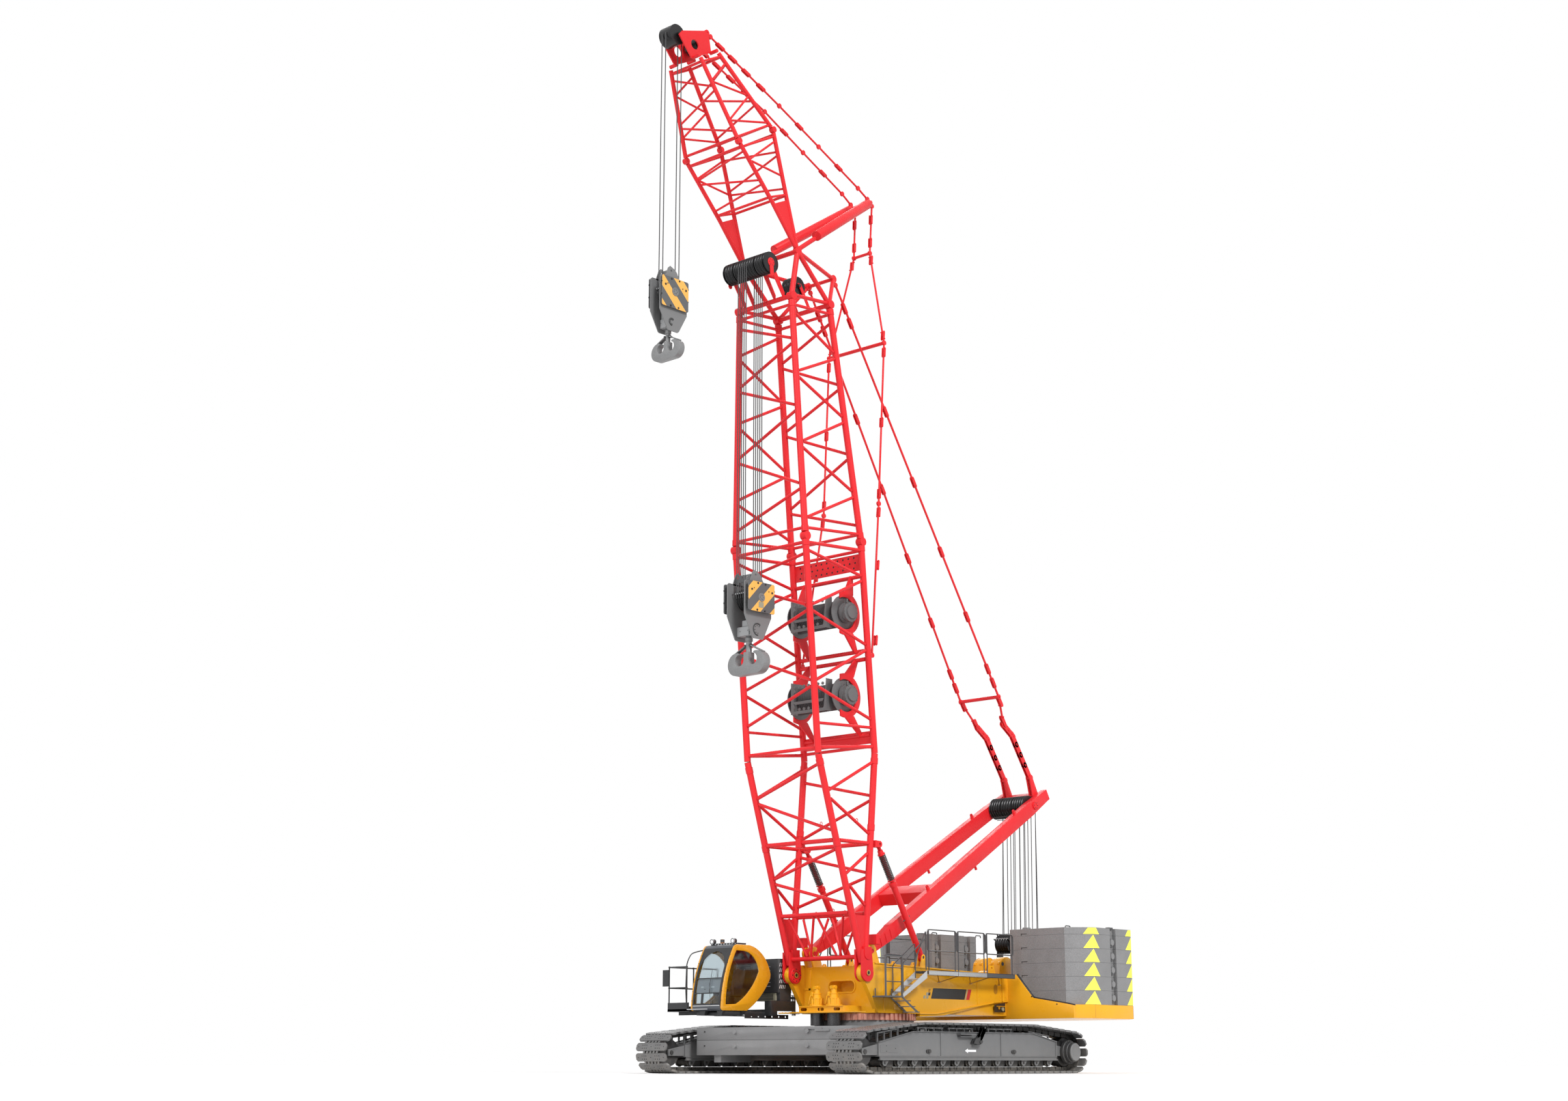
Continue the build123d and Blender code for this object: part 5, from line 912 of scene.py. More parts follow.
# Engine
# The power pack in its bay: a dark cast block with ribs, a cylinder head cover and pipes.
engine_black = cast("engine_black", (0.030, 0.030, 0.032), 0.55, 70, 0.25)
redress("engine", "engine_block", engine_black, "superstructure", 0.02)
bm = bmesh.new()
for x in [-3.95 + 0.26 * step for step in range(8)]:
    box(bm, (x, -0.66, 1.90), (x + 0.05, 0.66, 2.50), 0.006)
for y in (-0.32, 0.32):
    box(bm, (-3.95, y - 0.15, 2.58), (-2.30, y + 0.15, 2.68), 0.03)
pipe(bm, ((-2.4, -0.3, 2.62), (-2.2, -0.3, 2.66), (-2.2, 0.3, 2.66), (-2.4, 0.3, 2.62)), 0.05, 0.08, 12)
settle(bm, "engine_ribs", engine_black, "superstructure")

# Slewing drives
# Two upright geared motors turned and cast in steel, painted yellow, with tie bosses and valve heads.
# Their pinions run in dark sleeves in front of the slewing ring.
drive_x, drive_y = 1.648, 0.315
sleeve_steel = cast("sleeve_steel", (0.075, 0.075, 0.078), 0.30, 60, 0.12, metallic=0.6, relief=0.1)
bm = bmesh.new()
for y in (-drive_y, drive_y):
    turned(bm, (drive_x, y, 0), (0, 0, 1), (
        (1.300, 0.0), (1.300, 0.184), (1.306, 0.190), (1.633, 0.190), (1.633, 0.0),
    ), 40, 1)
    turned(bm, (drive_x, y, 0), (0, 0, 1), (
        (1.6746, 0.0), (1.6746, 0.215), (1.836, 0.215), (1.840, 0.235), (1.868, 0.235), (1.872, 0.160),
        (2.030, 0.158), (2.036, 0.172), (2.060, 0.172), (2.066, 0.120), (2.160, 0.116), (2.166, 0.128),
        (2.190, 0.128), (2.196, 0.086), (2.330, 0.084), (2.345, 0.070), (2.345, 0.0),
    ), 40)
    bolt_circle(bm, (drive_x, y, 1.868), 0.150, 10, 0.175, 0.034, 10, across="Z", start=pi / 10)
    bolt_circle(bm, (drive_x, y, 1.866), 0.215, 10, 0.018, 0.013, across="Z", start=pi / 10)
    # valve head with two ears
    tilt = (
        (drive_x - 0.07, 2.30), (drive_x + 0.12, 2.30), (drive_x + 0.13, 2.37), (drive_x + 0.03, 2.400),
        (drive_x - 0.08, 2.37),
    )
    plate(bm, tilt, y, 0.10)
    for shift in (-0.075, 0.075):
        cross_pin(bm, (drive_x + 0.02, y + shift, 2.345), 0.022, 0.052, 16)
    box(bm, (drive_x + 0.06, y - 0.14, 2.10), (drive_x + 0.13, y - 0.06, 2.22), 0.01)
    pipe(
        bm,
        ((drive_x + 0.10, y - 0.10, 2.2), (drive_x + 0.12, y - 0.16, 2.1), (drive_x + 0.12, y - 0.20, 1.9)),
        0.016, 0.04,
    )
drives = settle(bm, "slew_drives_turned", (yellow_coat, sleeve_steel), "superstructure")
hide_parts("slew_drives")

# Side decks
# Walkways of folded and galvanised channel with an open grating, on yellow braces.
# Each handrail bay is a hoop of thin round tube on two posts.
deck_front_x, deck_rear_x = -0.560, -4.660
deck_inner, deck_edge, deck_z = 1.4285, 1.900, 2.820
rail_top_z = deck_z + 1.150
rail_y = deck_edge - 0.040
zinc = cast("zinc", (0.46, 0.47, 0.48), 0.34, 30, 0.10, metallic=0.55, relief=0.1)
deck_grey = painted("deck_grey", (0.085, 0.086, 0.090), 0.40, 0.05)
rail_grey = painted("rail_grey", (0.060, 0.060, 0.063), 0.32, 0.03)
bay = (deck_front_x - deck_rear_x - 0.060) / 3
for side, name in ((1, "left_deck"), (-1, "right_deck")):
    bm = bmesh.new()
    low, high = side * deck_edge, side * (deck_edge - 0.014)
    for number in range(3):
        start = deck_rear_x + number * bay + 0.02
        box(bm, (start, low, 2.700), (start + bay - 0.02, high, 2.832), 0.003, 0 if number else 1)
        for z in (2.700, 2.818):
            lip = side * (deck_edge - 0.060)
            box(bm, (start, low, z), (start + bay - 0.02, lip, z + 0.012), 0.002, 0 if number else 1)
    inner = side * deck_inner
    box(bm, (deck_rear_x, inner, 2.760), (deck_front_x, inner + side * 0.012, 2.826), 0, 1)
    for x in [deck_rear_x + 0.02 + 0.045 * step for step in range(91)]:
        box(bm, (x, inner + side * 0.01, 2.792), (x + 0.006, side * (deck_edge - 0.01), 2.820), 0, 1)
    for shift in (0.12, 0.24, 0.36):
        y = inner + side * shift
        box(bm, (deck_rear_x, y, 2.797), (deck_front_x, y + side * 0.006, 2.816), 0, 1)
    y = side * rail_y
    for number in range(3):
        low_x = deck_rear_x + 0.055 + number * bay
        high_x = low_x + bay - 0.050
        for x in (low_x + 0.05, high_x - 0.05):
            bar(bm, (x, y, 2.72), (x, y, rail_top_z - 0.01), 0.017, 8, index=2)
            box(bm, (x - 0.04, y, 2.72), (x + 0.04, y + side * 0.03, 2.80), 0.004, 2)
        middle = deck_z + 0.56
        hoop = (
            (low_x - 0.005, y, middle), (high_x + 0.005, y, middle), (high_x + 0.005, y, rail_top_z),
            (low_x - 0.005, y, rail_top_z),
        )
        pipe(bm, hoop, 0.017, 0.09, 8, True, 2)
    # sloping hand bar down to the steps or the frame
    pipe(bm, ((deck_front_x + 0.02, y, 2.84), (deck_front_x + 0.02, y, rail_top_z - 0.04),
              (deck_front_x + 0.50, y, 3.10), (deck_front_x + 0.50, y, 2.60)), 0.017, 0.07, 8, index=2)
    # braces in pairs from a foot on the frame's side, in the darker yellow that paints the shade under the
    # deck
    for x in (-1.639, -3.092, -4.468):
        foot = (x, side * (frame_side_y + 0.01), 2.535)
        for reach in (-0.52, 0.52):
            if deck_rear_x < x + reach < deck_front_x:
                pipe(bm, (foot, (x + reach, side * 1.80, 2.735)), 0.017, sides=8, index=3)
        for shift in (-0.05, 0.0, 0.05):
            bar(
                bm, (x + shift, side * frame_side_y, 2.53),
                (x + shift, side * (frame_side_y + 0.022), 2.53), 0.012, 6, index=0,
            )
    deck = settle(bm, name, (zinc, deck_grey, rail_grey, yellow_shade), "superstructure")
    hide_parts("side_decks")

# Access steps
# Folded aluminium treads on light side plates, with a landing and a dark tube handrail.
# The hung lower flight has two dark rails with light rungs.
tread_grey = painted("tread_grey", (0.50, 0.51, 0.52), 0.36, 0.05, metallic=0.3)
bm = merged("access_steps")
for face in bm.faces:
    centre = face.calc_center_median()
    if centre.z > 2.055 and centre.x > 0.50:
        face.material_index = 1
    if centre.z < 2.055 and abs(face.normal.y) > 0.9:
        face.material_index = 1
steps = settle(bm, "access_steps_welded", (tread_grey, deck_grey), "superstructure", flip=False)
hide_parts("access_steps")
bm = bmesh.new()
for x in (0.56, 1.26):
    for y in (1.50, 1.88):
        bar(bm, (x, y, 2.09), (x, y, 2.30), 0.018, 8)
for line, y, radius, bend in (
    (((1.28, 2.10), (1.28, 3.215), (0.55, 3.215), (0.55, 2.10)), 1.885, 0.019, 0.10),
    (((1.28, 2.48), (0.55, 2.48)), 1.885, 0.014, 0.0),
    (((1.28, 2.86), (0.55, 2.86)), 1.885, 0.014, 0.0),
    (((0.52, 2.20), (0.52, 3.00), (-0.50, 3.72), (-0.50, 2.90)), 1.885, 0.018, 0.09),
    (((0.50, 2.20), (0.50, 2.95), (-0.48, 3.60), (-0.48, 2.85)), 1.50, 0.016, 0.09),
):
    pipe(bm, [(x, y, z) for x, z in line], radius, bend)
settle(bm, "access_handrails", rail_grey, "superstructure")

# Rear frame and counterweight tray
# A yellow weldment with an apron under each stack and domed lugs of the boom hoist.
# A black tube along the apron's edge paints the shadow in the gap between the apron and the slabs.
redress("counterweight_tray", "rear_frame_welded", yellow_coat, "superstructure", 0.012)
apron_front = -4.8923
bm = bmesh.new()
for side in (-1, 1):
    # a black tube along the apron's upper edge paints the shadow in the gap before the slabs
    edge = (
        (1.75, 2.836), (1.97, 2.57), (2.212, 2.294), (2.30, 2.19), (2.341, 2.150), (2.45, 2.128),
        (3.496, 1.966), (3.80, 1.910),
    )
    line = [(apron_front - 0.052, side * y, z + 0.012) for y, z in edge]
    pipe(bm, line, 0.030, 0.05, 6, index=1)
    # two black discs paint the shade in small holes of the apron
    for y, z in ((2.30, 2.190), (3.20, 1.955)):
        bar(bm, (apron_front - 0.01, side * y, z), (apron_front + 0.003, side * y, z), 0.022, 12, index=1)
    for y in (0.205, 0.455):
        cross_pin(bm, (-5.80, side * y, 3.22), 0.04, 0.075, 20)
    face = side * 0.52
    bar(bm, (-5.86, face - side * 0.01, 3.22), (-5.86, face + side * 0.004, 3.22), 0.060, 20, index=1)
    strip(bm, (-6.32, 3.10), (-6.42, 2.42), 0.020, face, 0.012)
    # low domes at the frame's rear, one per side
    turned(
        bm, (-4.35, side * 0.95, 2.80), (0, 0, 1),
        ((0.0, 0.26), (0.04, 0.25), (0.10, 0.20), (0.14, 0.12), (0.155, 0.0)), 24,
    )
    hole = round_points(-4.35, 3.02, 0.04, (0.0, 1.05, 2.1, 3.14, 4.2, 5.25))
    holed_plate(bm, ((-4.55, 2.83), (-4.15, 2.83), (-4.25, 3.10), (-4.45, 3.10)), [hole], side * 1.22, 0.04)
    # seams of the apron's folded corner
    for x, y in ((-5.56, 4.0895), (-7.50, 4.0895)):
        box(bm, (x - 0.006, side * y, 1.56), (x + 0.006, side * (y + 0.0015), 1.93), 0, 2)
settle(bm, "rear_frame_trim", (yellow_coat, black_paint, yellow_shade), "superstructure")

# Counterweights
# Slabs of rough cast iron in flat grey paint with open recesses for their lifting pins.
# Bright yellow warning triangles fold round the outer corners of every slab.
stack_grey = cast("stack_grey", (0.210, 0.210, 0.213), 0.66, 55, 0.18, relief=0.6)
warning_yellow = painted("warning_yellow", (0.92, 0.90, 0.10), 0.45, 0.02)
# dark grey of the clamps, loops and fittings, which also paints the shade in the slabs' pin recesses and
# hooked slots
clamp_and_shade_grey = painted("clamp_and_shade_grey", (0.060, 0.060, 0.062), 0.45, 0.06)
redress("counterweights", "counterweights_cast", stack_grey, "superstructure")
slab_front, slab_rear, slab_inner, slab_outer, slab_chamfer = -4.955, -8.100, 1.504, 4.090, 0.600
slab_low, slab_height, top_height = 1.938, 0.404, 0.204
skin = 0.0025
bm = bmesh.new()
for side in (-1, 1):
    for level in range(6):
        low = slab_low + level * slab_height
        high = low + (slab_height if level < 5 else top_height) - 0.010
        low += 0.008
        reach_top = 0.0 if level < 5 else 0.15
        # a triangle folded round the front corner and one round the rear corner
        for corner_x, way in ((slab_front - slab_chamfer, 1), (slab_rear + slab_chamfer, -1)):
            tip = [(corner_x, slab_outer + skin)]
            flat = [(corner_x - way * reach, slab_outer + skin) for reach in (0.30, reach_top)]
            slant = [
                (corner_x + way * (reach * 0.7071 + skin), slab_outer - reach * 0.7071 + skin)
                for reach in (0.30, reach_top)
            ]
            for low_end, high_end in (flat, slant):
                corners = [(*tip[0], low), (*low_end, low)]
                corners += [(*high_end, high), (*tip[0], high)] if level == 5 else [(*tip[0], high)]
                bm.faces.new([bm.verts.new((x, side * y, z)) for x, y, z in corners])
bm.normal_update()
turned_in = [face for face in bm.faces if face.normal.y * face.calc_center_median().y < 0]
bmesh.ops.reverse_faces(bm, faces=turned_in)
settle(bm, "warning_triangles", warning_yellow, "superstructure", 0, False)
bm = bmesh.new()
for side in (-1, 1):
    for level in range(6):
        seam = slab_low + level * slab_height
        if level:
            # hooked slots over each seam on the front, drawn as dark patches that paint the shade inside them
            for end, low in ((2.13, 0.045), (1.94, 0.012)):
                box(bm, (slab_front - 0.01, side * 1.91, seam + low),
                    (slab_front + 0.0015, side * end, seam + 0.072), 0, 1)
        if level == 5:
            continue
        middle = seam + slab_height / 2
        for x, y, inward in ((-6.560, slab_outer, -1), (-5.255, slab_inner, 1), (-6.714, slab_inner, 1)):
            tip = Vector((x, side * (y + inward * 0.015), middle))
            out = Vector((0, -side * inward, 0))
            turned(bm, tip - out * 0.035, out, (
                (0.0, 0.0), (0.0, 0.088), (0.006, 0.094), (0.026, 0.094), (0.034, 0.086), (0.034, 0.0),
            ), 24, 2)
            # dark strips beside and below each pin paint the shade in its recess
            low, high = side * (y + inward * 0.10), side * (y + inward * 0.004)
            box(bm, (x + 0.105, low, seam + 0.12), (x + 0.145, high, seam + 0.32), 0.004, 1)
            box(bm, (x + 0.03, low, seam + 0.05), (x + 0.12, high, seam + 0.085), 0.004, 1)
    for y in (1.72, 2.16):
        box(bm, (slab_front - 0.01, side * y, slab_low + 0.9),
            (slab_front + 0.001, side * (y + 0.006), slab_low + 2.2), 0, 2)
    top = slab_low + 5 * slab_height + top_height
    box(
        bm, (slab_front - 0.20, side * 1.94, top - 0.02), (slab_front - 0.04, side * 2.14, top + 0.045),
        0.008,
    )
    box(bm, (-6.66, side * 3.90, top - 0.02), (-6.46, side * 4.04, top + 0.035), 0.008, 1)
    for x in (-5.40, -7.60):
        for y in (1.75, 3.30):
            line = ((-0.12, -0.01), (-0.12, 0.06), (0.12, 0.06), (0.12, -0.01))
            pipe(bm, [(x + a, side * y, top + b) for a, b in line], 0.016, 0.04, 8, index=1)
settle(bm, "counterweight_fittings", (stack_grey, clamp_and_shade_grey, ballast_grey), "superstructure")

# Rear block of the boom hoist
# Two packs of grooved rope sheaves, turned in steel, on one axle between dark bracket plates.
hoist_x, hoist_z, hoist_reach = -7.420, 3.900, 0.300
groove_steel = cast("groove_steel", (0.022, 0.022, 0.023), 0.32, 90, 0.15, metallic=0.5, relief=0.1)
bright_steel = cast("bright_steel", (0.42, 0.42, 0.43), 0.30, 90, 0.10, metallic=0.7, relief=0.1)


def sheave_pack(bm, centre, along, low, high, radius, count, depth=0.030, hub=0.0, steps=40, index=0):
    """A row of grooved sheaves on one axle, between two distances from the centre."""
    pitch = (high - low) / count
    profile = [(low, hub)]
    for number in range(count):
        start = low + number * pitch
        profile.append((start + 0.004, radius - 0.006))
        for share, sunk in ((0.14, 0), (0.28, 0.3), (0.42, 1), (0.58, 1), (0.72, 0.3), (0.86, 0)):
            profile.append((start + share * pitch, radius - sunk * depth))
        profile.append((start + pitch - 0.004, radius - 0.006))
        if number < count - 1:
            profile += [(start + pitch - 0.003, radius * 0.72), (start + pitch + 0.003, radius * 0.72)]
    profile.append((high, hub))
    turned(bm, centre, along, profile, steps, index)


bm = bmesh.new()
for side in (-1, 1):
    sheave_pack(bm, (hoist_x, 0, hoist_z), (0, side, 0), 0.245, 0.735, hoist_reach, 5)
    for y in (0.225, 0.755):
        outline = [(hoist_x - 0.28, 1.9385), (hoist_x + 0.28, 1.9385)]
        outline += round_points(hoist_x, hoist_z, 0.13, (-0.3, 0.2, 0.8, 1.57, 2.3, 2.9, 3.4))
        plate(bm, outline, side * y, 0.028, index=1)
    for angle in (0.5, 1.2, 2.0):
        [(x, z)] = round_points(hoist_x, hoist_z, hoist_reach + 0.03, (angle,))
        bar(bm, (x, side * 0.21, z), (x, side * 0.77, z), 0.010, 8, index=2 if angle < 1 else 1)
        for y in (0.225, 0.755):
            pipe(bm, ((hoist_x, side * y, hoist_z), (x, side * y, z)), 0.022, sides=6, index=1)
    turned(
        bm, (hoist_x, 0, hoist_z), (0, side, 0),
        ((0.76, 0.09), (0.80, 0.09), (0.805, 0.08), (0.805, 0.0)), 24, 1,
    )
box(bm, (hoist_x - 0.24, -0.80, 2.900), (hoist_x + 0.24, 0.80, 2.960), 0.006, 1)
cross_pin(bm, (hoist_x, 0, hoist_z), 0.80, 0.070, 24, 1)
block = settle(bm, "hoist_block", (groove_steel, black_paint, bright_steel), "superstructure")
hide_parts("hoist_sheaves")

# Operator's cab
# A dark pressed shell between two thick yellow side frames, with a curved windscreen set in rubber.
# Behind the glass stand a light console and a padded seat; a sliding door closes the far side.
cab_dark = painted("cab_dark", (0.050, 0.055, 0.066), 0.36, 0.06, gloss=0.2)
cab_black = painted("cab_black", (0.018, 0.019, 0.021), 0.42, 0.05)
cab_yellow = painted("cab_yellow", (0.66, 0.300, 0.010), 0.26, 0.06, gloss=0.35)
console_grey = painted("console_grey", (0.36, 0.37, 0.39), 0.50, 0.03)
label_white = painted("label_white", (0.72, 0.73, 0.74), 0.45, 0.02)
lens_white = painted("lens_white", (0.86, 0.87, 0.88), 0.18, 0.02, gloss=0.6)
amber = painted("amber", (0.75, 0.24, 0.02), 0.15, 0.02, gloss=0.8)
pane = painted("cab_pane", (0.70, 0.77, 0.80), 0.03, 0.02)
pane.node_tree.nodes["Principled BSDF"].inputs["Transmission Weight"].default_value = 1.0
seat_cloth = cast("seat_cloth", (0.045, 0.046, 0.052), 0.92, 420, 0.35)
near_y, far_y, cab_mid = -1.700, -2.900, -2.300
arc_points = ((4.072, 1.790), (3.900, 2.740), (3.590, 3.440))
(arc_ax, arc_az), (arc_bx, arc_bz), (arc_cx, arc_cz) = arc_points
arc_twice = 2 * (arc_ax * (arc_bz - arc_cz) + arc_bx * (arc_cz - arc_az) + arc_cx * (arc_az - arc_bz))
arc_a, arc_b, arc_c = [x ** 2 + z ** 2 for x, z in arc_points]
arc_mid_x = (arc_a * (arc_bz - arc_cz) + arc_b * (arc_cz - arc_az) + arc_c * (arc_az - arc_bz)) / arc_twice
arc_mid_z = (arc_a * (arc_cx - arc_bx) + arc_b * (arc_ax - arc_cx) + arc_c * (arc_bx - arc_ax)) / arc_twice
arc_radius = math.hypot(arc_ax - arc_mid_x, arc_az - arc_mid_z)


def front_x(z):
    """Where the cab's curved front lies at a height."""
    return arc_mid_x + math.sqrt(max(arc_radius ** 2 - (z - arc_mid_z) ** 2, 0.0))


def drape(bm, rows, lift, depth, index=0):
    """A sheet laid along the curved front; each row is a height with its two edges."""
    front, back = [
        [[bm.verts.new((front_x(z) + shift, y, z)) for y in (low, high)] for z, low, high in rows]
        for shift in (lift, lift - depth)
    ]
    loops = [(front[end][0], front[end][1], back[end][1], back[end][0]) for end in (0, -1)]
    for near, next_near, far, next_far in zip(front, front[1:], back, back[1:]):
        loops.append((near[0], near[1], next_near[1], next_near[0]))
        loops.append((far[0], next_far[0], next_far[1], far[1]))
        loops += [(near[edge], next_near[edge], next_far[edge], far[edge]) for edge in (0, 1)]
    for loop in loops:
        bm.faces.new(loop).material_index = index


def even_rows(low, high, left, right, steps=8):
    """Rows of one width between two heights."""
    return [(low + (high - low) * step / steps, left, right) for step in range(steps + 1)]


redress("cab_shell", "cab_shell_pressed", cab_dark, "superstructure", 0.010)
redress("cab_inner_side", "cab_inner_side_pressed", cab_yellow, "superstructure", 0.026)
redress("cab_outer_side", "cab_outer_side_pressed", cab_yellow, "superstructure", 0.026)
redress("cab_glass", "cab_panes", pane, "superstructure")
redress("cab_door", "cab_door_pressed", cab_yellow, "cab_door", 0.010)
redress("cab_door_glass", "cab_door_pane", pane, "cab_door")
bm = bmesh.new()
for left, right in ((near_y - 0.120, near_y - 0.057), (far_y + 0.057, far_y + 0.120)):
    drape(bm, even_rows(1.86, 3.43, left, right, 14), 0.007, 0.020, 1)
drape(bm, even_rows(3.345, 3.43, far_y + 0.057, near_y - 0.057, 3), 0.0085, 0.020, 1)
for side in (-1, 1):
    rows = []
    for step in range(11):
        z = 2.75 + 0.06 * step
        half = 0.500 * math.sqrt(max(1 - ((z - 2.75) / 0.60) ** 2, 0.0))
        edges = sorted((cab_mid + side * half, cab_mid + side * 0.485))
        rows.append((z, edges[0] - 0.001, edges[1] + 0.001))
    drape(bm, rows, 0.0055, 0.016, 1)
for low, high, left, right, steps, lift, depth, index in (
    (2.575, 2.605, far_y + 0.12, near_y - 0.12, 2, 0.008, 0.020, 1),
    (1.85, 1.89, far_y + 0.057, near_y - 0.057, 2, 0.007, 0.020, 1),
    (1.89, 2.17, -2.516, -2.440, 4, 0.006, 0.020, 1),
    (2.165, 2.195, far_y + 0.12, near_y - 0.12, 2, 0.006, 0.020, 1),
    (1.825, 1.848, far_y + 0.08, near_y - 0.08, 2, 0.005, 0.010, 2),
    (2.20, 2.57, far_y + 0.125, near_y - 0.125, 6, -0.050, 0.020, 3),
):
    drape(bm, even_rows(low, high, left, right, steps), lift, depth, index)
for y, wide in ((-2.56, 0.10), (-2.15, 0.12)):
    drape(bm, even_rows(2.33, 2.37, y - wide / 2, y + wide / 2, 2), -0.048, 0.004, 4)
for y in (-2.425, -2.460):
    spot = Vector((front_x(2.293) - 0.049, y, 2.293))
    stud(bm, spot, 0.006, 0.011, 12, index=1, across="X")
# wiper with its arm and blade
spindle = Vector((front_x(1.87) + 0.012, -2.10, 1.875))
bar(bm, spindle - Vector((0.01, 0, 0)), spindle + Vector((0.014, 0, 0)), 0.018, 12, index=1)
arm = []
for share in (0.0, 0.25, 0.5, 0.75, 1.0):
    z = 1.875 + 0.60 * share
    arm.append((front_x(z) + 0.022, -2.10 - 0.14 * share, z))
pipe(bm, arm, 0.006, sides=6, index=1)
blade = [(front_x(z) + 0.014, -2.21 - 0.05 * (z - 2.2), z) for z in (2.18, 2.35, 2.52, 2.69, 2.80)]
pipe(bm, blade, 0.007, sides=6, index=1)
# bolts along the yellow frame, sill bar and underside brackets
for z in (1.98, 2.24, 2.50, 2.76, 3.02, 3.24):
    for y in (near_y - 0.028, far_y + 0.028):
        spot = Vector((front_x(z) + 0.012, y, z))
        bar(bm, spot - Vector((0.014, 0, 0)), spot + Vector((0.004, 0, 0)), 0.009, 8, index=1)
box(bm, (4.050, -3.050, 1.735), (4.085, -2.250, 1.758), 0.003, 2)
for x, y, wide in ((3.93, -2.53, 0.12), (3.93, -1.85, 0.12), (3.20, -1.78, 0.12)):
    outline = ((y - wide, 1.700), (y + wide, 1.700), (y + wide * 0.58, 1.572), (y - wide * 0.58, 1.572))
    plate(bm, outline, x, 0.10, "X", 1)
bar(bm, (3.20, -1.90, 1.585), (3.20, -1.66, 1.585), 0.018, 12, index=2)
# rear window guard of round tube
ring = [(2.330, y, z) for y, z in rounded(-2.510, 2.825, 0.56, 0.32, 0.05, 3)]
pipe(bm, ring, 0.012, sides=6, closed=True, index=1)
for step in range(1, 6):
    z = 2.665 + 0.32 * step / 6
    bar(bm, (2.330, -2.785, z), (2.330, -2.235, z), 0.006, 6, index=1)
settle(
    bm, "cab_trim", (cab_dark, cab_black, tread_grey, console_grey, label_white), "superstructure",
)
door_low, door_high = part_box("cab_door")
bm = bmesh.new()
handle_x = door_high[0] - 0.30
door_face = door_low[1] if abs(door_low[1]) > abs(door_high[1]) else door_high[1]
line = ((0.004, 2.36), (-0.030, 2.36), (-0.030, 2.56), (0.004, 2.56))
pipe(bm, [(handle_x, door_face + out, z) for out, z in line], 0.009, 0.012, 8)
settle(bm, "door_handle", cab_black, "cab_door")

# Seat
# A sprung pedestal with two side consoles carries a sewn cushion and a backrest of dark cloth.
# Both are padded, drawn in between their corners and quilted by two channels.
bm = bmesh.new()
box(bm, (3.090, -2.480, 1.755), (3.350, -2.120, 1.860), 0.010)
for step in range(5):
    low, fold = 1.860 + 0.044 * step, 0.010 * (step % 2)
    box(bm, (3.100 + fold, -2.460 + fold, low), (3.340 - fold, -2.140 - fold, low + 0.044), 0.006)
box(bm, (2.860, -2.530, 2.080), (3.350, -2.070, 2.122), 0.008)
for side in (-1, 1):
    y = cab_mid + side * 0.330
    box(bm, (2.900, y - 0.060, 2.130), (3.400, y + 0.060, 2.330), 0.014)
    bar(bm, (3.320, y, 2.325), (3.330, y, 2.430), 0.012, 10)
    bar(bm, (3.330, y, 2.420), (3.332, y, 2.475), 0.022, 12, 0.018)
    bar(bm, (2.95, y - side * 0.06, 2.16), (2.95, cab_mid + side * 0.235, 2.10), 0.020, 8)
plate(bm, ((2.815, 2.150), (2.850, 2.150), (2.700, 2.880), (2.665, 2.880)), cab_mid, 0.36)
seat_frame = settle(bm, "seat_frame", cab_black, "superstructure")
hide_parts("cab_seat")


def padding(name, origin, side_way, long_way, up_way, wide, long, thick):
    """A crowned sewn pad: flat underneath, drawn in between its corners, with two sewn channels."""
    bm = bmesh.new()
    count = 22
    top, bottom = [], []
    for row in range(count + 1):
        top.append([])
        bottom.append([])
        for column in range(count + 1):
            u, v = 2 * column / count - 1, 2 * row / count - 1
            pull_u, pull_v = 1 - 0.055 * (1 - v * v), 1 - 0.055 * (1 - u * u)
            crown = (1 - abs(u) ** 5) * (1 - abs(v) ** 5)
            seams = (u + 0.45, u - 0.45, v - 0.55)
            channel = sum(math.exp(-(off / 0.055) ** 2) for off in seams)
            rise = thick * (0.42 + 0.58 * crown ** 0.6) - 0.016 * channel * min(crown * 2, 1)
            across = side_way * (u * pull_u * wide / 2) + long_way * (v * pull_v * long / 2)
            top[-1].append(bm.verts.new(origin + across + up_way * rise))
            bottom[-1].append(bm.verts.new(origin + across * 0.965))
    for row in range(count):
        for column in range(count):
            turn = ((row, column), (row, column + 1), (row + 1, column + 1), (row + 1, column))
            bm.faces.new([top[a][b] for a, b in turn])
            bm.faces.new([bottom[a][b] for a, b in (turn[0], turn[3], turn[2], turn[1])])
    rim = [(0, c) for c in range(count)] + [(r, count) for r in range(count)]
    rim += [(count, count - c) for c in range(count)] + [(count - r, 0) for r in range(count)]
    middle = []
    for row, column in rim:
        spot = (top[row][column].co + bottom[row][column].co) / 2
        outwards = top[row][column].co - origin
        outwards = (outwards - up_way * outwards.dot(up_way)).normalized()
        middle.append(bm.verts.new(spot + outwards * 0.010))
    for step in range(len(rim)):
        after = (step + 1) % len(rim)
        a, b = rim[step], rim[after]
        bm.faces.new((bottom[a[0]][a[1]], bottom[b[0]][b[1]], middle[after], middle[step]))
        bm.faces.new((middle[step], middle[after], top[b[0]][b[1]], top[a[0]][a[1]]))
    pad = settle(bm, name, seat_cloth, "superstructure", 60)
    return pad


padding(
    "seat_cushion", Vector((3.100, cab_mid, 2.122)), Vector((0, 1, 0)), Vector((1, 0, 0)),
    Vector((0, 0, 1)), 0.490, 0.500, 0.125,
)
back_way = Vector((-0.165, 0, 0.680)).normalized()
back_face = Vector((back_way.z, 0, -back_way.x))
padding(
    "seat_back", Vector((2.775, cab_mid, 2.560)), Vector((0, 1, 0)), back_way, back_face, 0.450, 0.640,
    0.105,
)

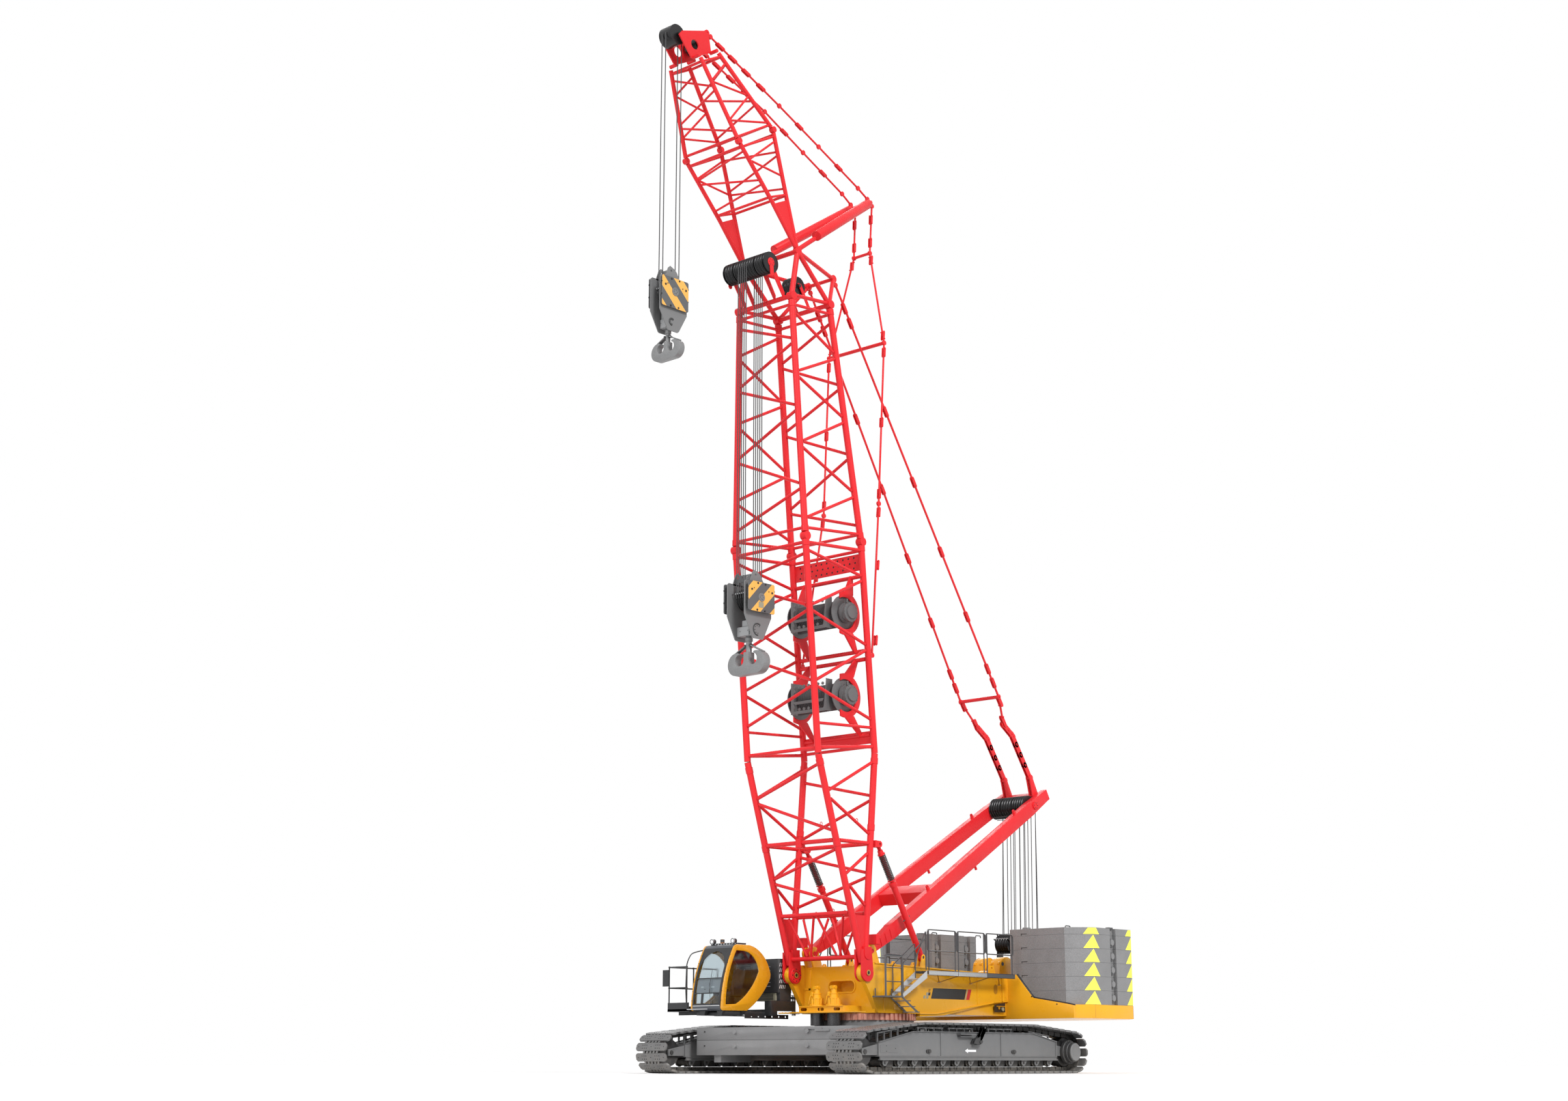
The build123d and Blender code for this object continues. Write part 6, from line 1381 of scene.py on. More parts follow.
# Cab carrier, cabinet and walkway
# A swinging arm of welded box on a hinge post carries the cab; the cabinet stands beside it.
# The walkway of folded sheet has tube rails with rounded corners and a mirror on two arms.
redress("cab_carrier", "cab_carrier_welded", cab_black, "superstructure", 0.006)
redress("side_cabinet", "side_cabinet_folded", engine_black, "superstructure", 0.008)
redress("cab_walkway", "cab_walkway_built", cab_black, "superstructure")
redress("cab_roof_kit", "cab_roof_kit_built", cab_black, "superstructure", 0.004)
bm = bmesh.new()
bar(bm, (1.250, -1.575, 1.595), (1.250, -1.575, 2.155), 0.058, 24, index=1)
bar(bm, (1.250, -1.575, 2.150), (1.250, -1.575, 2.170), 0.072, 24, index=1)
# holed chassis rail beside the arm
holes = [rounded(1.42 + 0.28 * step, 1.56, 0.055, 0.055, 0.027, 3) for step in range(6)]
holed_plate(bm, ((1.30, 1.500), (3.10, 1.500), (3.10, 1.620), (1.30, 1.620)), holes, -1.748, 0.012)
# slanted vents and hinges of the cabinet
for column in range(4):
    for row in range(5):
        x, z = 1.815 - 0.070 * column, 2.345 + 0.155 * row
        outline = ((x + 0.034, z), (x + 0.056, z), (x + 0.022, z + 0.100), (x, z + 0.100))
        plate(bm, outline, -1.5585, 0.004, index=7)
for z in (2.36, 2.98):
    bar(bm, (1.350, -1.556, z), (1.350, -1.556, z + 0.09), 0.010, 8)
box(bm, (1.840, -1.600, 2.62), (1.860, -1.556, 2.74), 0.004, 2)
for step in range(6):
    z = 2.40 + 0.11 * step
    box(bm, (1.879, -2.50, z), (1.884, -1.90, z + 0.022), 0.0, 2)
# battery box under the cabinet
box(bm, (1.42, -2.55, 2.005), (1.86, -1.70, 2.225), 0.012, 3)
for step in range(5):
    box(bm, (1.861, -2.46, 2.04 + 0.035 * step), (1.866, -1.80, 2.055 + 0.035 * step), 0.0)
# aprons, rail corners and tread bars of the walkway
box(bm, (4.046, -3.848, 1.702), (4.060, -2.996, 1.940), 0.003)
box(bm, (2.060, -3.850, 1.702), (4.046, -3.838, 1.860), 0.003)
for step in range(18):
    x = 2.12 + 0.108 * step
    bar(bm, (x, -3.80, 1.762), (x, -3.02, 1.762), 0.007, 6, index=3)
for z in (2.35, 2.93):
    for x in (2.10, 3.07, 4.03):
        turned(
            bm, (x, -3.82, z - 0.026), (0, 0, 1),
            ((0.0, 0.020), (0.004, 0.027), (0.048, 0.027), (0.052, 0.020)), 12,
        )
# grab hoop at the far front corner
hoop = (
    (3.57, -2.915, 3.40), (3.95, -3.03, 3.30), (4.10, -3.05, 3.02), (4.13, -3.05, 2.30),
    (4.09, -3.05, 1.775),
)
pipe(bm, hoop, 0.017, 0.12, 8)
# lamps with lens and rim, slatted rack and beacon on the roof
for y in (-2.71, -1.89):
    turned(
        bm, (3.445, y, 3.630), (1, 0, 0),
        ((-0.02, 0.0), (-0.02, 0.079), (0.006, 0.079), (0.006, 0.066), (0.0, 0.064), (0.0, 0.0)), 28, 4,
    )
    turned(bm, (3.446, y, 3.630), (1, 0, 0), ((0.0, 0.0), (0.0, 0.062), (0.004, 0.050), (0.007, 0.0)), 24, 5)
for step in range(9):
    y = -2.74 + 0.11 * step
    box(bm, (3.395, y, 3.538), (3.402, y + 0.05, 3.575), 0.0, 2)
turned(
    bm, (3.25, -2.48, 3.58), (0, 0, 1),
    ((0.0, 0.062), (0.02, 0.062), (0.022, 0.05), (0.11, 0.046), (0.122, 0.03), (0.124, 0.0)), 24, 6,
)
# mirror with two arms
box(bm, (3.998, -4.058, 2.402), (4.010, -3.830, 2.858), 0.006, 5)
for z in (2.47, 2.79):
    bar(bm, (4.03, -3.82, z), (4.03, -3.90, z), 0.010, 8)
settle(
    bm, "cab_carrier_trim",
    (cab_black, zinc, console_grey, badge_grey, bright_steel, lens_white, amber, label_white),
    "superstructure",
)

# Mast
# Two tapering box legs of welded plate, joined by a belly box and a head that holds the rope sheaves.
# Lifting eyes and stubs are welded on the legs; fourteen ropes run down to the rear block.
red_coat = painted("red_coat", (0.70, 0.020, 0.026), 0.42, 0.04, gloss=0.05, glint=0.22)
rope_grey = cast("rope_grey", (0.045, 0.045, 0.047), 0.60, 220, 0.35)
mast_foot = Vector((1.080, 0, 3.330))
mast_tip = Vector((-7.850, 0, 8.480))
mast_leg_y, mast_tip_y = 1.080, 0.770
mast_run = (mast_tip - mast_foot).normalized()
mast_up = Vector((-mast_run.z, 0, mast_run.x))
if mast_up.z < 0:
    mast_up.negate()


def on_mast(share, side, lift=0.0):
    """A point on a mast leg, lifted off its centre line."""
    spot = mast_foot.lerp(mast_tip, share) + mast_up * lift
    return Vector((spot.x, side * (mast_leg_y + (mast_tip_y - mast_leg_y) * share), spot.z))


redress("mast_frame", "mast_frame_welded", red_coat, "mast", 0.012)
bm = bmesh.new()
for side in (-1, 1):
    for share in (0.33, 0.83) if side > 0 else (0.83,):
        root, tip = on_mast(share, side, 0.19), on_mast(share, side, 0.295)
        cross_pin(bm, tip, 0.018, 0.050, 16)
        bar(bm, root, tip, 0.062, 8, 0.046)
        cross_pin(bm, tip, 0.021, 0.022, 10, index=1)
    bar(bm, on_mast(0.566, side, -0.19), on_mast(0.566, side, -0.36), 0.040, 12)
    for share in (0.05, 0.075, 0.10):
        low, high = on_mast(share, side, -0.12), on_mast(share + 0.004, side, 0.12)
        for face_y in (-0.118, 0.118):
            bar(bm, low + Vector((0, face_y, 0)), high + Vector((0, face_y, 0)), 0.014, 6)
    # head pins of the sheave axle
    centre = on_mast(0.93, side)
    turned(
        bm, centre, (0, side, 0),
        (
            (0.11, 0.0), (0.11, 0.13), (0.135, 0.13), (0.140, 0.12), (0.140, 0.05), (0.132, 0.045),
            (0.132, 0.0),
        ), 28,
    )
    bolt_circle(bm, centre + Vector((0, side * 0.135, 0)), 0.09, 6, side * 0.014, 0.013, index=1)
settle(bm, "mast_fittings", (red_coat, black_paint), "mast")

bm = bmesh.new()
sheave_spot = mast_foot.lerp(mast_tip, 0.93)
for low, high, count in ((-0.668, -0.220, 5), (-0.200, 0.200, 4), (0.220, 0.668, 5)):
    sheave_pack(bm, sheave_spot, (0, 1, 0), low, high, 0.330, count, 0.035)
for angle in (-0.9, -1.8):
    spot = sheave_spot + Vector((0.36 * math.cos(angle), 0, 0.36 * math.sin(angle)))
    cross_pin(bm, spot, 0.66, 0.010, 8, index=1)
cross_pin(bm, sheave_spot, 0.679, 0.070, 20, index=1)
sheaves = settle(bm, "mast_sheaves_turned", (groove_steel, black_paint), "mast")
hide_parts("mast_sheaves")

bm = bmesh.new()
hoist_ys = (-0.70, -0.62, -0.49, -0.32, -0.24, -0.15, -0.01, 0.04, 0.16, 0.24, 0.32, 0.49, 0.62, 0.70)
for number, y in enumerate(hoist_ys):
    low = Vector((hoist_x - 0.10 + 0.05 * (number % 2), y, hoist_z + 0.27))
    high = Vector((-7.60 + 0.05 * (number % 2), min(max(y, -0.655), 0.655), 7.93))
    pipe(bm, [low.lerp(high, step / 12) for step in range(13)], 0.0125, sides=6)
hoist_ropes = settle(bm, "boom_hoist_ropes", rope_grey, None)
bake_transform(hoist_ropes)

# Backstops
# Telescopic struts of red tube; their upper rods carry a black coil spring between two washers.
# Forged eyes and clevises hold them on the frame and behind the boom.
stop_foot = Vector((-0.948, 0, 3.215))
stop_top = Vector((0.943, 0, 6.295))
stop_y = 1.360
stop_run = stop_top - stop_foot
stop_along = stop_run.normalized()
stop_aside = Vector((stop_along.z, 0, -stop_along.x))
spring_black = cast("spring_black", (0.030, 0.030, 0.031), 0.40, 90, 0.15)
bm = bmesh.new()
lower = bmesh.new()
for side in (-1, 1):
    foot = stop_foot + Vector((0, side * stop_y, 0))

    def on_stop(run):
        return foot + stop_along * run

    bar(bm, on_stop(0.420), on_stop(3.40), 0.058, 24)
    for run in (2.475, 3.290):
        bar(bm, on_stop(run), on_stop(run + 0.022), 0.112, 32)
    bar(bm, on_stop(3.31), on_stop(3.42), 0.088, 24, 0.075)
    coil = []
    for step in range(15 * 12 + 1):
        angle = 2 * pi * step / 12
        run = 2.505 + 0.780 * step / 180
        coil.append(
            on_stop(run) + stop_aside * 0.094 * math.cos(angle) + Vector((0, 0.094 * math.sin(angle), 0))
        )
    pipe(bm, coil, 0.0165, sides=6, index=1)
    # clevis and eye behind the boom
    for way in (-1, 1):
        spot = stop_top + Vector((0, side * stop_y + way * 0.034, 0))
        cross_pin(bm, spot, 0.011, 0.095, 24)
        start = on_stop(3.38) + Vector((0, way * 0.034, 0))
        bar(bm, start, spot, 0.030, 8)
    cross_pin(bm, stop_top + Vector((0, side * stop_y, 0)), 0.045, 0.060, 20)
    # lower tube with its mouth collar, grease fittings and the forged fork at its foot
    turned(lower, on_stop(0.0), stop_along, (
        (0.050, 0.0), (0.050, 0.070), (0.160, 0.092), (2.290, 0.092), (2.300, 0.116), (2.400, 0.116),
        (2.410, 0.096), (2.420, 0.096), (2.420, 0.0),
    ), 32)
    for way in (-1, 1):
        nipple = stop_aside * way
        bar(lower, on_stop(1.25) + nipple * 0.09, on_stop(1.25) + nipple * 0.16, 0.018, 8, index=1)
        spot = stop_foot + Vector((0, side * stop_y + way * 0.045, 0))
        turned(
            lower, spot, (0, way, 0),
            ((-0.038, 0.0), (-0.038, 0.104), (-0.032, 0.110), (-0.006, 0.110), (0.0, 0.104), (0.0, 0.0)),
            28,
        )
        turned(lower, spot, (0, way, 0), ((0.0, 0.050), (0.008, 0.048), (0.008, 0.0)), 20, 1)
rods = settle(bm, "backstop_rods_sprung", (red_coat, spring_black), "backstop_upper")
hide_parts("backstop_rods")
tubes = settle(lower, "backstop_tubes_turned", (red_coat, clamp_and_shade_grey), "backstop_lower")
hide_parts("backstop_tubes")

# Boom base
# Round chords and lacing of welded tube, running down into two forked feet of thick plate.
# Bolted rings close the feet's inner sides, hollow pins of bronze-coloured steel run through them.
bronze = cast("bronze", (0.52, 0.36, 0.10), 0.30, 70, 0.10, metallic=0.6, relief=0.1)
boom_front = ((2.712, 1.562, 1.353), (8.630, 3.425, 1.353), (14.737, 3.940, 1.360), (21.894, 4.155, 1.038))
boom_back = ((2.712, 1.562, 1.353), (8.870, 1.020, 1.353), (14.968, 1.548, 1.360), (22.043, 2.508, 1.030))


def on_chord(stations, z, side):
    """A point on a boom chord's centre line at a height."""
    for (low_z, low_x, low_y), (high_z, high_x, high_y) in zip(stations, stations[1:]):
        if z <= high_z or (high_z, high_x, high_y) == stations[-1]:
            share = (z - low_z) / (high_z - low_z)
            return Vector((low_x + (high_x - low_x) * share, side * (low_y + (high_y - low_y) * share), z))
    return None


for node in ("boom_base", "boom_winch_bay", "boom_top", "jib_base", "jib_top"):
    redress(node, node + "_welded", red_coat, "boom")
bm = bmesh.new()
for side in (-1, 1):
    pin = Vector((boom_foot_x, side * foot_y, boom_foot_z))
    inner = pin + Vector((0, -side * 0.147, 0))
    turned(
        bm, inner, (0, -side, 0),
        ((0.0, 0.215), (0.022, 0.215), (0.028, 0.208), (0.028, 0.118), (0.022, 0.110), (0.0, 0.110)), 36,
    )
    bolt_circle(bm, inner - Vector((0, side * 0.026, 0)), 0.165, 8, -side * 0.014, 0.016, index=2)
    for way in (-1, 1):
        face = pin + Vector((0, way * 0.172, 0))
        turned(
            bm, face, (0, way, 0),
            ((0.0, 0.078), (0.004, 0.078), (0.006, 0.070), (0.006, 0.050), (-0.004, 0.046), (-0.004, 0.0)),
            28, 1,
        )
        stud(bm, face, way * 0.0035, 0.044, 24, index=2)
        # welded doubler on the cheek: a tongue with a scalloped root
        turn = [pi * part for part in (1, 1.17, 1.33, 1.5, 1.67, 1.83, 2)]
        outline = round_points(boom_foot_x, 3.22, 0.150, turn)
        outline += [(boom_foot_x + 0.15, 3.42), (boom_foot_x - 0.15, 3.42)]
        plate(bm, outline, side * foot_y + way * 0.100, 0.135)
    box(bm, (1.05, side * foot_y - 0.16, 3.50), (1.20, side * foot_y + 0.16, 3.78), 0.01)
    for stations, heights in (
        (boom_front, (6.22, 8.40, 14.55, 14.95, 21.65)), (boom_back, (6.75, 8.65, 14.78, 15.15, 21.82)),
    ):
        for z in heights:
            low, high = on_chord(stations, z, side), on_chord(stations, z + 0.001, side)
            turned(bm, low, high - low, ((-0.09, 0.094), (-0.085, 0.108), (0.085, 0.108), (0.09, 0.094)), 24)
middle = (on_chord(boom_front, 6.28, 1) + on_chord(boom_front, 6.28, -1)) / 2
box(bm, middle + Vector((-0.10, -0.10, -0.13)), middle + Vector((0.10, 0.10, 0.13)), 0.008)
# eye rings for the rigging along the lacing
for stations, z, share in (
    (boom_back, 6.90, 0.2), (boom_back, 6.90, 0.7), (boom_back, 4.32, 0.3), (boom_back, 4.32, 0.7),
    (boom_front, 4.32, 0.25), (boom_front, 4.32, 0.75), (boom_back, 5.60, 0.0), (boom_back, 7.70, 0.0),
    (boom_back, 9.60, 0.0), (boom_back, 17.4, 0.0), (boom_back, 19.6, 0.0), (boom_front, 17.4, 1.0),
    (boom_front, 10.9, 1.0),
):
    left, right = on_chord(stations, z, 1), on_chord(stations, z, -1)
    spot = left.lerp(right, share) + Vector((0, 0, 0.10))
    ring = round_points(spot.x, spot.z, 0.045, [2 * pi * step / 12 for step in range(12)])
    pipe(bm, [(x, spot.y, z) for x, z in ring], 0.010, sides=6, closed=True)
settle(bm, "boom_fittings", (red_coat, bronze, black_paint), "boom")

# Winches in the boom
# Two rope drums with turned flanges and geared motors, held in red cradle plates.
# The rope lies in even layers; a perforated and a plain plate close the bay's ends.
redress("winch_cradle", "winch_cradle_welded", red_coat, "boom", 0.008)
winch_x, winch_zs = 1.760, (10.500, 12.900)
winch_grey = cast("winch_grey", (0.115, 0.116, 0.118), 0.42, 60, 0.12, relief=0.2)
bm = bmesh.new()
plate_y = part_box("hoist_winches")[1][1] - 0.300
for z in winch_zs:
    centre = (winch_x, 0, z)
    inner = plate_y - 0.026
    sheave_pack(bm, centre, (0, 1, 0), -inner + 0.032, inner - 0.032, 0.385, 26, 0.012, 0.0, 32, 1)
    for way in (-1, 1):
        turned(bm, centre, (0, way, 0), (
            (inner - 0.032, 0.385), (inner - 0.032, 0.515), (inner - 0.026, 0.520), (inner - 0.006, 0.520),
            (inner, 0.510), (inner, 0.0),
        ), 48)
    for way, gear in (
        (1, (
            (0.0255, 0.0), (0.0255, 0.300), (0.10, 0.300), (0.105, 0.262), (0.21, 0.255), (0.215, 0.285),
            (0.245, 0.285), (0.25, 0.200), (0.298, 0.190), (0.298, 0.0),
        )),
        (-1, (
            (0.0255, 0.0), (0.0255, 0.238), (0.06, 0.238), (0.065, 0.170), (0.20, 0.160), (0.205, 0.185),
            (0.235, 0.185), (0.24, 0.110), (0.325, 0.100), (0.325, 0.0),
        )),
    ):
        turned(bm, centre, (0, way, 0), [(plate_y + run, radius) for run, radius in gear], 40)
    bolt_circle(bm, (winch_x, plate_y + 0.215, z), 0.275, 12, 0.042, 0.015)
    # holed side frame in front of each drum
    holes = [rounded(0.0, z, 1.16, 0.36, 0.08, 3)]
    for y in (-0.54, -0.36, -0.18, 0.0, 0.18, 0.36, 0.54):
        holes += [rounded(y, z + 0.33 * way, 0.09, 0.09, 0.045, 3) for way in (-1, 1)]
    frame_line = ((-0.68, z - 0.46), (0.68, z - 0.46), (0.68, z + 0.46), (-0.68, z + 0.46))
    holed_plate(bm, frame_line, holes, winch_x + 0.545, 0.024, "X")
    for y in (-0.68, 0.66):
        box(bm, (winch_x + 0.30, y, z - 0.46), (winch_x + 0.56, y + 0.022, z + 0.46), 0.003)
    for shift in (-0.10, 0.10):
        bar(
            bm, (winch_x + 0.04, plate_y + 0.10 + shift * 0.3, z + 0.28),
            (winch_x + 0.04, plate_y + 0.10 + shift * 0.3, z + 0.40), 0.026, 10,
        )
winches = settle(bm, "hoist_winches_built", (winch_grey, rope_grey), "boom")
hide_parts("hoist_winches")
# black discs through the plate paint the shade seen through its perforations
bm = bmesh.new()
plate_x = on_chord(boom_back, 14.395, 1).x
for row, z in enumerate((14.24, 14.395, 14.55)):
    for step in range(11):
        y = -1.05 + step * 0.21 + (0.05 if row % 2 else 0.0)
        bar(bm, (plate_x - 0.0135, y, z), (plate_x + 0.0135, y, z), 0.030, 10)
settle(bm, "bay_plate_holes", hole_shade, "boom")

# Boom head
# A frame of tubes and cheek plates round two rows of grooved sheaves, with horns for the stays.
# Red end caps are bolted over the ends of the main axle.
redress("boom_head", "boom_head_welded", red_coat, "boom")
main_axle = Vector((4.800, 0, 22.800))
deflector = Vector((2.950, 0, 22.720))
bm = bmesh.new()
for low, high, count in ((-0.754, -0.436, 3), (-0.404, 0.404, 8), (0.436, 0.754, 3)):
    sheave_pack(bm, main_axle, (0, 1, 0), low, high, 0.320, count, 0.032)
sheave_pack(bm, deflector, (0, 1, 0), -0.200, 0.200, 0.300, 3, 0.030)
cross_pin(bm, main_axle, 0.830, 0.061, 20, index=1)
cross_pin(bm, deflector, 0.270, 0.050, 16, index=1)
for way in (-1, 1):
    sheave_pack(bm, main_axle, (0, way, 0), 0.784, 0.826, 0.315, 1, 0.026)
    turned(bm, main_axle, (0, way, 0), (
        (0.826, 0.0), (0.826, 0.135), (0.838, 0.135), (0.846, 0.120), (0.846, 0.055), (0.854, 0.050),
        (0.854, 0.0),
    ), 28, 2)
    bolt_circle(bm, main_axle + Vector((0, way * 0.842, 0)), 0.092, 6, way * 0.012, 0.012, index=1)
    arm = ((4.72, 22.77), (4.70, 22.45), (4.74, 22.40), (4.80, 22.40), (4.84, 22.45), (4.88, 22.77))
    plate(bm, arm, way * 0.838, 0.020, index=2)
sheaves = settle(bm, "head_sheaves_turned", (groove_steel, black_paint, red_coat), "boom")
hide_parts("head_sheaves")

# Fixed jib
# A shorter lattice of the same tube with its strut, pinned on the boom's head.
# Grooved sheaves turn at its tip between cheek plates.
redress("jib_head", "jib_head_welded", red_coat, "boom")
redress("jib_strut", "jib_strut_welded", red_coat, "boom", 0.008)
redress("jib_sheaves", "jib_sheaves_turned", groove_steel, "boom")

# Stays
# Round tie rods with forged eyes; pairs of link plates with pins couple one rod to the next.
# Heavier plates near the mast set the length of the boom stays.
redress("jib_stays", "jib_stays_forged", red_coat, "boom")
redress("boom_stays", "boom_stays_forged", red_coat, "boom")
stay_runs = (
    (
        (1.65, 0.505, 23.02), (-5.664, 0.749, 11.382), (0.055, 0.09, 0.30, 0.47, 0.64, 0.80, 0.93, 0.965),
        0.26, 0.10,
    ),
    ((6.80, 0.330, 29.25), (3.889, 0.298, 28.140), (0.12, 0.30, 0.50, 0.72), 0.26, 0.09),
    ((3.889, 0.298, 28.140), (2.155, 0.320, 27.378), (0.5,), 0.24, 0.08),
    ((2.155, 0.320, 27.378), (0.350, 0.327, 26.583), (0.5,), 0.24, 0.08),
    ((-0.25, 0.335, 26.0), (-0.189, 0.324, 24.607), (0.2, 0.75), 0.24, 0.08),
    ((-0.189, 0.324, 24.607), (0.111, 1.109, 21.444), (0.08, 0.92), 0.24, 0.08),
    ((0.111, 1.109, 21.444), (0.415, 1.090, 16.381), (0.06, 0.5, 0.94), 0.24, 0.08),
    ((0.415, 1.090, 16.381), (0.945, 1.353, 11.80), (0.06, 0.42, 0.92), 0.24, 0.08),
    ((-5.664, 0.749, 11.382), (-6.220, 0.502, 10.565), (0.15, 0.85), 0.30, 0.12),
    ((-6.220, 0.502, 10.565), (-6.620, 0.500, 10.303), (0.2, 0.8), 0.34, 0.17),
    ((-6.620, 0.500, 10.303), (-7.494, 0.500, 9.044), (0.10, 0.34, 0.58, 0.82), 0.40, 0.17),
)
bm = bmesh.new()
for start, end, shares, length, width in stay_runs:
    for side in (-1, 1):
        low = Vector((start[0], side * start[1], start[2]))
        high = Vector((end[0], side * end[1], end[2]))
        along = (high - low).normalized()
        for share in shares:
            spot = low.lerp(high, share)
            ends = (spot - along * length / 2, spot + along * length / 2)
            for shift in (-0.040, 0.040):
                aside = Vector((-along.z, 0, along.x)).normalized() * width / 2
                outline = []
                for middle, way in ((ends[0], -1), (ends[1], 1)):
                    for angle in (-90, -45, 0, 45, 90):
                        turn = math.radians(angle)
                        outline.append(
                            middle + along * way * math.cos(turn) * width / 2 + aside * way * math.sin(turn)
                        )
                plate(bm, [(p.x, p.z) for p in outline], spot.y + shift, 0.018)
            for middle in ends:
                cross_pin(bm, middle, 0.062, 0.024, 10)
settle(bm, "stay_links", red_coat, "boom")

# Hook blocks
# Each block has two cheeks of thick plate round a pack of grooved sheaves, and a crosshead below.
# Cover weights with orange and grey warning stripes are bolted on the cheeks; steel ropes hold it.
block_grey = painted("block_grey", (0.175, 0.176, 0.178), 0.42, 0.05)
block_dark = painted("block_dark", (0.045, 0.045, 0.046), 0.45, 0.05)
stripe_orange = painted("stripe_orange", (0.80, 0.42, 0.085), 0.38, 0.03)
stripe_grey = painted("stripe_grey", (0.095, 0.097, 0.100), 0.40, 0.03)
crosshead_grey = painted("crosshead_grey", (0.30, 0.305, 0.31), 0.40, 0.04)
hook_grey = cast("hook_grey", (0.200, 0.202, 0.205), 0.42, 45, 0.10, relief=0.25)
stripe_pitch = 0.38


def striped_cover(bm, x, half_x, low, high, y, outwards, leans, start):
    """A cover weight with rounded corners, notched edges and diagonal stripes on its outer face."""
    outline = rounded(x, (low + high) / 2, 2 * half_x, high - low, 0.055, 4)
    rows = bmesh.new()
    plate(rows, outline, y, 0.030)
    bmesh.ops.recalc_face_normals(rows, faces=rows.faces)
    across = Vector((leans, 0, 1)).normalized()
    for step in range(-12, 13):
        mark = start + step * stripe_pitch
        spot = Vector((0, 0, mark))
        outer = [face for face in rows.faces if face.normal.y * outwards > 0.9]
        edges = {edge for face in outer for edge in face.edges}
        corners = {vert for face in outer for vert in face.verts}
        geom = outer + list(edges) + list(corners)
        bmesh.ops.bisect_plane(rows, geom=geom, dist=0.0001, plane_co=spot, plane_no=across)
    for face in rows.faces:
        centre = face.calc_center_median()
        band = math.floor((centre.z + leans * centre.x - start) / stripe_pitch)
        face.material_index = 2 if face.normal.y * outwards > 0.9 and band % 2 == 0 else 3
    mesh = bpy.data.meshes.new("cover")
    rows.to_mesh(mesh)
    rows.free()
    bm.from_mesh(mesh)
    bpy.data.meshes.remove(mesh)


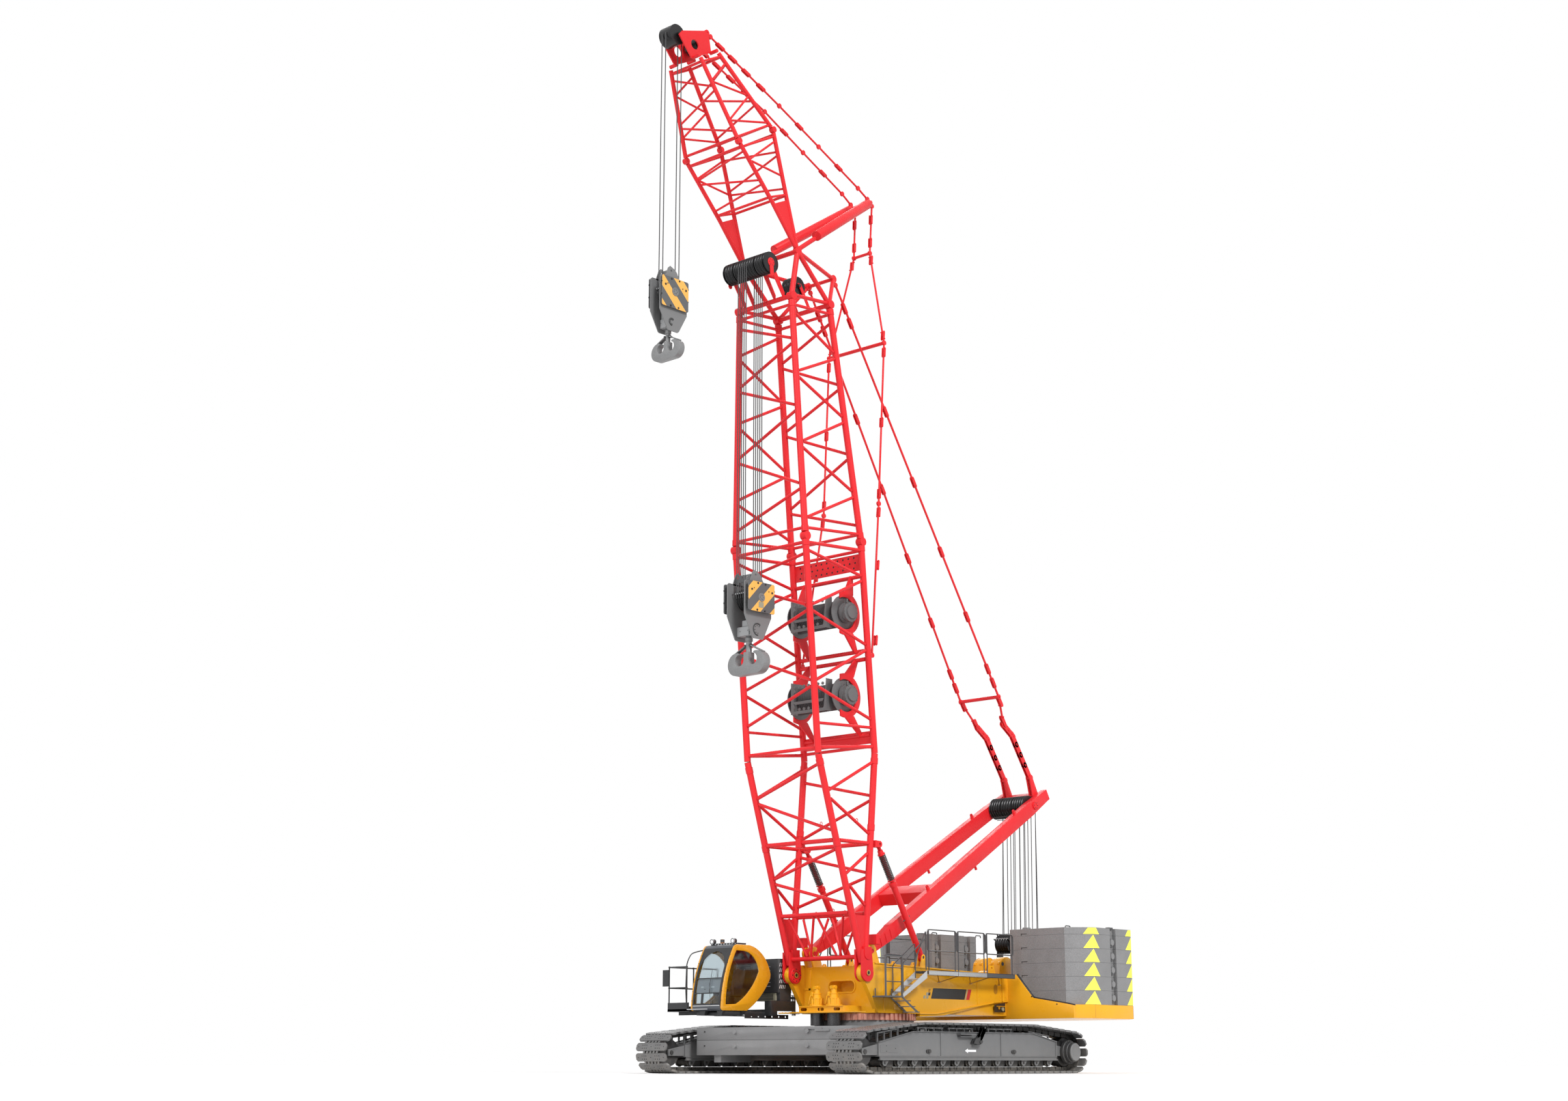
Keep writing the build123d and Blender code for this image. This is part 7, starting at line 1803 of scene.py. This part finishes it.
# name, centre X, axle height, cheek half width, top, shoulder and foot heights, cheek and cover Y,
# rope positions, sheave radius, hook height, hook half width, bowl, stripe lean and stripe start
blocks = (
    (
        "main", 4.800, 12.950, 0.540, 13.400, 12.440, 11.790, 0.330, 0.470,
        (-0.16, -0.08, 0.0, 0.08, 0.16), 0.320, 11.130, 0.700, 0.165, 1, 18.14,
    ),
    (
        "jib", 8.090, 21.150, 0.520, 21.560, 20.570, 20.010, 0.185, 0.255, (-0.075, 0.075), 0.300, 19.480,
        0.560, 0.132, -1, 12.62,
    ),
)
for row in blocks:
    name, x, axle_z, half_x, top, shoulder, foot, cheek, cover = row[:9]
    rope_ys, reach, hook_z, hook_half, bowl, leans, start = row[9:]
    body = name + "_block"
    cover_low, cover_high = shoulder + 0.090, top - 0.020
    head_low, head_high = foot + 0.110, foot + 0.380
    bm = bmesh.new()
    for side in (-1, 1):
        half_foot = half_x * 0.42
        outline = (
            (x - half_x, shoulder), (x - half_x, top - 0.05), (x - half_x + 0.05, top),
            (x + half_x - 0.05, top), (x + half_x, top - 0.05), (x + half_x, shoulder),
            (x + half_foot, foot + 0.03), (x + half_foot - 0.04, foot),
            (x - half_foot + 0.04, foot), (x - half_foot, foot + 0.03),
        )
        plate(bm, outline, side * cheek, 0.030)
        hole = round_points(x + 0.10, top + 0.20, 0.035, [step * pi / 6 for step in range(12)])
        ear = (
            (x - 0.26, top - 0.04), (x + 0.33, top - 0.04), (x + 0.21, top + 0.27),
            (x + 0.14, top + 0.335), (x - 0.02, top + 0.27), (x - 0.11, top + 0.20),
        )
        holed_plate(bm, ear, [hole], side * cheek - 0.015, 0.030)
        # bearing cap at the crosshead: an open ring with bolts
        face = side * (cheek + 0.015)
        ring = 0.165 if name == "main" else 0.095
        cap = Vector((x + (0.02 if name == "main" else 0.06), face, (head_low + head_high) / 2 + 0.02))
        arc = []
        for step in range(15):
            angle = 0.9 + step * 0.28
            arc.append(cap + Vector((-side * ring * math.cos(angle), 0, ring * math.sin(angle))))
        pipe(bm, arc, 0.022, sides=6, index=1)
        for step in range(6):
            angle = 0.9 + step * 0.8
            spot = cap + Vector((-side * ring * 0.66 * math.cos(angle), 0, ring * 0.66 * math.sin(angle)))
            stud(bm, spot, side * 0.012, 0.013, 8, index=1)
        for spacer_x in (x - half_x + 0.120, x + half_x - 0.120):
            for spacer_z in (cover_low + 0.110, top - 0.130):
                bar(
                    bm, (spacer_x, side * cheek, spacer_z), (spacer_x, side * cover, spacer_z), 0.032, 12,
                    index=1,
                )
        striped_cover(bm, x, half_x - 0.010, cover_low, cover_high, side * cover, side, leans, start)
        # round hub with six holes whose shade is painted as dark studs, bolts, and notches of the cover
        # painted black for the shade in them
        face = side * (cover + 0.015)
        turned(
            bm, (x, face, axle_z), (0, side, 0),
            ((0.0, 0.125), (0.014, 0.122), (0.014, 0.102), (0.009, 0.100), (0.009, 0.0)), 32,
        )
        bolt_circle(bm, (x, face + side * 0.008, axle_z), 0.060, 6, side * 0.003, 0.014, 8, 1)
        span, rise = half_x - 0.010, (cover_high - cover_low) / 2
        middle_z = (cover_low + cover_high) / 2
        for a, b, size in (
            (0.74, 0.42, 0.030), (-0.80, 0.42, 0.030), (0.28, 0.90, 0.030), (-0.30, 0.90, 0.026),
            (0.34, -0.90, 0.030), (-0.24, -0.90, 0.026), (0.58, 0.52, 0.014), (-0.55, 0.46, 0.014),
        ):
            spot = Vector((x + a * span, face, middle_z + b * rise))
            bar(
                bm, spot - Vector((0, side * 0.004, 0)), spot + Vector((0, side * 0.016, 0)), size, 10,
                index=4,
            )
        for a in (-1, 1):
            for b in (0.55, -0.28):
                spot = Vector((x + a * span, side * (cover + 0.0005), middle_z + b * rise))
                notch = Vector((0.009, 0.016, 0.020))
                box(bm, spot - notch, spot + notch, 0, 4)
        if name == "main":
            plate(
                bm, rounded(x + 0.02, middle_z - 0.22, 0.20, 0.16, 0.01, 2), face + side * 0.003, 0.006,
                index=5,
            )
    # cross plate with three holes between the ears, guard rod, crosshead and nut
    holes = [rounded(y, top + 0.20, 0.045, 0.045, 0.022, 3) for y in (-0.5 * cheek, 0.0, 0.5 * cheek)]
    holed_plate(bm, rounded(0.0, top + 0.16, 2 * cheek, 0.20, 0.02, 2), holes, x + 0.075, 0.030, "X")
    rod = (x + reach + 0.045, top - 0.32)
    cross_pin(bm, (rod[0], 0, rod[1]), cheek, 0.014, 10, 1)
    for y in rope_ys if name == "main" else (-0.11, -0.04, 0.04, 0.11):
        cross_pin(bm, (rod[0], y, rod[1]), 0.018, 0.022, 12, 6)
    box(
        bm, (x - half_x * 0.30, -cheek + 0.016, head_low), (x + half_x * 0.30, cheek - 0.016, head_high),
        0.012, 6,
    )
    box(
        bm, (x + half_x * 0.30, -0.55 * cheek, head_low),
        (x + half_x * 0.38, 0.55 * cheek, head_high - 0.02), 0.008, 6,
    )
    box(bm, (x - 0.12, -0.12, head_high - 0.01), (x + 0.16, 0.12, head_high + 0.170), 0.012, 6)
    for y in (-0.45 * cheek, 0.45 * cheek):
        stud(bm, (x + half_x * 0.38, y, head_low + 0.13), 0.004, 0.014, 8, index=1, across="X")
    # inner stiffener between the cheeks
    box(
        bm, (x - half_x + 0.04, -cheek + 0.016, shoulder - 0.05),
        (x - half_x + 0.07, cheek - 0.016, top - 0.25), 0.0, 1,
    )
    count = 5 if name == "main" else 2
    width = 0.08 * count if name == "main" else 0.15 * count
    sheave_pack(bm, (x, 0, axle_z), (0, 1, 0), -width / 2, width / 2, reach, count, 0.032, index=7)
    for way in (-1, 1):
        bar(bm, (x, way * width / 2, axle_z), (x, way * (cheek - 0.016), axle_z), reach * 0.55, 28, index=7)
    block = settle(
        bm, name + "_hook_block_built",
        (
            block_grey, block_dark, stripe_orange, stripe_grey, black_paint, badge_grey, crosshead_grey,
            groove_steel,
        ),
        body,
    )
    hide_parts(name + "_hook_block")
    redress(name + "_hoist_ropes", name + "_ropes_laid", rope_grey, body)
    # forged double hook with its two safety latches
    redress(name + "_hook", name + "_hook_forged", hook_grey, name + "_hook", 0.012)
    bm = bmesh.new()
    turned(
        bm, (x, 0, foot + 0.02), (0, 0, 1),
        ((-0.06, bowl * 0.52), (-0.05, bowl * 0.66), (0.04, bowl * 0.66), (0.05, bowl * 0.52)), 32,
    )
    for way in (-1, 1):
        root = Vector((x, way * bowl * 0.55, hook_z + bowl * 3.1))
        tip = Vector((x, way * (hook_half - bowl * 0.95), hook_z + bowl * 1.75))
        for shift in (Vector((-0.055, 0, 0)), Vector((0.055, 0, 0))):
            pipe(bm, (root + shift, tip + shift), 0.018, sides=6)
        cross_pin(bm, root, 0.075, 0.030, 12, index=1, across="X")
        cross_pin(bm, tip, 0.070, 0.022, 12, across="X")
        half = Vector((0.05, 0, 0))
        quad = (root - half, root + half, tip + half, tip - half)
        face = bm.faces.new([bm.verts.new(corner) for corner in quad])
        bmesh.ops.solidify(bm, geom=[face], thickness=0.010)
        arm = Vector((x, way * bowl * 0.45, hook_z + bowl * 3.1))
        bar(bm, arm - Vector((0, way * 0.03, 0)), arm + Vector((0, way * 0.035, 0)), 0.045, 12, index=1)
    settle(bm, name + "_hook_latches", (block_grey, block_dark), name + "_hook")
